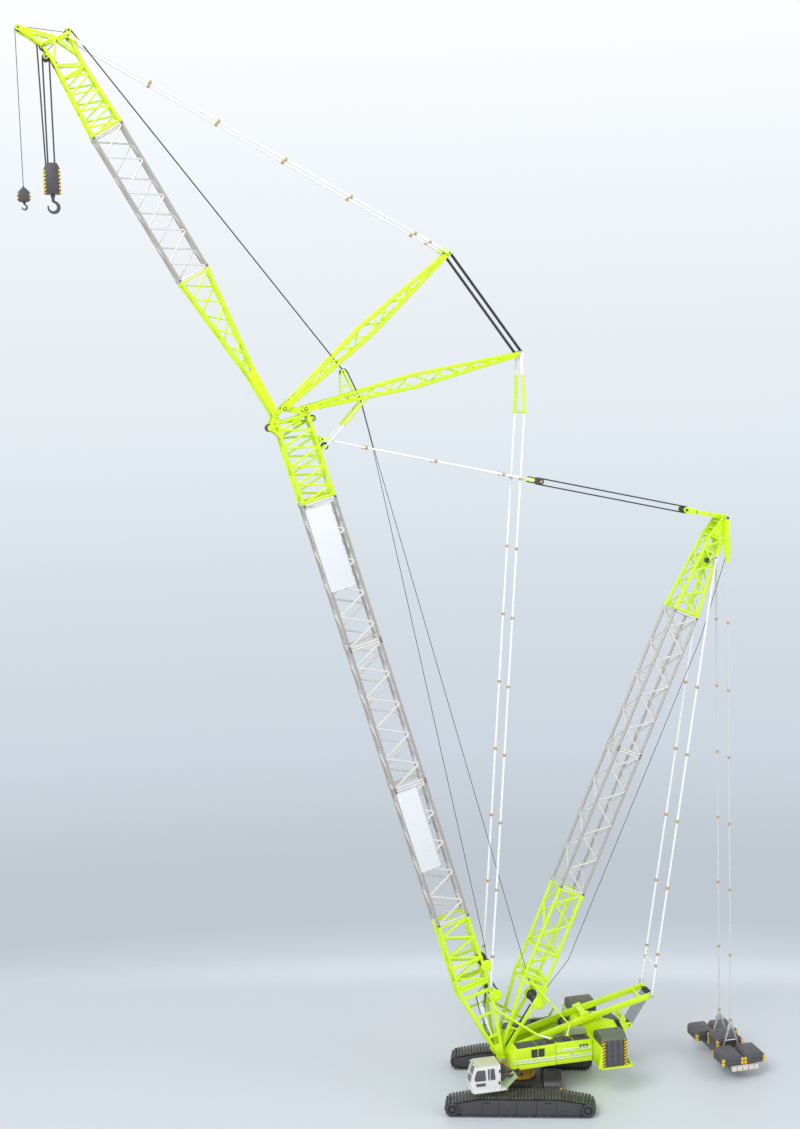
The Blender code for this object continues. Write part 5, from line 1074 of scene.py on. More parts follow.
# ------------------------------------------------------------------ superstructure
FOOT_PIN = (33.0, 58.0)
HOUSE_INNER, HOUSE_FLANK = 24.9, 49.7       # a side house, from its inner wall to its flank
CAB_PIN = (40.5, 57.0)
CAB_BRACKET = [box((17.0, 42.5), (51.4, 53.8), (51.2, 54.2)),
               box((17.0, 42.5), (65.0, 67.4), (51.2, 54.2)),
               box((17.0, 20.0), (47.0, 67.4), (51.2, 54.2)),
               *(eye_plate(CAB_PIN, (40.5, 53.0), 2.4, y + 2.6, y + 5.6) for y in (50.4, 64.0))]


class CRANE_OT_platform(Operator):
    """Deck, foot bearings and the two side houses with their panels, grilles and rails"""

    bl_idname = "crane.platform"
    bl_label = "Platform and side houses"

    def execute(self, context):
        x, z = FOOT_PIN
        deck = [box((-92.3, 8.0), (-24.6, 24.6), (51.6, 56.0)),
                *both(eye_plate(FOOT_PIN, (-4.0, 56.0), 5.5, 8.6, 12.2)),
                box((-8.0, -2.0), (-12.2, 12.2), (51.3, 58.0)),
                *both(prism([(-12, 56), (8, 56), (12, 58.5), (-8, 58.5)], 12.4, 14.0))]
        under = [box((-91.5, 7.0), (-23.8, 23.8), (50.3, 51.6)),
                 box((-60.0, 4.0), (-18.0, 18.0), (56.0, 56.6))]
        caps = [((x, way * 12.3, z), (0, way, 0), 3.1, 0.5) for way in (-1, 1)]
        piece("deck_plates", "superstructure", HOUSE,
              [solid_part("lime", deck, 0.35), solid_part("black", under, 0.2),
               stud_part("steel", caps, 18)], ["turntable_frame"])
        end = [(2.9, 26.2), (3.2, 25.9), (3.2, 25.2), (2.2, 24.8)]
        shaft = turned([(a, -d) for a, d in end] + end[::-1], (x, 0, z), "Y", 24)
        piece("foot_shaft_pin", "superstructure", HOUSE, [solid_part("steel", [shaft])],
              ["foot_shaft"])
        for side, name in ((1, "left"), (-1, "right")):
            self.house(side, name)
        return {"FINISHED"}

    def house(self, side, name):
        """One side house; drawn on the left and mirrored for the right."""
        inner, flank = HOUSE_INNER, HOUSE_FLANK
        blocks = [prism([(-38.2, 52.2), (27.0, 51.0), (27.0, 70.5), (20.0, 80.8), (-38.2, 82.4)],
                        inner, flank - 0.9),
                  prism([(-92.0, 52.4), (-38.8, 52.4), (-38.8, 82.9), (-92.0, 82.9)],
                        inner, flank - 0.7),
                  box((-92.0, -38.8), (inner + 0.5, flank - 0.2), (52.0, 58.6)),
                  prism([(-38.2, 51.8), (25.6, 50.6), (25.6, 55.6), (-38.2, 57.4)],
                        inner + 0.5, flank - 0.3)]
        skin, glazing = (flank - 1.0, flank - 0.35), (flank - 0.5, flank - 0.15)
        panels = [box(ends, skin, (67.5, 81.4)) for ends in
                  ((-91.2, -70.6), (-69.8, -54.6), (-53.8, -39.6), (-37.2, -22.4))]
        panels.append(prism([(-1.2, 66.5), (20.0, 65.5), (20.0, 79.4), (-1.2, 80.2)], *skin))
        panels += [box(ends, (flank - 1.0, flank + 0.2), (z, z + 0.7))
                   for ends, z in (((-91.6, -39.2), 58.6), ((-37.8, 23.0), 58.8))]
        lids = [prism([(a, za), (b, zb), (b, zb + high), (a, za + high)], inner + 1.5, flank - 2.8)
                for a, za, b, zb, high in ((-90.5, 82.5, -66.0, 82.5, 0.7),
                                           (-65.0, 82.5, -40.5, 82.5, 0.7),
                                           (-36.5, 82.2, -12.0, 81.5, 0.8),
                                           (-11.0, 81.5, 17.5, 80.7, 0.8))]
        black = [box((-90.0, 22.0), (inner + 1.0, flank - 2.2), (51.0, 53.2))]
        slats = []
        for a, b in ((-21.4, -12.4), (-11.2, -2.2)):
            middle = (a + b) / 2
            black.append(box((a, b), (flank - 0.95, flank - 0.45), (66.4, 78.2)))
            slats += [box((a + 0.4, b - 0.4), glazing, (z, z + 0.5))
                      for z in (67.4, 68.9, 70.4, 71.9, 73.4, 74.9, 76.4)]
            slats.append(box((middle - 0.3, middle + 0.3), (flank - 0.5, flank - 0.1),
                             (66.8, 77.8)))
        black += [box((x, x + 1.8), (30.0, 40.0), (83.1, 83.5)) for x in (-84, -80, -76, -72)]
        windows = [box((a, a + 3.6), glazing, (72.0, 77.6)) for a in (-86.0, -81.2, -76.4)]
        windows += [box((-64.0, -60.4), glazing, (63.6, 65.4)),
                    box((-8.0, -5.8), glazing, (62.4, 64.0))]
        saddles = [box((x - 5, x + 5), (36, 44), (82.4, 85.2)) for x in (-34.0, -58.0)]
        if side > 0:
            saddles += CAB_BRACKET
        knobs = [((x, 48.0, z), (0, 0, 1), 0.9, 2.0)
                 for x, z in ((-88.0, 82.8), (-62.0, 82.8), (-43.0, 82.8), (2.0, 81.2))]
        knobs += [((x, flank - 0.4, 80.6), (0, 1, 0), 0.45, 0.5) for x in range(-90, 18, 6)]
        rails = self.rails(flank + 0.1)
        if side < 0:
            rails = [(flipped(run), radius) for run, radius in rails]
            knobs = other_spots(knobs)
        parts = [solid_part(finish, on_side(side, solids), bevel) for finish, solids, bevel in
                 (("lime", blocks, 0.45), ("dark", lids, 0.2), ("lime", panels, 0.15),
                  ("black", black, 0.1), ("weight", slats, 0.0), ("glass", windows, 0.1),
                  ("dark", saddles, 0.3))]
        parts += [tube_part("stay", rails, 8), stud_part("lime", knobs, 10)]
        piece("side_house_panels_" + name, "superstructure", HOUSE, parts, ["side_house_" + name])

    def rails(self, y):
        """White handrails along the flank of a side house: bars and their posts."""
        def bar(a, b, low, high, radius):
            return [(a, y, low), (b, y, high)], radius

        runs = []
        for a, b in ((-91.0, -39.6), (-37.6, 22.6)):
            runs += [bar(a, b, z, z, 0.62) for z in (60.6, 64.2)]
            posts = int((b - a) / 7.4)
            runs += [bar(x, x, 59.2, 64.4, 0.42)
                     for x in (a + (b - a) * k / posts for k in range(posts + 1))]
        runs += [bar(-91.0, -39.6, z, z, 0.5) for z in (71.0, 73.6)]
        return runs + [bar(x, x, 70.4, 73.8, 0.4) for x in (-90.6, -78.0, -65.0, -52.5, -40.0)]


class CRANE_OT_machinery(Operator):
    """Engine, luffing winch, rear housing with its sheaves, and the counterweights"""

    bl_idname = "crane.machinery"
    bl_label = "Machinery and counterweights"

    def execute(self, context):
        engine = [box((-78.0, -46.0), (-21.0, 21.0), (56.4, 70.6)),
                  box((-44.0, -32.4), (-18.0, 18.0), (56.4, 68.0))]
        engine += [prism(rounded([(-92.0, 57.0), (-60.0, 57.0), (-60.0, front), (-66.0, top),
                                  (-88.0, top), (-92.0, rear)], 2.5), low, low + 9.1)
                   for front, top, rear, low in ((87.0, 92.0, 87.0, 15.2),
                                                 (78.0, 81.5, 77.0, -24.3))]
        ribs = [box((x, x + 0.8), (24.1, 24.7), (66.0, 79.0))
                for x in (-88.0, -82.0, -76.0, -70.0, -64.0)]
        ducts = [([(-50, -14, 70), (-46, -14, 74), (-38, -12, 74), (-34, -10, 69)], 2.0),
                 ([(-58, 12, 70), (-52, 13, 75), (-42, 12, 75), (-36, 8, 68)], 1.6),
                 ([(-76, 19, 84), (-76, 19, 89), (-78.5, 19, 91)], 1.5),
                 ([(-66, 17.5, 84), (-66, 17.5, 86.5), (-86, 17.5, 86.5), (-86, 17.5, 84)], 0.5)]
        tail = [prism(rounded([(-80.0, 56.4), (-92.0, 56.4), (-157.0, 72.0), (-157.0, 85.0),
                               (-121.0, 97.3), (-84.0, 97.3), (-80.0, 92.0)], 2.0), -14.0, 14.0)]
        tail += both(prism(rounded([(-84.0, 60.0), (-100.0, 62.5), (-150.0, 75.0), (-154.0, 80.5),
                                    (-122.0, 91.5), (-88.0, 91.5)], 3.0), 14.0, 14.8))
        vents = both(prism([(-152.0, 77.0), (-146.0, 76.0), (-138.0, 92.0), (-144.0, 93.0)],
                           14.7, 15.4))
        panel = [prism([(-124.0, 97.4), (-122.0, 96.4), (-146.5, 88.0), (-148.0, 89.0)],
                       -11.5, 11.5), box((-112.0, -92.0), (-9.0, 9.0), (97.2, 98.0))]
        lugs = both(eye_plate(HOUSE_WINCH_PIN, (-70.0, 70.0), 6.0, 14.7, 16.2),
                    eye_plate(DECK_SHEAVE_PIN, (-152.0, 80.5), 3.9, 8.6, 10.6),
                    prism([(-157.0, 85.5), (-150.0, 88.5), (-150.0, 96.0), (-154.0, 97.0),
                           (-158.0, 90.0)], 9.0, 11.0))
        bolts = [((x, way * 14.9, z), (0, way, 0), 0.5, 0.6) for way in (-1, 1)
                 for x, z in ((-90, 88), (-104, 88), (-118, 88), (-130, 84), (-96, 64),
                              (-112, 68), (-128, 72), (-142, 76))]
        sheave = grooved_sheaves(*DECK_SHEAVE_PIN, 3.9, 7.2, 4, 1.4, 10.9)
        piece("machinery_details", "superstructure", HOUSE,
              [solid_part("engine", engine, 0.8), tube_part("black", ducts, 10),
               solid_part("black", vents, 0.2), solid_part("engine", ribs, 0.1),
               solid_part("lime", tail, 0.5), solid_part("lime", lugs, 0.25),
               solid_part("weight", panel, 0.2), solid_part("dark", [sheave]),
               stud_part("lime", bolts, 8)], ["machinery_house"])
        winch("luffing_winch_barrel", "luffing_winch", HOUSE, HOUSE_WINCH_PIN,
              (6.6, 8.0, 1.2, 0.9), 5.6, "dark", "luffing_winch_drum")
        self.counterweights()
        return {"FINISHED"}

    def counterweights(self):
        """Each stack: five slabs between end plates, striped corner columns, ribs and a cap, whose
        lighter grey paints the light falling on its top.
        """
        low, shoulder, high, inner, outer = 53.8, 91.4, 99.1, 45.0, 83.0
        rear, front, step = -132.2, -95.5, 7.4
        carrier = [box((-139.4, -93.2), (-84.5, 84.5), (51.3, 53.4))]
        carrier += both(box((-95.2, -93.2), (20.0, 84.5), (53.2, 84.3)),
                        *(prism([(-93.2, 53.4), (-88.6, 53.4), (-93.2, 80.0)], *y)
                          for y in ((46.0, 47.6), (82.4, 84.2))),
                        box((-139.4, -137.9), (44.5, 84.5), (53.2, 56.0)))
        piece("counterweight_carrier_plates", "superstructure", HOUSE,
              [solid_part("lime", carrier, 0.3)], ["counterweight_carrier"])
        slabs = [box((rear + 4.4, front - 4.4), (inner, outer - 0.8), (z, z + step - 0.35))
                 for z in (low + k * step for k in range(5))]
        slabs += [box((x, x + 4.2), (inner, outer - 5.2), (low, shoulder))
                  for x in (rear, front - 4.2)]
        columns = [prism([(x, low), (x + 4.2, low), (x + 4.2, 91.6), (x, 91.6)], outer - 5.0, outer)
                   for x in (rear, front - 4.2)]
        ribs = [box((x - 2.6, x + 2.6), (outer - 2.0, outer + 0.1), (low, 91.6))
                for x in (-122.4, -113.8, -105.2)]
        cap = prism([(inner, shoulder), (outer, shoulder), (outer - 1.0, 93.6), (outer - 9.0, high),
                     (inner + 10.0, high), (inner, 93.0)], rear + 0.4, front - 0.2, "X")
        eyes = [((x, 60.0, high), (0, 0, 1), 1.6, 1.2) for x in (-124.0, -104.0)]
        for side, name in ((1, "left"), (-1, "right")):
            parts = [solid_part(finish, on_side(side, solids), bevel) for finish, solids, bevel in
                     (("weight", slabs, 0.35), ("hazard", columns, 0.25), ("weight", ribs, 0.5),
                      ("weight_top", [cap], 0.6))]
            parts.append(stud_part("weight_top", eyes if side > 0 else other_spots(eyes), 14))
            piece("counterweight_slabs_" + name, "superstructure", HOUSE, parts,
                  ["counterweight_" + name])


# The shell is drawn upright and tall; this moves it ahead of its bracket and lowers its roof.
CAB_SHIFT = Matrix.Translation((6.4, 0, 1.7)) @ Matrix.Scale(0.87, 4, (0, 0, 1))


class CRANE_OT_cab(Operator):
    """The driver's cab: shell, tinted windows, frames, step, roof and flap"""

    bl_idname = "crane.cab"
    bl_label = "Cab"

    def execute(self, context):
        rear, front, inner, outer, low, top = 44.5, 88.5, 50.0, 76.5, 40.5, 86.5
        side = outer - 0.9
        shell = prism(rounded([(rear + 0.3, low + 4.0), (front - 3.6, low + 4.0),
                               (front - 0.4, low + 14.0), (front - 2.4, low + 22.0),
                               (front - 9.4, top - 2.4), (rear + 0.3, top - 2.4)], 1.6),
                      inner + 0.4, outer - 0.8)
        roof = [prism(rounded([(rear, top - 2.8), (front - 8.6, top - 2.8), (front - 10.0, top),
                               (rear + 2.0, top)], 0.8), inner + 0.2, outer - 0.5),
                box((54.0, 66.0), (56.0, 70.0), (top - 0.2, top + 0.5))]
        sill = [prism(rounded([(rear, low + 0.2), (front - 5.0, low + 0.2),
                               (front - 1.6, low + 3.4), (front - 2.0, low + 4.6),
                               (rear, low + 4.6)], 0.7),
                      inner, outer + 0.6),
                prism(rounded([(84.0, 49.0), (88.4, 54.5), (88.0, 58.6), (83.0, 58.6)], 1.0),
                      outer - 0.9, outer - 0.5)]
        glass, frames = self.side_windows(inner, side)
        front_glass, front_frames = self.screen(Vector((front - 1.0, 0, low + 17.0)),
                                                Vector((front - 9.2, 0, top - 3.2)))
        glass += front_glass + [box((rear - 0.15, rear + 0.5), (54.0, 72.0), (64.0, 79.0))]
        marks = [box((45.6, 48.0), (side + 0.1, side + 0.5), (51.0, 56.4)),
                 box((45.4, 47.4), (side, side + 0.4), (70.5, 75.0))]
        rails = [([(57.6, outer + 0.5, 47.0), (57.6, outer + 0.9, 60.0)], 0.35),
                 ([(60.6, outer + 0.3, 46.0), (60.6, outer + 0.8, 62.0), (60.4, outer + 0.3, 79.0)],
                  0.4),
                 ([(rear + 1.0, outer + 0.4, low + 5.5), (front - 6.0, outer + 0.4, low + 5.5)],
                  0.4),
                 ([(rear + 1.0, outer + 0.5, low + 5.5), (rear + 1.0, outer + 0.5, low + 9.5)],
                  0.35),
                 ([(80.0, 53.0, top - 1.0), (84.0, 53.0, 75.0), (85.8, 55.0, 66.0)], 0.35)]
        lamps = [turned([(1.7, 80.5), (1.9, 80.9), (1.9, 82.8), (1.3, 83.2)],
                        (0, y, top - 0.6), "X", 16) for y in (56.0, 70.0)]
        hung = [solid_part("cab", [shell], 0.5), solid_part("roof", roof, 0.4),
                solid_part("cab", sill, 0.35), solid_part("glass", glass, 0.08),
                tube_part("cab", frames + front_frames, 8), solid_part("black", marks, 0.1),
                tube_part("stay", rails, 8), solid_part("steel", lamps)]
        for _, form in hung:
            form.transform(CAB_SHIFT)
        lugs = []
        for y in (50.4, 64.0):
            lugs += [eye_plate(CAB_PIN, (46.0, 57.0), 2.3, a, a + 2.2) for a in (y, y + 5.9)]
            lugs.append(disc(*CAB_PIN, 1.2, y - 0.2, y + 8.3, 14))
        one, two = Vector((44.5, 39.0)), Vector((27.5, 55.0))
        run = (two - one).normalized()
        thick = Vector((-run.y, run.x)) * 0.5
        flap = prism([tuple(p) for p in (one - thick, two - thick, two + thick, one + thick)],
                     57.0, 77.5)
        sill_plate = box((41.5, 53.0), (52.0, 76.2), (36.8, 39.6))
        piece("cab_shell_panels", "cab", HOUSE,
              hung + [solid_part("cab", [sill_plate], 0.4), solid_part("dark", lugs, 0.15),
                      solid_part("flap", [flap], 0.2)], ["cab_shell"])
        return {"FINISHED"}

    def side_windows(self, inner, side):
        """Door, rear and low panes on both flanks, and the frames of the outer ones."""
        glass, frames = [], []
        for corners_of, radius, steps in (
                ([(65.4, 59.4), (81.2, 59.4), (83.6, 64.0), (79.4, 78.4), (66.4, 78.4)], 2.4, 6),
                ([(51.6, 59.4), (63.2, 59.4), (63.9, 79.0), (53.2, 79.0)], 1.8, 5),
                ([(66.0, 50.6), (80.0, 50.6), (81.6, 57.0), (66.4, 57.0)], 1.4, 4)):
            pane = rounded(corners_of, radius, steps)
            glass += [prism(pane, side - 0.3, side + 0.25), prism(pane, inner + 0.1, inner + 0.8)]
            frames.append(([(x, side + 0.25, z) for x, z in pane + pane[:1]], 0.5))
        return glass, frames

    def screen(self, foot, head):
        """The two sloping front panes, (y, height up the slope) outlines, and their frames."""
        way = (head - foot).normalized()
        out = Vector((way.z, 0, -way.x))
        glass, frames = [], []
        for pane in ([(54.2, 0.3), (72.4, 0.3), (71.6, 11.6), (55.0, 11.6)],
                     [(55.2, 12.6), (71.4, 12.6), (70.6, 28.0), (56.0, 28.0)]):
            ring = rounded(pane, 1.4, 3)
            _, faces = prism(ring, 0, 1)
            sheets = [[tuple(foot + way * v + out * d + Vector((0, u, 0))) for u, v in ring]
                      for d in (-0.2, 0.55)]
            glass.append((sheets[0] + sheets[1], faces))
            frames.append((sheets[1] + sheets[1][:1], 0.45))
        return glass, frames


# ------------------------------------------------------------------ boom
BOOM_SECTION = -17.9, 30.0, 20.4      # rear, front and half width
BOOM_LOW, BOOM_BAY = 217.0, 207.3


def waist_hoop(section, along, lace):
    """Cross tubes round the middle of a foot section."""
    rear, front, half = section
    rear, front, half = rear + 1.6, front - 1.6, half - 1.6
    return hoop([(rear, half, along), (front, half, along), (front, -half, along),
                 (rear, -half, along)], lace * 1.5)


class CRANE_OT_boom(Operator):
    """The lattice boom: foot, three inserts with blank banner plates, head and sheaves"""

    bl_idname = "crane.boom"
    bl_label = "Boom"

    def execute(self, context):
        chord, lace = sizes().boom_chord / MM, sizes().boom_lace / MM
        self.foot(chord, lace)
        low = BOOM_LOW
        banners = {1: ((-1.0, 28.6), 123.0, 4.0), 3: ((-6.0, 29.0), 124.0, 7.0)}
        for number in (1, 2, 3):
            high = low + BOOM_BAY
            parts = insert(low, high, BOOM_SECTION, 9, chord, lace, 1)
            if number in banners:
                across, start, end = banners[number]
                parts += self.banner(across, (high - start, high - end))
            piece("boom_lattice_%d" % number, "boom", BOOM, parts, ["boom_insert_%d" % number])
            low = high
        self.head(chord, lace, low)
        for name, along in (("upper", DRUM_UPPER), ("lower", DRUM_LOWER)):
            winch("boom_winch_%s_barrel" % name, "boom_drum_" + name, BOOM, (WINCH_BACK, along),
                  FOOT_DRUM, 5.4, "black", "boom_winch_" + name)
        return {"FINISHED"}

    def banner(self, across, along):
        """A blank sign plate on the left flank, with a raised rim and corner screws."""
        (a, b), (c, d) = across, along
        y, wide = BOOM_SECTION[2], 0.9
        solids = [box(across, (y - 0.5, y + 0.35), along)]
        solids += [box(xs, (y + 0.2, y + 0.75), zs) for xs, zs in
                   (((a, a + wide), along), ((b - wide, b), along),
                    (across, (c, c + wide)), (across, (d - wide, d)))]
        screws = [((x, y + 0.4, z), (0, 1, 0), 0.55, 0.5) for x in (a + 2.2, b - 2.2)
                  for z in (c + 2.4, (c + d) / 2, d - 2.4)]
        return [solid_part("sign", solids, 0.12), stud_part("stay", screws, 10)]

    def foot(self, chord, lace):
        """Two box legs, a collar, a lattice bay and the backstops, with covers and hoses."""
        rear, front, _ = BOOM_SECTION
        waist = 152.5
        runs = tower([(u, *BOOM_SECTION) for u in (119.0, waist, BOOM_LOW - 0.2)], [2, 4],
                     [(0, 1), (3, 3)], chord * 1.12, lace)
        runs += joint_lugs(BOOM_LOW, BOOM_SECTION, chord, -1)
        runs += waist_hoop(BOOM_SECTION, waist, lace)
        runs += [([(front - 1.6, -18.8, u), (front - 1.6, 18.8, u)], 1.5) for u in (176.0, 196.0)]
        runs += [([(w, -18.4, 104.0), (w, 0.0, 116.5), (w, 18.4, 104.0)], lace)
                 for w in (rear + 1.6, front - 1.6)]
        sides = [beam((start, 22.3, 2.0), (across, 18.7, 108.0), 4.4, 2.9, 5.2)
                 for across, start in ((rear + 2.4, -2.0), (front - 2.4, 2.0))]
        sides += [box((-5.6, 9.5), (20.4, 22.4), (36.0, 39.4)),
                  box((-10.5, 18.6), (19.4, 21.4), (70.0, 73.0)),
                  prism(rounded([(-4.6, 4.0), (4.6, 4.0), (7.6, 24.0), (-6.0, 24.0)], 2.0),
                        20.8, 23.8),
                  box((rear, front), (17.6, 20.4), (102.0, 106.4)),
                  box((rear, front), (17.6, 20.4), (114.8, 118.4)),
                  *(box((w - 2.0, w + 2.0), (17.8, 20.3), (105.0, 116.0))
                    for w in (rear + 2.0, front - 2.0)),
                  boss(0, 0, 5.5, 20.7, 24.2), boss(*REAR_STAY_PIN, 2.6, 19.8, 21.0, pin=1.3),
                  disc(*REAR_STAY_PIN, 1.2, 18.4, 23.8, 14)]
        walls = [box((front - 2.4, front), (-17.6, 17.6), (103.0, 106.0)),
                 box((rear, rear + 2.4), (-17.6, 17.6), (103.0, 106.0)),
                 box((front - 3.0, front + 0.5), (-20.2, 20.2), (116.4, 118.6)),
                 box((front - 3.0, front + 0.5), (-20.2, 20.2), (102.0, 103.8))]
        walls += both(*(eye_plate((WINCH_BACK, along), (rear + 3.0, end), 4.9, 14.7, 20.2)
                        for along, end in ((DRUM_UPPER, DRUM_UPPER), (DRUM_LOWER, 106.0))),
                      *(box((-15.6, -14.2), (13.2, 14.2), (97.0 + k, 97.6 + k)) for k in range(3)))
        covers, bolts = winch_cover(DRUM_UPPER, 20.1, 8.6)
        more, heads = winch_cover(DRUM_LOWER, 20.1, 8.6)
        bend = seen_from(BOOM, HOUSE, (-17, 31, 91))
        saddle = seen_from(BOOM, HOUSE, (-34, 40, 87.4))
        start = Vector((-11.0, 20.6, 75.0))
        split = bend.lerp(saddle, 0.1)
        stops = both_runs(([start, start.lerp(bend, 0.5), bend, split], 2.0))
        rods = both_runs(([split, saddle.lerp(bend, 0.06)], 1.25))
        rods += [([(3.8, 20.6, 38.0), (3.8, 14.0, 54.4)], 0.9),
                 ([(3.8, 14.0, 80), (6.0, 15.5, 102.5)], 0.9)]
        shoes = both_spots([(saddle.lerp(bend, 0.04), saddle - bend, 2.5, 2.6),
                            (start.lerp(bend, 0.06), start - bend, 2.7, 4.0)])
        jack = turned([(1.4, 54.0), (2.5, 54.6), (2.5, 77.0), (2.8, 77.4), (2.8, 80.4),
                       (1.8, 81.0)],
                      (3.8, 14.0, 0), "Z", 18)
        hoses = [([(2 + k, 6 - 2 * k, 14), (7 + k, 8 - 2 * k, 46), (-2 + k, 9 - 2 * k, 78),
                   (-8, 10 - 2 * k, 96)], 0.42) for k in range(3)]
        hoses += [([(0, -5 - k, 16), (6, -7 - k, 60), (4 - k, -8, 92), (-10, -6, 100)], 0.4)
                  for k in range(2)]
        piece("boom_foot_frame", "boom", BOOM,
              [tube_part("lime", runs), solid_part("lime", both(*sides), 0.35),
               solid_part("lime", walls, 0.3), solid_part("lime", covers + more),
               stud_part("lime", bolts + heads, 6), tube_part("lime", stops, 14),
               tube_part("stay", rods, 12), stud_part("lime", shoes, 14),
               tube_part("black", hoses, 8), solid_part("stay", [jack])],
              ["boom_foot"])

    def head(self, chord, lace, low):
        """A tapering bay under two tube frames that hold the jib's, struts' and sheaves' pins."""
        rear = BOOM_SECTION[0]
        runs = tower([(low + JOINT_GAP, *BOOM_SECTION), (low + 81.0, -18.4, 31.0, 15.4),
                      (953.0, -17.6, 28.6, 14.6)], [6, 3], [(4, 4), (2, 2)],
                     chord * 1.08, lace * 1.1, 1)
        runs += joint_lugs(low, BOOM_SECTION, chord, 1)
        pins = (JIB_PIN, FRONT_STRUT_PIN, REAR_STRUT_PIN)
        rim = [(-16.0, 948.0), *pins[::-1], BOOM_SHEAVE_PIN, (28.0, 936.0)]
        bars_between = [(a, b, 4.6, 2.6) for a, b in zip(rim, rim[1:])]
        bars_between += [((27.0, 951.0), JIB_PIN, 6.0, 2.5),
                         ((-15.4, 951.0), (12.3, 966.0), 3.4, 2.4),
                         ((27.0, 950.0), (38.0, 949.0), 4.0, 2.4)]
        links = both(*(beam((a[0], 13.0, a[1]), (b[0], 13.0, b[1]), wide, thick)
                       for a, b, wide, thick in bars_between))
        links += both(*(disc(*pin, 4.4, 11.5, 14.6, 28) for pin in pins),
                      disc(*BOOM_SHEAVE_PIN, 4.2, 11.5, 14.6, 28))
        cross = [box((-18.4, 29.6), (-15.0, 15.0), (951.6, 953.6)),
                 box((-4.0, 6.0), (-11.7, 11.7), (942.0, 951.8)),
                 box((24.0, 30.6), (-14.6, 14.6), (932.6, 938.0))]
        guides = (-25.8, 903.3), (-21.0, 944.0)
        cross += both(eye_plate(BOOM_STAY_PIN, (rear + 3.0, BOOM_STAY_PIN[1]), 3.5, 5.1, 7.9),
                      eye_plate(guides[0], (rear + 2.0, 899.0), 2.8, 3.3, 4.6),
                      eye_plate(guides[1], (-14.0, 944.0), 2.8, 3.8, 5.2))
        cross.append(box((-18.5, -13.0), (-13.7, 13.7), (941.0, 947.0)))
        shafts = [turned([(1.5, -19.0), (2.0, -18.7), (2.0, 18.7), (1.5, 19.0)], (x, 0, z), "Y", 20)
                  for x, z in pins] + [disc(*BOOM_STAY_PIN, 1.25, -12.8, 12.8, 16)]
        sheaves = [grooved_sheaves(*guides[0], 5.0, 3.0, 2, 1.2, 4.4),
                   grooved_sheaves(*guides[1], 4.6, 3.4, 2, 1.2, 5.0)]
        bolts = flank_studs(((-15.6, 952), (-6, 961.2), (3, 964.2), (19, 966.2), (31.4, 957),
                             (29, 945), (34, 944)), 14.4, 0.6, 0.8)
        piece("boom_head_frame", "boom", BOOM,
              [tube_part("lime", runs), solid_part("lime", links, 0.3),
               solid_part("lime", cross, 0.25), solid_part("dark", shafts),
               stud_part("dark", flank_studs(pins, 19.0, 2.2, 0.7), 18),
               stud_part("lime", bolts, 6), solid_part("dark", sheaves)],
              ["boom_head"])
        piece("boom_head_sheave_grooves", "boom_sheave", BOOM,
              [solid_part("dark", [grooved_sheaves(*BOOM_SHEAVE_PIN, 5.2, 11.0, 8, 1.4, 14.9)]),
               stud_part("lime", flank_studs([BOOM_SHEAVE_PIN], 14.8, 2.6, 1.0), 18)],
              ["boom_head_sheave"])


# ------------------------------------------------------------------ mast and A-frame
MAST_SECTION = -21.8, 18.0, 21.0      # rear, front and half width
MAST_LOW, MAST_BAY, MAST_TOP = 257.0, 213.6, 800.7


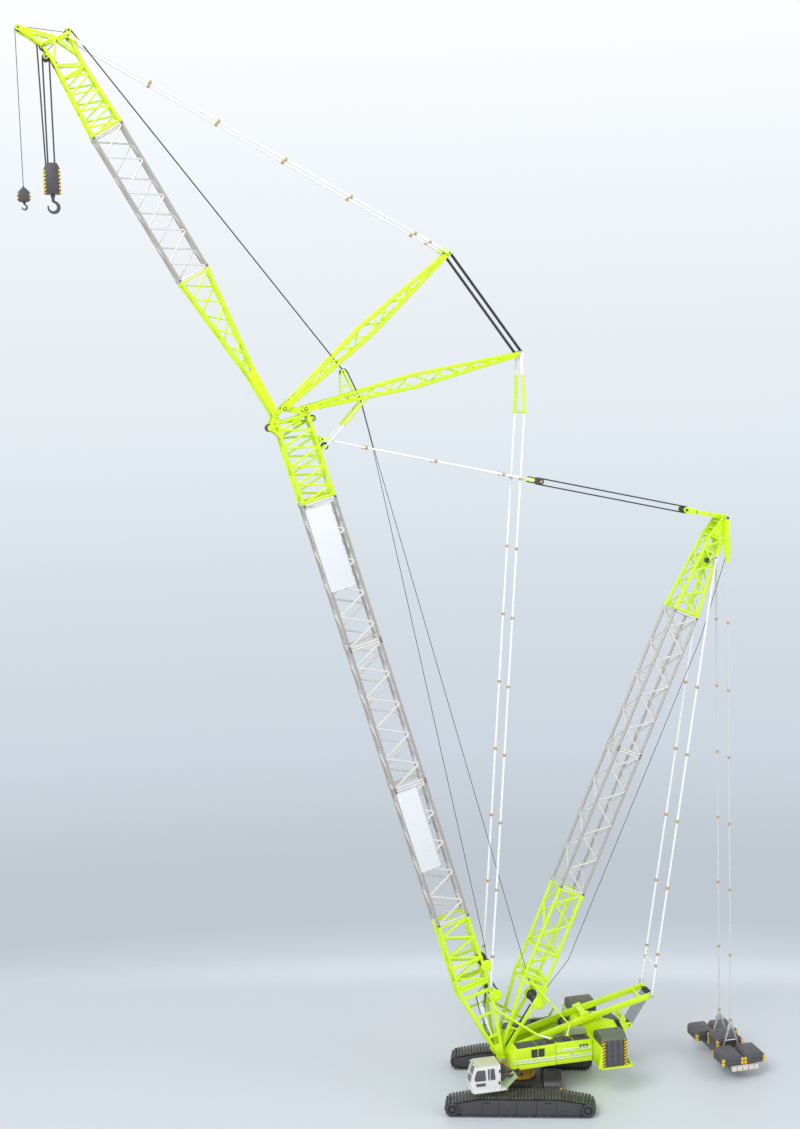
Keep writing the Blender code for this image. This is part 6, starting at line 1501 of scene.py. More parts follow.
class CRANE_OT_mast(Operator):
    """The derrick mast: open foot with its winch, two inserts, head and backstops"""

    bl_idname = "crane.mast"
    bl_label = "Derrick mast"

    def execute(self, context):
        chord, lace = sizes().mast_chord / MM, sizes().mast_lace / MM
        self.foot(chord, lace)
        winch("mast_winch_barrel", "mast_winch", MAST, (WINCH_BACK, MAST_DRUM), FOOT_DRUM, 5.4,
              "black", "mast_winch_drum")
        low = MAST_LOW
        for name in ("lower", "upper"):
            high = low + MAST_BAY
            piece("mast_lattice_" + name, "mast", MAST,
                  insert(low, high, MAST_SECTION, 8, chord, lace), ["mast_insert_" + name])
            low = high
        self.head(chord, lace, low)
        return {"FINISHED"}

    def foot(self, chord, lace):
        """Two box legs, a collar, a lattice bay and the backstops, with the winch's covers."""
        rear, front, _ = MAST_SECTION
        waist = 164.0
        runs = tower([(u, *MAST_SECTION) for u in (125.0, waist, MAST_LOW - 0.2)], [2, 4],
                     [(0, 0), (3, 3)], chord * 1.12, lace)
        runs += joint_lugs(MAST_LOW, MAST_SECTION, chord, -1)
        runs += waist_hoop(MAST_SECTION, waist, lace)
        sides = [beam((start, 14.4, 2.0), (across, 18.9, 116.0), 4.2, 2.9, 4.8)
                 for across, start in ((rear + 2.3, -2.0), (front - 2.3, 2.0))]
        sides += [boss(0, 0, 5.4, 12.7, 16.2, pin=2.4),
                  box((-9.5, 5.5), (15.0, 16.8), (44.0, 46.8)),
                  box((rear, front), (18.2, 21.0), (112.4, 116.0)),
                  box((rear, front), (18.2, 21.0), (121.4, 124.4)),
                  *(box((w - 2.0, w + 2.0), (18.3, 20.9), (115.0, 122.0))
                    for w in (rear + 2.0, front - 2.0))]
        walls = [box((front - 2.4, front), (-18.2, 18.2), (113.0, 115.6)),
                 box((rear, rear + 2.4), (-18.2, 18.2), (113.0, 115.6)),
                 box((rear - 0.5, rear + 3.0), (-20.6, 20.6), (122.6, 124.8)),
                 box((rear - 0.5, rear + 3.0), (-20.6, 20.6), (112.0, 113.8))]
        walls += both(eye_plate((WINCH_BACK, MAST_DRUM), (rear + 3.0, 116.0), 4.9, 14.7, 20.6))
        covers, bolts = winch_cover(MAST_DRUM, 20.5, 9.2)
        bend = seen_from(MAST, HOUSE, (-64, 34, 102))
        saddle = seen_from(MAST, HOUSE, (-58, 40, 87.4))
        start = Vector((5.0, 20.4, 118.0))
        split = start.lerp(bend, 0.46)
        tubes = both_runs(([start, split], 2.0))
        rods = both_runs(([split, bend, saddle.lerp(bend, 0.08)], 1.35))
        shoes = both_spots([(saddle.lerp(bend, 0.10), saddle - bend, 2.4, 2.6),
                            (split, split - start, 2.5, 3.0),
                            (start.lerp(bend, 0.04), start - bend, 2.6, 4.0)])
        hoses = [([(-3 - k, 8 - 2 * k, 14), (-9, 9 - k, 52), (-14, 10 - k, 84)], 0.7)
                 for k in range(3)]
        piece("mast_foot_frame", "mast", MAST,
              [tube_part("lime", runs), solid_part("lime", both(*sides), 0.35),
               solid_part("lime", walls, 0.3), solid_part("lime", covers),
               stud_part("lime", bolts, 6), tube_part("lime", tubes, 14),
               tube_part("lime", rods, 12), stud_part("lime", shoes, 14),
               tube_part("black", hoses, 8)], ["mast_foot"])

    def head(self, chord, lace, low):
        """A tapering bay, two cheeks at the tip and the sheaves between them."""
        top, tip = MAST_TOP, MAST_TIP[0]
        runs = tower([(low + JOINT_GAP, *MAST_SECTION), (top, -15.0, 9.0, 15.5)], [6], [(5, 5)],
                     chord * 1.08, lace * 1.08)
        runs += joint_lugs(low, MAST_SECTION, chord, 1)
        runs += both_runs(([(6.8, 14.0, top - 1), (-1.6, 13.8, 829.0)], 2.2),
                          ([(-13.0, 14.0, top - 1), (-8.4, 13.8, 829.0)], 2.0))
        runs += [([(w, -13.6, u), (w, 13.6, u)], 1.4)
                 for w, u in ((3.4, 811.0), (0.4, 822.0), (-11.6, 811.0))]
        plate = rounded([(-8.6, 802.0), (5.2, 802.0), (1.4, 830.7), (-0.8, 835.2), (-7.8, 835.2),
                         (-10.3, 830.7)], 1.8, 3)
        cheeks = both(prism(plate, 12.6, 15.3), eye_plate(MAST_TIP, (tip, 815.0), 5.2, 11.8, 12.7),
                      boss(*MAST_STAY_PIN, 3.0, 14.0, 18.2, pin=1.3))
        guides = (-12.0, 826.0), (-4.0, 765.0)
        cross = [box((-14.8, 8.8), (-15.3, 15.3), (top - 2.2, top - 0.4)),
                 box((-7.5, -3.0), (-12.7, 12.7), (808.0, 815.0)),
                 box((-12.0, 4.0), (-17.0, 17.0), (752.0, 754.0)),
                 box((-12.0, 4.0), (-16.2, 16.2), (776.0, 778.0)),
                 box((-8.0, 0.0), (-9.0, 9.0), (753.0, 777.0)),
                 *both(eye_plate(guides[0], (-5.0, 816.0), 2.6, 5.7, 7.0))]
        pins = both(turned([(2.0, 11.0), (2.0, 22.4), (1.6, 22.8)], (tip, 0, MAST_TIP[1]), "Y", 18),
                    turned([(1.3, 13.0), (1.3, 22.2), (1.0, 22.6)],
                           (MAST_STAY_PIN[0], 0, MAST_STAY_PIN[1]), "Y", 16))
        sheaves = [grooved_sheaves(*guides[0], 4.4, 5.4, 3, 1.3, 7.2),
                   grooved_sheaves(*guides[1], 3.7, 12.0, 3, 1.4, 14.5)]
        bolts = flank_studs(((-5, 806), (1, 806), (-7, 816), (0, 816), (-4.3, 823)), 15.4, 0.6, 0.7)
        piece("mast_head_frame", "mast", MAST,
              [tube_part("lime", runs), solid_part("lime", cheeks, 0.3),
               solid_part("lime", cross, 0.25), solid_part("dark", pins),
               solid_part("dark", sheaves), stud_part("lime", bolts, 6)],
              ["mast_head"])


class CRANE_OT_a_frame(Operator):
    """The A-frame: two boxed arms, cross member and tip sheaves"""

    bl_idname = "crane.a_frame"
    bl_label = "A-frame"

    def execute(self, context):
        inner, outer = 16.7, 20.1
        line = [(0.0, 0.0, 4.5), (27.0, 8.5, 4.5), (134.0, 6.0, 4.6), (241.8, 0.0, 4.0)]
        far = [(142.0, 5.4, 4.5), (226.0, 1.2, 4.1)]

        def band(stops, share=1.0):
            """The outline along (distance, middle, half depth) stops."""
            return ([(w + h * share, u) for u, w, h in stops]
                    + [(w - h * share, u) for u, w, h in reversed(stops)])

        arms = both(prism(rounded(band(line), 3.0, 3), inner, outer))
        panels = both(*(prism(rounded(band(*web), 1.0, 2), outer - 0.1, outer + 0.35)
                        for web in ((line[1:3], 0.62), (far, 0.6))),
                      box((2.0, 10.4), (16.0, 16.8), (60.0, 61.4)),
                      box((2.0, 10.4), (16.0, 16.8), (98.0, 99.4)),
                      box((0.0, 8.0), (16.0, 16.8), (176.0, 177.4)))
        cross = both(boss(0, 0, 5.5, 16.8, 20.2, pin=2.4),
                     boss(*A_FRAME_TIP, 4.2, 19.0, 21.4, pin=1.5),
                     box((4.4, 15.2), (15.2, 18.0), (127.5, 140.5)))
        cross += [box((5.0, 14.6), (-19.9, 19.9), (130.0, 138.2)),
                  box((-1.5, 2.5), (-16.8, 16.8), (219.0, 223.0))]
        bolts = flank_studs(((8.4, 30), (7.8, 62), (6.9, 98), (6.2, 128), (5.2, 148), (3.2, 186),
                             (1.4, 222)), outer + 0.4, 0.6, 0.6)
        piece("a_frame_arms", "a_frame_arm", A_FRAME,
              [solid_part("lime", arms, 0.6), solid_part("lime", panels, 0.2),
               solid_part("lime", cross, 0.25), stud_part("lime", bolts, 8)],
              ["a_frame"])
        piece("a_frame_tip_sheaves", "a_frame_sheave", A_FRAME,
              [solid_part("dark", [grooved_sheaves(*A_FRAME_TIP, 3.9, 7.9, 4, 1.4, 20.4)])],
              ["a_frame_sheaves"])
        return {"FINISHED"}


# ------------------------------------------------------------------ jib and struts
JIB_SECTION = -24.5, 19.7, 15.9       # rear, front and half width
JIB_LOW, JIB_HIGH = 208.0, 418.5


class CRANE_OT_jib(Operator):
    """The luffing jib: pointed foot, insert, head with its sheaves"""

    bl_idname = "crane.jib"
    bl_label = "Luffing jib"

    def execute(self, context):
        chord, lace = sizes().jib_chord / MM, sizes().jib_lace / MM
        share = 62.0 / JIB_LOW
        rear, front = JIB_SECTION[0] * share, JIB_SECTION[1] * share
        runs = tower([(62.0, rear, front, 17.4), (207.8, *JIB_SECTION)], [6], [(5, 5)],
                     chord * 1.1, lace) + joint_lugs(JIB_LOW, JIB_SECTION, chord, -1)
        leg = rounded([(-5.0, 0.5), (-4.6, 5.0), (rear, 64.0), (front, 64.0), (4.6, 5.0),
                       (5.0, 0.5), (3.0, -4.0), (-3.0, -4.0)], 1.5, 3)
        solids = both(prism(leg, 15.0, 18.2), boss(0, 0, 5.0, 17.6, 19.2, pin=2.0),
                      box((-4.6, 4.2), (18.0, 18.7), (24.0, 25.4)),
                      box((-6.0, 5.0), (18.0, 18.7), (44.0, 45.4)))
        solids.append(box((-6.0, 5.0), (-16.8, 16.8), (58.0, 62.0)))
        bolts = flank_studs(((-2, 12), (2, 12), (-3, 34), (3, 34), (-4, 54), (4, 54)),
                            18.3, 0.55, 0.6)
        piece("jib_foot_frame", "jib", JIB,
              [tube_part("lime", runs), solid_part("lime", solids, 0.3),
               stud_part("lime", bolts, 6)], ["jib_foot"])
        piece("jib_lattice", "jib", JIB, insert(JIB_LOW, JIB_HIGH, JIB_SECTION, 8, chord, lace),
              ["jib_insert"])
        self.head(chord, lace)
        return {"FINISHED"}

    def head(self, chord, lace):
        """A tapering bay and two open tube frames that carry the sheaves and the nose."""
        runs = tower([(JIB_HIGH + JOINT_GAP, *JIB_SECTION), (500.0, -22.4, 14.6, 12.6)], [7],
                     [(5, 5)], chord * 1.08, lace * 1.08)
        runs += joint_lugs(JIB_HIGH, JIB_SECTION, chord, 1)
        y = 10.0
        bends = (([(12.6, 499.0), (11.0, 519.0), (11.2, 533.0), (13.2, 546.5), (18.6, 561.0),
                   (28.6, 581.0)], 2.0), ([(-20.4, 499.0), (-21.0, 518.0), (-25.3, 543.5)], 2.0),
                 ([(-6.6, 546.4), (28.2, 580.0)], 1.7), ([(11.0, 520.0), (-6.8, 546.4)], 1.6),
                 ([(-24.6, 542.0), (13.4, 547.4)], 1.7), ([(-6.6, 545.0), (-20.6, 517.0)], 1.5),
                 ([(11.2, 517.0), (-20.6, 501.5)], lace * 1.1),
                 ([(13.6, 548.0), (6.4, 559.6)], 1.1))
        runs += both_runs(*(([(w, y, u) for w, u in points], radius) for points, radius in bends))
        runs += [([(w, -y, u), (w, y, u)], radius) for w, u, radius in
                 ((11.2, 519.0, 1.5), (-21.0, 517.5, 1.5), (-6.6, 546.4, 1.7), (18.6, 561.0, 1.2),
                  (-22.6, 531.0, 1.2), (6.4, 559.6, 1.1))]
        eyes = both(disc(*JIB_TOP_PIN, 3.3, 8.6, 11.3, 22), disc(*JIB_TIP_PIN, 3.6, 8.6, 11.3, 22),
                    disc(*JIB_HOIST_PIN, 2.9, 8.6, 11.3, 22),
                    eye_plate(JIB_HOIST_PIN, (10.0, 531.0), 2.7, 8.8, 11.0),
                    eye_plate(JIB_TIP_PIN, (16.0, 558.0), 2.9, 9.0, 10.8),
                    disc(13.0, 543.5, 2.6, 8.8, 11.1, 18))
        sheaves = [grooved_sheaves(*JIB_TOP_PIN, 3.9, 4.8, 3, 1.4, 8.7),
                   grooved_sheaves(*JIB_TIP_PIN, 3.4, 2.9, 2, 1.4, 8.7),
                   grooved_sheaves(12.6, 544.6, 4.0, 5.0, 3, 1.3, 9.0),
                   grooved_sheaves(10.4, 518.0, 3.6, 4.6, 3, 1.2, 9.0)]
        caps = flank_studs((JIB_TOP_PIN, JIB_TIP_PIN, (13.0, 543.5)), 11.5, 1.7, 0.9)
        caps += flank_studs([JIB_STAY_PIN], 13.0, 1.2, 7.0)
        piece("jib_head_frame", "jib", JIB,
              [tube_part("lime", runs), solid_part("lime", eyes, 0.25),
               solid_part("dark", sheaves), stud_part("dark", caps, 16)],
              ["jib_head"])
        piece("jib_hoist_sheaves", "jib_sheaves", JIB,
              [solid_part("dark", [grooved_sheaves(*JIB_HOIST_PIN, 4.2, 8.0, 4, 1.4, 11.9)]),
               stud_part("dark", flank_studs([JIB_HOIST_PIN], 11.7, 1.9, 0.6), 16)],
              ["jib_head_sheaves"])


def strut_frame(length, mid_depth, mid_half):
    """Runs and solids of a spindle-shaped strut with feet and a sheave cluster at its tip."""
    chord, lace = sizes().jib_chord / MM * 1.1, sizes().jib_lace / MM * 1.05
    tip = length - 13.0
    runs = tower([(16.0, -4.5, 4.5, 18.0), (length * 0.5, -mid_depth / 2, mid_depth / 2, mid_half),
                  (tip, -4.0, 4.0, 8.6)], [6, 6], [(4, 4), (4, 4)], chord, lace)
    solids = both(eye_plate((0, 0), (0, 18.0), 4.2, 14.9, 18.2),
                  eye_plate((0, length), (0, tip - 2.0), 3.6, 6.8, 8.5),
                  boss(0, 0, 3.6, 17.8, 18.9, pin=1.8), boss(0, length, 2.6, 8.2, 9.4, pin=1.3))
    solids += [box((-3.4, 3.4), (-15.2, 15.2), (15.0, 18.4)),
               box((-3.2, 3.2), (-7.0, 7.0), (tip - 3.0, tip - 0.4))]
    return runs, solids, grooved_sheaves(0, length, 3.8, 5.9, 3, 1.3, 8.2)


class CRANE_OT_struts(Operator):
    """Front and rear struts over the boom's head, with guide roller and backstops"""

    bl_idname = "crane.struts"
    bl_label = "Jib struts"

    def execute(self, context):
        runs, solids, sheave = strut_frame(FRONT_TIP[1], 22.0, 13.5)
        ends = flank_studs([FRONT_TIP], 14.4, 1.25, 2.2) + flank_studs([FRONT_TIP], 8.9, 1.3, 6.0)
        piece("front_strut_frame", "front_strut_body", FRONT_STRUT,
              [tube_part("lime", runs), solid_part("lime", solids, 0.25),
               solid_part("dark", [sheave]), stud_part("dark", ends, 14)],
              ["front_strut"])
        runs, solids, sheave = strut_frame(REAR_TIP[1], 21.0, 12.5)
        (x, z), stop_x, stop_z = (34.96, 62.34), -4.37, 86.17
        solids += both(disc(x, z, 3.4, 6.1, 7.9, 18))
        roller = grooved_sheaves(x, z, 3.1, 5.6, 3, 1.2, 8.2)
        runs += [([(0, -15.6, z), (0, 15.6, z)], 2.6),
                 ([(stop_x, -16, stop_z), (stop_x, 16, stop_z)], 2.1)]
        runs += both_runs(([(3.0, 7.0, 52.8), (x - 1.0, 7.0, z - 2.4)], 1.0),
                          ([(3.0, 7.0, 71.8), (x - 1.0, 7.0, z + 2.4)], 1.0),
                          ([(16.0, 7.0, 57.0), (16.0, 7.0, 68.6)], 0.7))
        low = seen_from(REAR_STRUT, BOOM, (BOOM_SECTION[0] - 1.4, 15.0, 900.0))
        high = Vector((stop_x, 15.0, stop_z))
        split = high.lerp(low, 0.52)
        feet = both_spots([(high, (0, 1, 0), 2.5, 3.2), (split, low - high, 2.3, 2.6),
                           (low.lerp(high, 0.05), low - high, 1.8, 3.4)])
        piece("rear_strut_frame", "boom", REAR_STRUT,
              [tube_part("lime", runs), solid_part("lime", solids, 0.25),
               solid_part("dark", [sheave, roller]),
               tube_part("lime", both_runs(([high, split], 1.9)), 12),
               tube_part("stay", both_runs(([split, low], 1.1)), 12), stud_part("lime", feet, 14)],
              ["rear_strut"])
        return {"FINISHED"}


# ------------------------------------------------------------------ stays
LINK_EVERY, LINK_LONG, LINK_LIFT = 98.0, 3.6, 1.7


def stay_line(y, low, high, radius, start):
    """A rod along Z with brass links every so far, left and right: rod runs and link studs."""
    way = Vector((0, 0, 1))
    links, spot = [], start
    while spot < high - low - LINK_EVERY * 0.3:
        links.append(((0, y, low + spot), way, radius * LINK_LIFT, LINK_LONG))
        spot += LINK_EVERY
    return both_runs(([(0, y, low), (0, y, high)], radius)), both_spots(links)


def home_between(low, high):
    """The drawing of a rod: its origin at one point of the house's drawing, its Z to the next."""
    return stand(HOUSE @ low, lean=degrees(atan2(high.x - low.x, high.z - low.z)))


def forks(centre, toward, y, radius, reach, thick=0.8):
    """Two thin plates round a pin, running into a rod; mirrored."""
    centre, toward = Vector(centre), Vector(toward)
    way = (toward - centre).normalized() * reach
    end = centre + way
    return both(eye_plate(tuple(centre), tuple(end), radius, y - thick - 0.2, y - 0.2),
                eye_plate(tuple(centre), tuple(end), radius, y + 0.2, y + thick + 0.2))


BLOCK_LOW, BLOCK_HIGH = 312.0, 532.0      # the reeved sheaves, along the boom's stays


class CRANE_OT_stays(Operator):
    """Stay rods with their brass links, the spreader and the two luffing blocks"""

    bl_idname = "crane.stays"
    bl_label = "Stays and blocks"

    def execute(self, context):
        rod = sizes().stay / MM
        self.to_mast(rod)
        self.to_a_frame(rod)
        self.to_jib(rod)
        self.rear(rod)
        return {"FINISHED"}

    def to_a_frame(self, rod):
        """From the A-frame's tip up to the mast's head."""
        tip, high = in_house(A_FRAME, A_FRAME_TIP), in_house(MAST, MAST_STAY_PIN)
        way, length = (high - tip).normalized(), (high - tip).length

        def at(d, y):
            return tuple(tip + way * d + Vector((0, y, 0)))

        runs = both_runs(([at(2.0, 21.9), at(20.0, 21.9), at(40.0, 20.8), at(length - 2.0, 20.8)],
                          rod))
        runs.append(([at(45.0, -21.4), at(45.0, 21.4)], 1.2))
        links = both_spots([(at(d, 20.8), way, rod * 1.75, 4.0) for d in range(62, 455, 98)]
                           + [(at(45.0, 20.8), (0, 1, 0), 1.9, 3.0),
                              (at(45.0, 20.8), way, 1.7, 6.0)])
        low, top = (tip.x, tip.z), (high.x, high.z)
        plates = forks(low, top, 21.6, 2.9, 12.0) + forks(top, low, 20.6, 3.0, 12.0)
        piece("mast_stay_rods", "mast", HOUSE,
              [tube_part("stay", runs, 12), stud_part("brass", links),
               solid_part("steel", plates, 0.15)], ["mast_stays"])

    def to_mast(self, rod):
        """From the boom's head to the mast's head, with the reeved blocks between."""
        home = home_between(in_house(BOOM, BOOM_STAY_PIN), in_house(MAST, MAST_TIP))
        runs, links = stay_line(10.87, 1.0, 301.0, rod, 60.0)
        cheeks = both(eye_plate((0, BLOCK_LOW), (0, 298.0), 4.2, 9.4, 11.3),
                      eye_plate((0, BLOCK_LOW), (0, 300.0), 4.2, -1.0, -0.2))
        cheeks.append(box((-3.2, 3.2), (-11.4, 11.4), (299.0, 302.6)))
        plates = forks((0, 0), (0, 50), 10.9, 2.9, 12.0)
        plates += forks((0, 300), (0, 250), 10.9, 2.6, 10.0, 0.7)
        piece("boom_stay_rods", "boom_stay", home,
              [tube_part("stay", runs, 12), stud_part("brass", links),
               solid_part("dark", cheeks, 0.25),
               solid_part("dark", [grooved_sheaves(0, BLOCK_LOW, 3.9, 8.9, 4, 1.4, 11.6)]),
               stud_part("brass", flank_studs([(0, BLOCK_LOW)], 11.6, 2.0, 0.8), 14),
               solid_part("lime", plates, 0.15)], ["boom_stays"])
        block = both(eye_plate((0, BLOCK_HIGH), (0, 546.0), 4.2, 9.4, 11.3),
                     eye_plate((0, 590.9), (0, 542.0), 3.0, 4.6, 6.9))
        block += [box((-3.2, 3.2), (-11.4, 11.4), (541.0, 545.2)),
                  box((-2.0, 2.0), (-4.8, 4.8), (556.0, 560.0))]
        caps = flank_studs([(0, BLOCK_HIGH)], 11.6, 2.0, 0.8)
        caps += flank_studs(((0, 549.0), (0, 570.0)), 7.1, 0.8, 0.7)
        piece("stay_block_sheaves", "stay_block_body", home,
              [solid_part("lime", block, 0.25),
               solid_part("dark", [grooved_sheaves(0, BLOCK_HIGH, 3.9, 8.9, 4, 1.4, 11.6)]),
               stud_part("dark", caps, 14)], ["stay_block"])

    def to_jib(self, rod):
        """From the front strut's tip to the jib's head."""
        tip, head = in_house(FRONT_STRUT, FRONT_TIP), in_house(JIB, JIB_STAY_PIN)
        length = (head - tip).length
        runs, links = stay_line(13.47, 1.0, length - 1.0, rod, 52.0)
        runs.append(([(0, -13.9, 30.0), (0, 13.9, 30.0)], 1.1))
        links += both_spots([((0, 13.47, 30.0), (0, 0, 1), 1.7, 5.0)])
        plates = forks((0, 0), (0, 50), 13.5, 2.8, 12.0)
        plates += forks((0, length), (0, length - 50), 13.5, 2.5, 13.0)
        piece("jib_stay_rods", "jib_stay", home_between(tip, head),
              [tube_part("stay", runs, 12), stud_part("brass", links),
               solid_part("lime", plates, 0.15)], ["jib_stays"])

    def rear(self, rod):
        """From the boom's foot over the spreader to the rear strut's tip."""
        low, tip = in_house(BOOM, REAR_STAY_PIN), in_house(REAR_STRUT, REAR_TIP)
        knee = in_house(BOOM, (-299.56, 864.05))
        way, long = (knee - low).normalized(), (knee - low).length
        middle, end = tip.lerp(knee, 0.38), tip.lerp(knee, 0.03)

        def side(p, y):
            return p.x, y, p.z

        joint, fork, top = side(knee, 22.2), side(middle, 14.6), side(end, 10.0)
        runs = both_runs(([side(low + way * 2, 22.2), joint], rod), ([fork, top], rod * 1.5))
        spreader = both_runs(([joint, fork], 2.1)) + [([side(knee, -23.4), side(knee, 23.4)], 1.7)]
        links = [(side(low + way * d, 22.2), way, rod * 1.7, 3.6)
                 for d in range(46, 46 + 96 * 8, 96) if d < long - 20]
        sleeves = both_spots([(joint, (0, 1, 0), 2.6, 3.4), (joint, -way, 2.2, 6.0),
                              (fork, tip - knee, 2.7, 3.6)])
        bend = (knee.x, knee.z)
        plates = forks((low.x, low.z), bend, 22.2, 2.7, 11.0)
        plates += forks((tip.x, tip.z), bend, 10.0, 3.0, 9.0, 0.7)
        piece("rear_stay_rods", "boom", HOUSE,
              [tube_part("stay", runs, 12), stud_part("brass", both_spots(links)),
               tube_part("lime", spreader, 12), stud_part("lime", sleeves, 14),
               solid_part("steel", plates, 0.15)], ["rear_stays"])


# ------------------------------------------------------------------ ropes
def fall_loops(one, two, radius, lanes, rope, steps=10):
    """Rope loops round two sheave clusters: (x, z) centres, one loop in each lane."""
    one, two = Vector((one[0], one[1])), Vector((two[0], two[1]))
    way = (two - one).normalized()
    side = Vector((-way.y, way.x))
    loop = []
    for centre, ahead in ((one, -way), (two, way)):
        first = side if centre is one else -side
        for k in range(steps + 1):
            a = pi * k / steps
            loop.append(centre + (first * cos(a) + ahead * sin(a)) * radius)
    loop.append(loop[0])
    return [([(p.x, y, p.y) for p in loop], rope) for y in lanes]


class CRANE_OT_ropes(Operator):
    """All wire ropes: luffing falls, strut reeving, hoist lines and hook falls"""

    bl_idname = "crane.ropes"
    bl_label = "Ropes"

    def rope(self, name, body, runs, *covered):
        piece(name, body, HOUSE, [tube_part("rope", runs, 8)], covered)

    def falls(self, name, bodies, low, high, loops, covered, extra=()):
        """Rope loops between two sheave clusters, from one body to the other."""
        (x1, _, z1), (x2, _, z2) = low, high
        self.rope(name, (*bodies, HOUSE @ low, HOUSE @ high),
                  fall_loops((x1, z1), (x2, z2), *loops) + list(extra), covered)

    def execute(self, context):
        thick, fall = sizes().rope / MM, sizes().fall / MM
        self.falls("a_frame_falls", ("superstructure", "a_frame_arm"),
                   Vector((DECK_SHEAVE_PIN[0], 0, DECK_SHEAVE_PIN[1])),
                   in_house(A_FRAME, A_FRAME_TIP), (4.3, (-5.9, -2.0, 2.0, 5.9), thick * 1.2),
                   "a_frame_ropes")

        start, end = in_house(BOOM, BOOM_STAY_PIN), in_house(MAST, MAST_TIP)
        way = (end - start).normalized()
        self.falls("stay_falls", ("boom_stay", "stay_block_body"), start + way * BLOCK_LOW,
                   start + way * BLOCK_HIGH, (4.3, (-6.7, -2.2, 2.2, 6.7), fall), "stay_reeving")
        lead = [in_house(MAST, pin) for pin in
                ((-26.6, 95.0), (-46, 160.0), (-46, 657.0), (-33, 790.0), (-16.6, 827.0),
                 (-12.0, 830.8), (-4.0, 832.0), (6.0, 829.5))]
        self.rope("luffing_lead_rope", "mast", [(lead, thick)], "stay_reeving")
        self.falls("strut_falls", ("boom", "front_strut_body"), in_house(REAR_STRUT, REAR_TIP),
                   in_house(FRONT_STRUT, FRONT_TIP), (4.2, (-3.9, 0.0, 3.9), fall),
                   "strut_reeving")

        top = in_house(JIB, JIB_HOIST_PIN)
        block = top - Vector((0, 0, MAIN_FALL))
        forward = [([(top.x + 10.2, y, top.z + 16.4), (block.x + 6.6, y, block.z + 1.0)], fall)
                   for y in (-2.0, 2.0)]
        self.falls("hook_falls", ("main_fall", "hook_block_body"), top, block,
                   (4.2, (-3.0, 3.0), fall), "main_falls", forward)

        hang = in_house(JIB, JIB_TIP_PIN)
        over = [hang + Vector((4.0 * cos(radians(a)), 0, 4.0 * sin(radians(a))))
                for a in (140, 115, 90, 65, 40, 20, 0)]
        low = over[-1] - Vector((0, 0, AUX_FALL))
        self.rope("aux_hook_rope", ("aux_rope", "aux_hook_body", HOUSE @ over[-1], HOUSE @ low),
                  [(over + [low], thick)], "aux_fall")
        self.hoist_lines(thick)
        return {"FINISHED"}

    def hoist_lines(self, thick):
        """Two ropes from the jib's head over the rear strut's guide down to their drums."""
        guide = [in_house(REAR_STRUT, pin) for pin in
                 ((38.9, 62.9), (38.6, 66.4), (34.5, 69.0), (-6.1, 77.7))]
        below, last = in_house(BOOM, (-88.75, 881.2)), in_house(JIB, (-29.6, 544.9))
        x, z = JIB_TOP_PIN
        over = [in_house(JIB, (x + 4.2 * cos(radians(a)), z + 4.2 * sin(radians(a))))
                for a in (180, 150, 120, 90, 60, 30)]
        mast = [in_house(MAST, pin) for pin in ((28.9, 150.6), (-13.4, 98.4))]
        boom = [in_house(BOOM, pin) for pin in ((-30.0, 165.0), (-26.6, 141.0))]

        def line(points, y):
            return [(p.x, y, p.z) for p in points], thick

        self.rope("hoist_ropes_over_jib_head", "jib",
                  [line(over + [in_house(JIB, (12.0, 536.4))], 2.6),
                   line(over + [in_house(JIB, (23.6, 579.6))], -2.6)],
                  "main_hoist_line", "aux_hoist_line")
        for name, side in (("main", 2.5), ("aux", -2.5)):
            self.rope(name + "_hoist_rope_upper", ("boom", "jib", HOUSE @ guide[0], HOUSE @ last),
                      [line([last, guide[0]], side)], name + "_hoist_line")
        self.rope("main_hoist_rope_lower", ("mast", "boom", HOUSE @ mast[0], HOUSE @ below),
                  [line(guide + [below] + mast, 2.5)], "main_hoist_line")
        self.rope("aux_hoist_rope_lower", "boom", [line(guide + [below] + boom, -2.5)],
                  "aux_hoist_line")


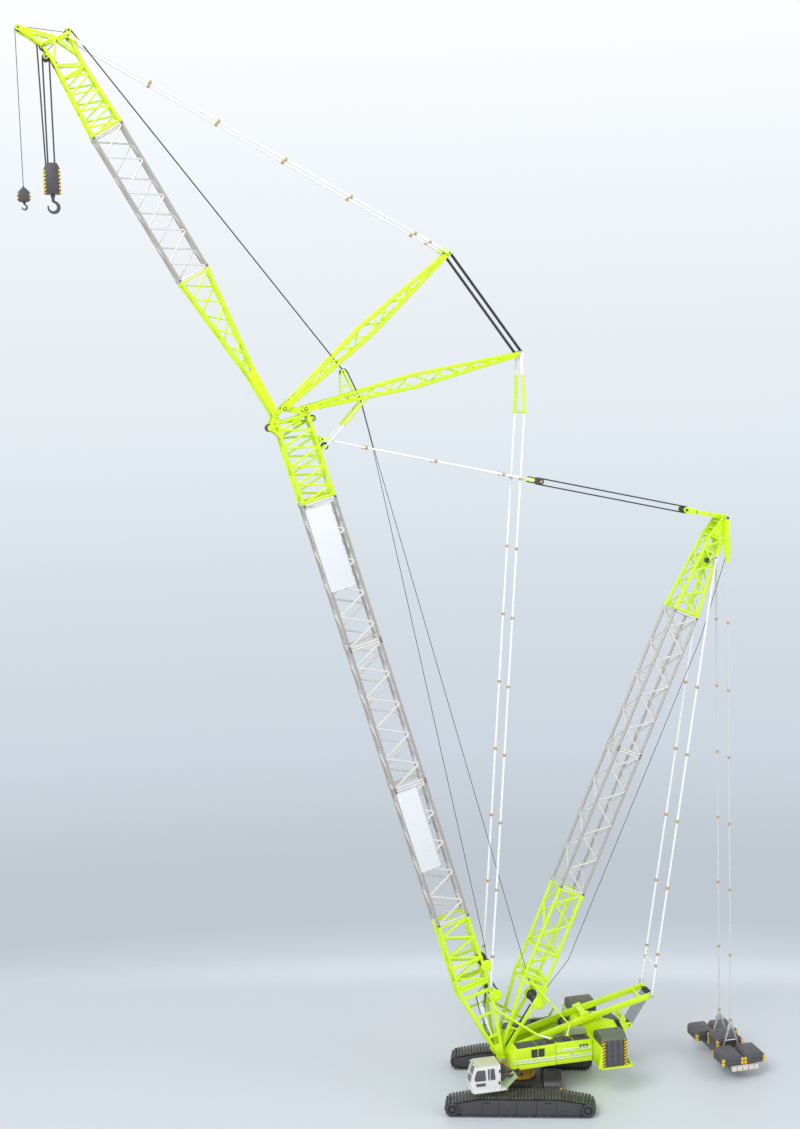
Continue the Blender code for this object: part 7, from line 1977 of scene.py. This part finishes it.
# ------------------------------------------------------------------ hooks and ballast tray
class CRANE_OT_hooks(Operator):
    """The main hook block with its forged hook, and the small auxiliary hook"""

    bl_idname = "crane.hooks"
    bl_label = "Hooks"

    def forged(self, bend, bar, centre, tip):
        """A hook's bent bar that thickens at its back and thins to the tip."""
        points, radii = [], []
        for k in range(19):
            a = radians(108 + (tip - 108) * k / 18)
            points.append((bend * cos(a), 0, centre + bend * sin(a)))
            radii.append(bar * (0.72 + 0.42 * sin(pi * min(1.0, k / 13))
                                - 0.30 * max(0, (k - 13) / 5)))
        return points, radii

    def execute(self, context):
        self.main()
        self.auxiliary()
        return {"FINISHED"}

    def main(self):
        """A block of two cheeks with striped edges, and the forged hook under it."""
        home = stand(HOUSE @ (in_house(JIB, JIB_HOIST_PIN) - Vector((0, 0, MAIN_FALL))))

        def cheek(half, low, shoulder, high, nose, radius, *y):
            outline = [(-half, low), (half, low), (half, shoulder), (nose, high), (-nose, high),
                       (-half, shoulder)]
            return prism(rounded(outline, radius, 4), *y)

        cheeks = both(cheek(10, -19.4, 12.0, 18.9, 6.4, 2.2, 7.5, 8.9),
                      cheek(7.4, -16.0, 9.0, 15.0, 4.6, 2.0, 8.7, 9.25))
        low = [box((-9.6, 9.6), (-8.8, 8.8), (-19.3, -13.6)),
               box((-7.6, 7.6), (-7.6, 7.6), (12.0, 13.6))]
        edges = both(box((-10.05, -8.2), (8.8, 9.3), (-19.0, 10.5)),
                     box((8.2, 10.05), (8.8, 9.3), (-19.0, 10.5)),
                     box((-10.3, -9.9), (6.9, 8.95), (-19.0, 11.5)),
                     box((9.9, 10.3), (6.9, 8.95), (-19.0, 11.5)))
        bolts = both_spots([((x, 9.35, z), (0, 1, 0), 0.6, 0.6) for x in (-5, 5) for z in (-13, 7)]
                           + [((0, 9.4, 0), (0, 1, 0), 2.4, 0.9)])
        piece("hook_block_plates", "hook_block_body", home,
              [solid_part("dark", cheeks, 0.2), solid_part("dark", low, 0.4),
               solid_part("hazard", edges, 0.12),
               solid_part("black", [grooved_sheaves(0, 0, 6.0, 5.2, 4, 1.4, 9.5)]),
               stud_part("dark", bolts, 14)], ["hook_block"])
        bend, centre = 6.6, -35.8
        points, radii = self.forged(bend, 2.1, centre, 378)
        neck = turned([(1.6, -13.2), (3.0, -13.0), (3.0, -11.6), (1.6, -11.4)], (0, 0, 0), "Z", 18)
        shank = turned([(1.75, -13.2), (1.75, -20.0), (2.9, -20.4), (2.9, -23.0), (2.0, -24.0),
                        (2.2, centre + bend + 0.4)], (0, 0, 0), "Z", 18)
        nose = ([points[0], (0.0, 0, centre + bend + 1.2)], 1.7)
        latch = ([(2.0, 0, centre + bend - 1.2), (5.4, 0, centre + 3.4)], 0.45)
        piece("main_hook_forging", "hook", home,
              [tube_part("dark", [(points, radii), nose], 16), solid_part("dark", [neck, shank]),
               tube_part("steel", [latch], 8)], ["main_hook"])

    def auxiliary(self):
        """A small weighted body with striped edges and its hook."""
        tip = in_house(JIB, JIB_TIP_PIN)
        home = stand(HOUSE @ Vector((tip.x + 4.0, 0, tip.z - AUX_FALL)))
        outline = rounded([(-8.2, -15.4), (-5.4, -17.9), (5.4, -17.9), (8.2, -15.4), (8.2, -7.2),
                           (1.8, -0.5), (-1.8, -0.5), (-8.2, -7.2)], 1.6, 4)
        bands = [box(ends, (-6.5, 6.5), (-15.0, -7.6)) for ends in ((-8.35, -6.6), (6.6, 8.35))]
        points, radii = self.forged(3.1, 1.2, -24.6, 372)
        neck = ([points[0], (0, 0, -20.6), (0, 0, -17.0)], 1.15)
        collar = turned([(1.8, -17.8), (2.0, -18.4), (1.6, -20.2)], (0, 0, 0), "Z", 16)
        socket = turned([(1.5, -1.4), (1.4, -0.2), (0.9, 1.6)], (0, 0, 0), "Z", 14)
        piece("aux_hook_ball", "aux_hook_body", home,
              [solid_part("dark", [prism(outline, -6.3, 6.3)], 0.7),
               solid_part("hazard", bands, 0.2), tube_part("dark", [(points, radii), neck], 14),
               solid_part("dark", [collar, socket])],
              ["aux_hook"])


TRAY_TOP = 23.9


class CRANE_OT_tray(Operator):
    """The hanging ballast tray: pendants, spreader legs, beams and stepped weights"""

    bl_idname = "crane.tray"
    bl_label = "Ballast tray"

    def execute(self, context):
        rod = sizes().stay / MM * 0.8
        pin = in_house(MAST, MAST_TIP)
        x, drop = pin.x, pin.z
        apex, y = 70.2, 20.05

        def tapered(places, radius, steps, *thick):
            """Plates left and right, through (half width, height) places down one side."""
            outline = [(x - w, z) for w, z in places[:1]] + [(x + w, z) for w, z in places]
            outline += [(x - w, z) for w, z in reversed(places[1:])]
            return both(prism(rounded(outline, radius, steps) if radius else outline, *thick))

        runs = [([(x, side * y, drop - 62.0), (x, side * y, apex - 1.0)], rod) for side in (-1, 1)]
        links = [((x, side * y, drop - d), (0, 0, 1), rod * 1.75, 3.4)
                 for side in (-1, 1) for d in range(150, 740, 98)]
        plates = tapered([(3.4, drop + 1.5), (3.6, drop - 20.0), (2.6, drop - 64.0)], 1.8, 4,
                         19.0, 21.2)
        plates += tapered([(5.0, drop - 26.0), (5.2, drop - 52.0)], 1.6, 3, 17.8, 19.0)
        gussets = tapered([(1.2, apex + 2.2), (6.4, apex - 10.5)], 0, 0, 19.4, 20.8)
        legs = both_runs(*(([(x + w, y, TRAY_TOP + 1.0), (x + w, y, TRAY_TOP + 5.0),
                             (x, y, apex)], 1.45) for w in (-13.0, 13.0)),
                         ([(x - 7.6, y, 42.5), (x + 7.6, y, 42.5)], 1.0))
        legs.append(([(x, -20.6, apex - 1.4), (x, 20.6, apex - 1.4)], 1.1))
        caps = flank_studs([(x, drop)], 21.0, 2.8, 1.6)
        caps += flank_studs([(x, apex - 1.4)], 20.9, 2.6, 2.6)
        caps += flank_studs([(x + w, TRAY_TOP + 3.2) for w in (-13.0, 13.0)], 20.0, 2.0, 4.0)
        piece("tray_pendants", "tray", HOUSE,
              [tube_part("pearl", runs, 12), tube_part("steel", legs, 14),
               solid_part("steel", gussets, 0.2), stud_part("brass", links),
               stud_part("steel", caps, 16), solid_part("lime", plates, 0.25)],
              ["tray_stays"])
        self.beams(x)
        self.stacks(x)
        return {"FINISHED"}

    def block(self, x, half, low, shoulder, high, slope, radius, *y):
        """A weight with chamfered upper edges, about a middle."""
        a, b = x - half, x + half
        return prism(rounded([(a, low), (b, low), (b, shoulder), (b - slope, high),
                              (a + slope, high), (a, shoulder)], radius, 2), *y)

    def beams(self, x):
        """Two long beams with ribbed ends, and the stack in the middle."""
        low, top, far = 17.1, TRAY_TOP, 70.6
        beams = [box((x + a, x + b), (-far + 1.2, far - 1.2), (low + 0.6, top - 0.3))
                 for a, b in ((-18.6, -6.0), (6.0, 18.6))]
        beams.append(box((x - 17.4, x + 17.4), (-66.0, 66.0), (top - 1.4, top - 0.2)))
        ends = both(box((x - 20.0, x + 20.0), (far - 5.4, far), (low, top)))
        seams = both(*(box((x + d - 0.35, x + d + 0.35), (far - 0.3, far + 0.25),
                           (low + 0.2, top - 0.2))
                       for d in (-13.0, -4.5, 4.5, 13.0)))
        centre = self.block(x, 19.8, 23.4, 41.0, 44.9, 4.0, 1.0, -17.4, 17.4)
        lines = [box((x - 20.0, x + 20.0), (-17.6, 17.6), (z, z + 0.5)) for z in (30.4, 36.6)]
        marks = both(*(box(sorted((x + way * 17.0, x + way * 20.15)), (13.4, 17.65), (z, z + 4.6))
                       for way in (-1, 1) for z in (25.4, 31.0, 36.6)))
        knobs = [((x + a, b, 45.0), (0, 0, 1), 1.6, 1.4) for a in (-9, 9) for b in (-9, 9)]
        piece("ballast_tray_beams", "tray", HOUSE,
              [solid_part("weight", beams, 0.5), solid_part("cream", ends, 0.5),
               solid_part("dark", seams, 0.1), solid_part("weight", [centre], 0.7),
               solid_part("black", lines, 0.1), solid_part("yellow", marks, 0.2),
               stud_part("weight", knobs, 14)], ["ballast_tray"])

    def stacks(self, x):
        """Two chamfered stacks at each end, with yellow corners."""
        inner, outer = 28.6, 65.4
        blocks, lips, marks = [], [], []
        for middle in (x - 16.9, x + 16.9):
            a, b = middle - 16.0, middle + 16.0
            blocks.append(self.block(middle, 16.0, 24.4, 34.6, 39.1, 4.2, 0.8, inner, outer))
            lips.append(box((a - 0.1, b + 0.1), (inner - 0.1, outer + 0.1), (30.6, 31.1)))
            marks += [box(xx, yy, (z, z + 4.4)) for z in (24.7, 30.0)
                      for xx in ((a - 0.2, a + 3.4), (b - 3.4, b + 0.2))
                      for yy in ((inner - 0.2, inner + 3.6), (outer - 3.6, outer + 0.2))]
        knobs = [((x + a, 47.0, 39.2), (0, 0, 1), 1.7, 1.3) for a in (-18, 18)]
        for side, name in ((1, "left"), (-1, "right")):
            parts = [solid_part(finish, on_side(side, solids), bevel) for finish, solids, bevel in
                     (("weight", blocks, 0.6), ("black", lips, 0.1), ("yellow", marks, 0.2))]
            parts.append(stud_part("weight", knobs if side > 0 else other_spots(knobs), 14))
            piece("ballast_slabs_" + name, "tray", HOUSE, parts, ["ballast_" + name])


# ------------------------------------------------------------------ stage
LENS_YAW, LENS_PITCH, LENS_ROLL = radians(-12.91), radians(6.55), radians(-1.68)
FLOOR_FAR = 2.68          # metres from under the lens to the floor's far edge
LENS_SPOT = (0.5079, 2.1668, 1.0240)
LENS_SENSOR, LENS_LENGTH = 36.0, 52.26      # mm
FLOOR_NEAR, FLOOR_HALF = -2.4, 3.2          # from the lens back, and to each side
FLOOR_SKEW = 0.1056                         # slant of the far edge
SKY_SPAN = -0.36, 0.24                      # heights that the gradient runs between
# The gradient: share of that span, colour.
SKY_STOPS = (
    (0.004, (0.68, 0.74, 0.80)), (0.013, (0.74, 0.79, 0.85)), (0.022, (0.69, 0.75, 0.81)),
    (0.036, (0.60, 0.66, 0.72)), (0.063, (0.53, 0.58, 0.64)), (0.128, (0.53, 0.59, 0.645)),
    (0.225, (0.617, 0.679, 0.753)), (0.374, (0.665, 0.73, 0.791)), (0.526, (0.768, 0.831, 0.888)),
    (0.676, (0.831, 0.871, 0.913)), (0.822, (0.896, 0.939, 0.973)), (0.933, (0.98, 0.99, 1.0)))


class CRANE_OT_stage(Operator):
    """Floor, lamps, even pale surroundings and the camera"""

    bl_idname = "crane.stage"
    bl_label = "Stage"

    def execute(self, context):
        scene = context.scene
        scene.view_settings.view_transform = "Standard"
        self.ground(scene)
        self.world(scene)
        self.lamps(scene)
        self.camera(scene)
        return {"FINISHED"}

    def ground(self, scene):
        """A floor whose far edge lies square to the lens, some way behind the crane."""
        eye, look, across, _ = self.lens()
        ahead = Vector((look.x, look.y, 0)).normalized()
        level = Vector((across.x, across.y, 0)).normalized()
        foot = Vector((eye.x, eye.y, 0))
        corners = [foot + ahead * d + level * s
                   for d, s in ((FLOOR_FAR + 0.9, -FLOOR_HALF), (FLOOR_FAR + 0.9, FLOOR_HALF),
                                (FLOOR_NEAR, FLOOR_HALF), (FLOOR_NEAR, -FLOOR_HALF))]
        self.fade(paint("floor"), ahead + level * FLOOR_SKEW, foot)
        mesh = bpy.data.meshes.new("floor")
        mesh.from_pydata([tuple(c) for c in corners], [], [(0, 1, 2, 3)])
        mesh.materials.append(paint("floor"))
        floor = bpy.data.objects.new("studio_floor", mesh)
        scene.collection.objects.link(floor)

    def fade(self, material, way, foot):
        """Lets the floor's far edge melt away along one direction."""
        shader = material.node_tree.nodes["Principled BSDF"]
        far = foot.dot(way) + FLOOR_FAR
        place = node_of(material, "ShaderNodeTexCoord")
        along = node_of(material, "ShaderNodeVectorMath",
                        {0: place.outputs["Object"], 1: tuple(way)}, operation="DOT_PRODUCT")
        share = ranged(material.node_tree, along.outputs["Value"], far - 0.07, far + 0.11,
                       interpolation_type="SMOOTHSTEP")
        clear = node_of(material, "ShaderNodeBsdfTransparent")
        mix = node_of(material, "ShaderNodeMixShader",
                      {0: share, 1: shader.outputs["BSDF"], 2: clear.outputs["BSDF"]})
        out = next(n for n in material.node_tree.nodes if n.type == "OUTPUT_MATERIAL")
        material.node_tree.links.new(mix.outputs["Shader"], out.inputs["Surface"])

    def world(self, scene):
        """A tall pale gradient for camera and reflections, an even light for the rest."""
        world = bpy.data.worlds.new("pale_studio")
        world.use_nodes = True
        scene.world = world
        tree = world.node_tree
        for node in list(tree.nodes):
            tree.nodes.remove(node)
        place = add_node(tree, "ShaderNodeTexCoord")
        axes = add_node(tree, "ShaderNodeSeparateXYZ", {"Vector": place.outputs["Generated"]})
        ramp = add_node(tree, "ShaderNodeValToRGB",
                        {"Fac": ranged(tree, axes.outputs["Z"], *SKY_SPAN)})
        elements = ramp.color_ramp.elements
        while len(elements) < len(SKY_STOPS):
            elements.new(0.5)
        for element, (spot, tone) in zip(elements, SKY_STOPS):
            element.position = spot
            element.color = (*tone, 1.0)
        seen = add_node(tree, "ShaderNodeBackground",
                        {"Color": ramp.outputs["Color"], "Strength": 1.0})
        even = add_node(tree, "ShaderNodeBackground",
                        {"Color": (0.93, 0.96, 1.0, 1.0), "Strength": scene.crane_stage.sky})
        rays = add_node(tree, "ShaderNodeLightPath")
        direct = maths(tree, "MAXIMUM", rays.outputs["Is Camera Ray"],
                       rays.outputs["Is Glossy Ray"])
        shown = maths(tree, "MAXIMUM", direct, rays.outputs["Is Transmission Ray"])
        mix = add_node(tree, "ShaderNodeMixShader", {0: shown, 1: even.outputs["Background"],
                                                     2: seen.outputs["Background"]})
        out = add_node(tree, "ShaderNodeOutputWorld")
        tree.links.new(mix.outputs["Shader"], out.inputs["Surface"])

    def lamps(self, scene):
        for name, spot, aim, power, size in (
                ("key_lamp", (1.6, 2.0, 2.6), (0.0, 0.0, 0.5), scene.crane_stage.key_power, 1.8),
                ("fill_lamp", (-2.2, 1.8, 1.4), (0.0, 0.0, 0.6), scene.crane_stage.fill_power,
                 2.0)):
            data = bpy.data.lights.new(name, "AREA")
            data.energy, data.size = power, size
            lamp = bpy.data.objects.new(name, data)
            lamp.location = spot
            lamp.rotation_euler = (Vector(aim) - Vector(spot)).to_track_quat("-Z", "Y").to_euler()
            scene.collection.objects.link(lamp)

    def lens(self):
        """Where the camera stands, looks, and its right and upward directions."""
        look = Vector((sin(LENS_YAW) * cos(LENS_PITCH), -cos(LENS_YAW) * cos(LENS_PITCH),
                       -sin(LENS_PITCH)))
        right = Vector((-cos(LENS_YAW), -sin(LENS_YAW), 0))
        up = right.cross(look)
        across = cos(LENS_ROLL) * right + sin(LENS_ROLL) * up
        upward = -sin(LENS_ROLL) * right + cos(LENS_ROLL) * up
        return Vector(LENS_SPOT), look, across, upward

    def camera(self, scene):
        eye, look, across, upward = self.lens()
        data = bpy.data.cameras.new("camera")
        data.sensor_width, data.lens = LENS_SENSOR, LENS_LENGTH
        view = bpy.data.objects.new("camera", data)
        turn = Matrix((across, upward, -look)).transposed().to_4x4()
        view.matrix_world = Matrix.Translation(eye) @ turn
        scene.collection.objects.link(view)
        scene.camera = view


# ------------------------------------------------------------------ panel and start
STEPS = (CRANE_OT_crawlers, CRANE_OT_car_body, CRANE_OT_platform, CRANE_OT_machinery, CRANE_OT_cab,
         CRANE_OT_boom, CRANE_OT_mast, CRANE_OT_a_frame, CRANE_OT_jib, CRANE_OT_struts,
         CRANE_OT_stays, CRANE_OT_ropes, CRANE_OT_hooks, CRANE_OT_tray, CRANE_OT_stage)


class CRANE_PT_build(Panel):
    """The crane's groups, its sizes and its colours"""

    bl_label = "Crawler crane"
    bl_space_type = "VIEW_3D"
    bl_region_type = "UI"
    bl_category = "Crane"

    def draw(self, context):
        scene = context.scene
        for settings in (scene.crane_sizes, scene.crane_colours, scene.crane_stage):
            column = self.layout.box().column()
            for key in settings.__annotations__:
                column.prop(settings, key)
        column = self.layout.column(align=True)
        for step in STEPS:
            column.operator(step.bl_idname)


CLASSES = (CraneSizes, CraneColours, StageSettings, *STEPS, CRANE_PT_build)


def register():
    for item in CLASSES:
        bpy.utils.register_class(item)
    bpy.types.Scene.crane_sizes = PointerProperty(type=CraneSizes)
    bpy.types.Scene.crane_colours = PointerProperty(type=CraneColours)
    bpy.types.Scene.crane_stage = PointerProperty(type=StageSettings)


def unregister():
    del bpy.types.Scene.crane_stage, bpy.types.Scene.crane_colours, bpy.types.Scene.crane_sizes
    for item in reversed(CLASSES):
        bpy.utils.unregister_class(item)


def main():
    register()
    for step in STEPS:
        group, action = step.bl_idname.split(".")
        getattr(getattr(bpy.ops, group), action)()


if __name__ == "__main__":
    main()
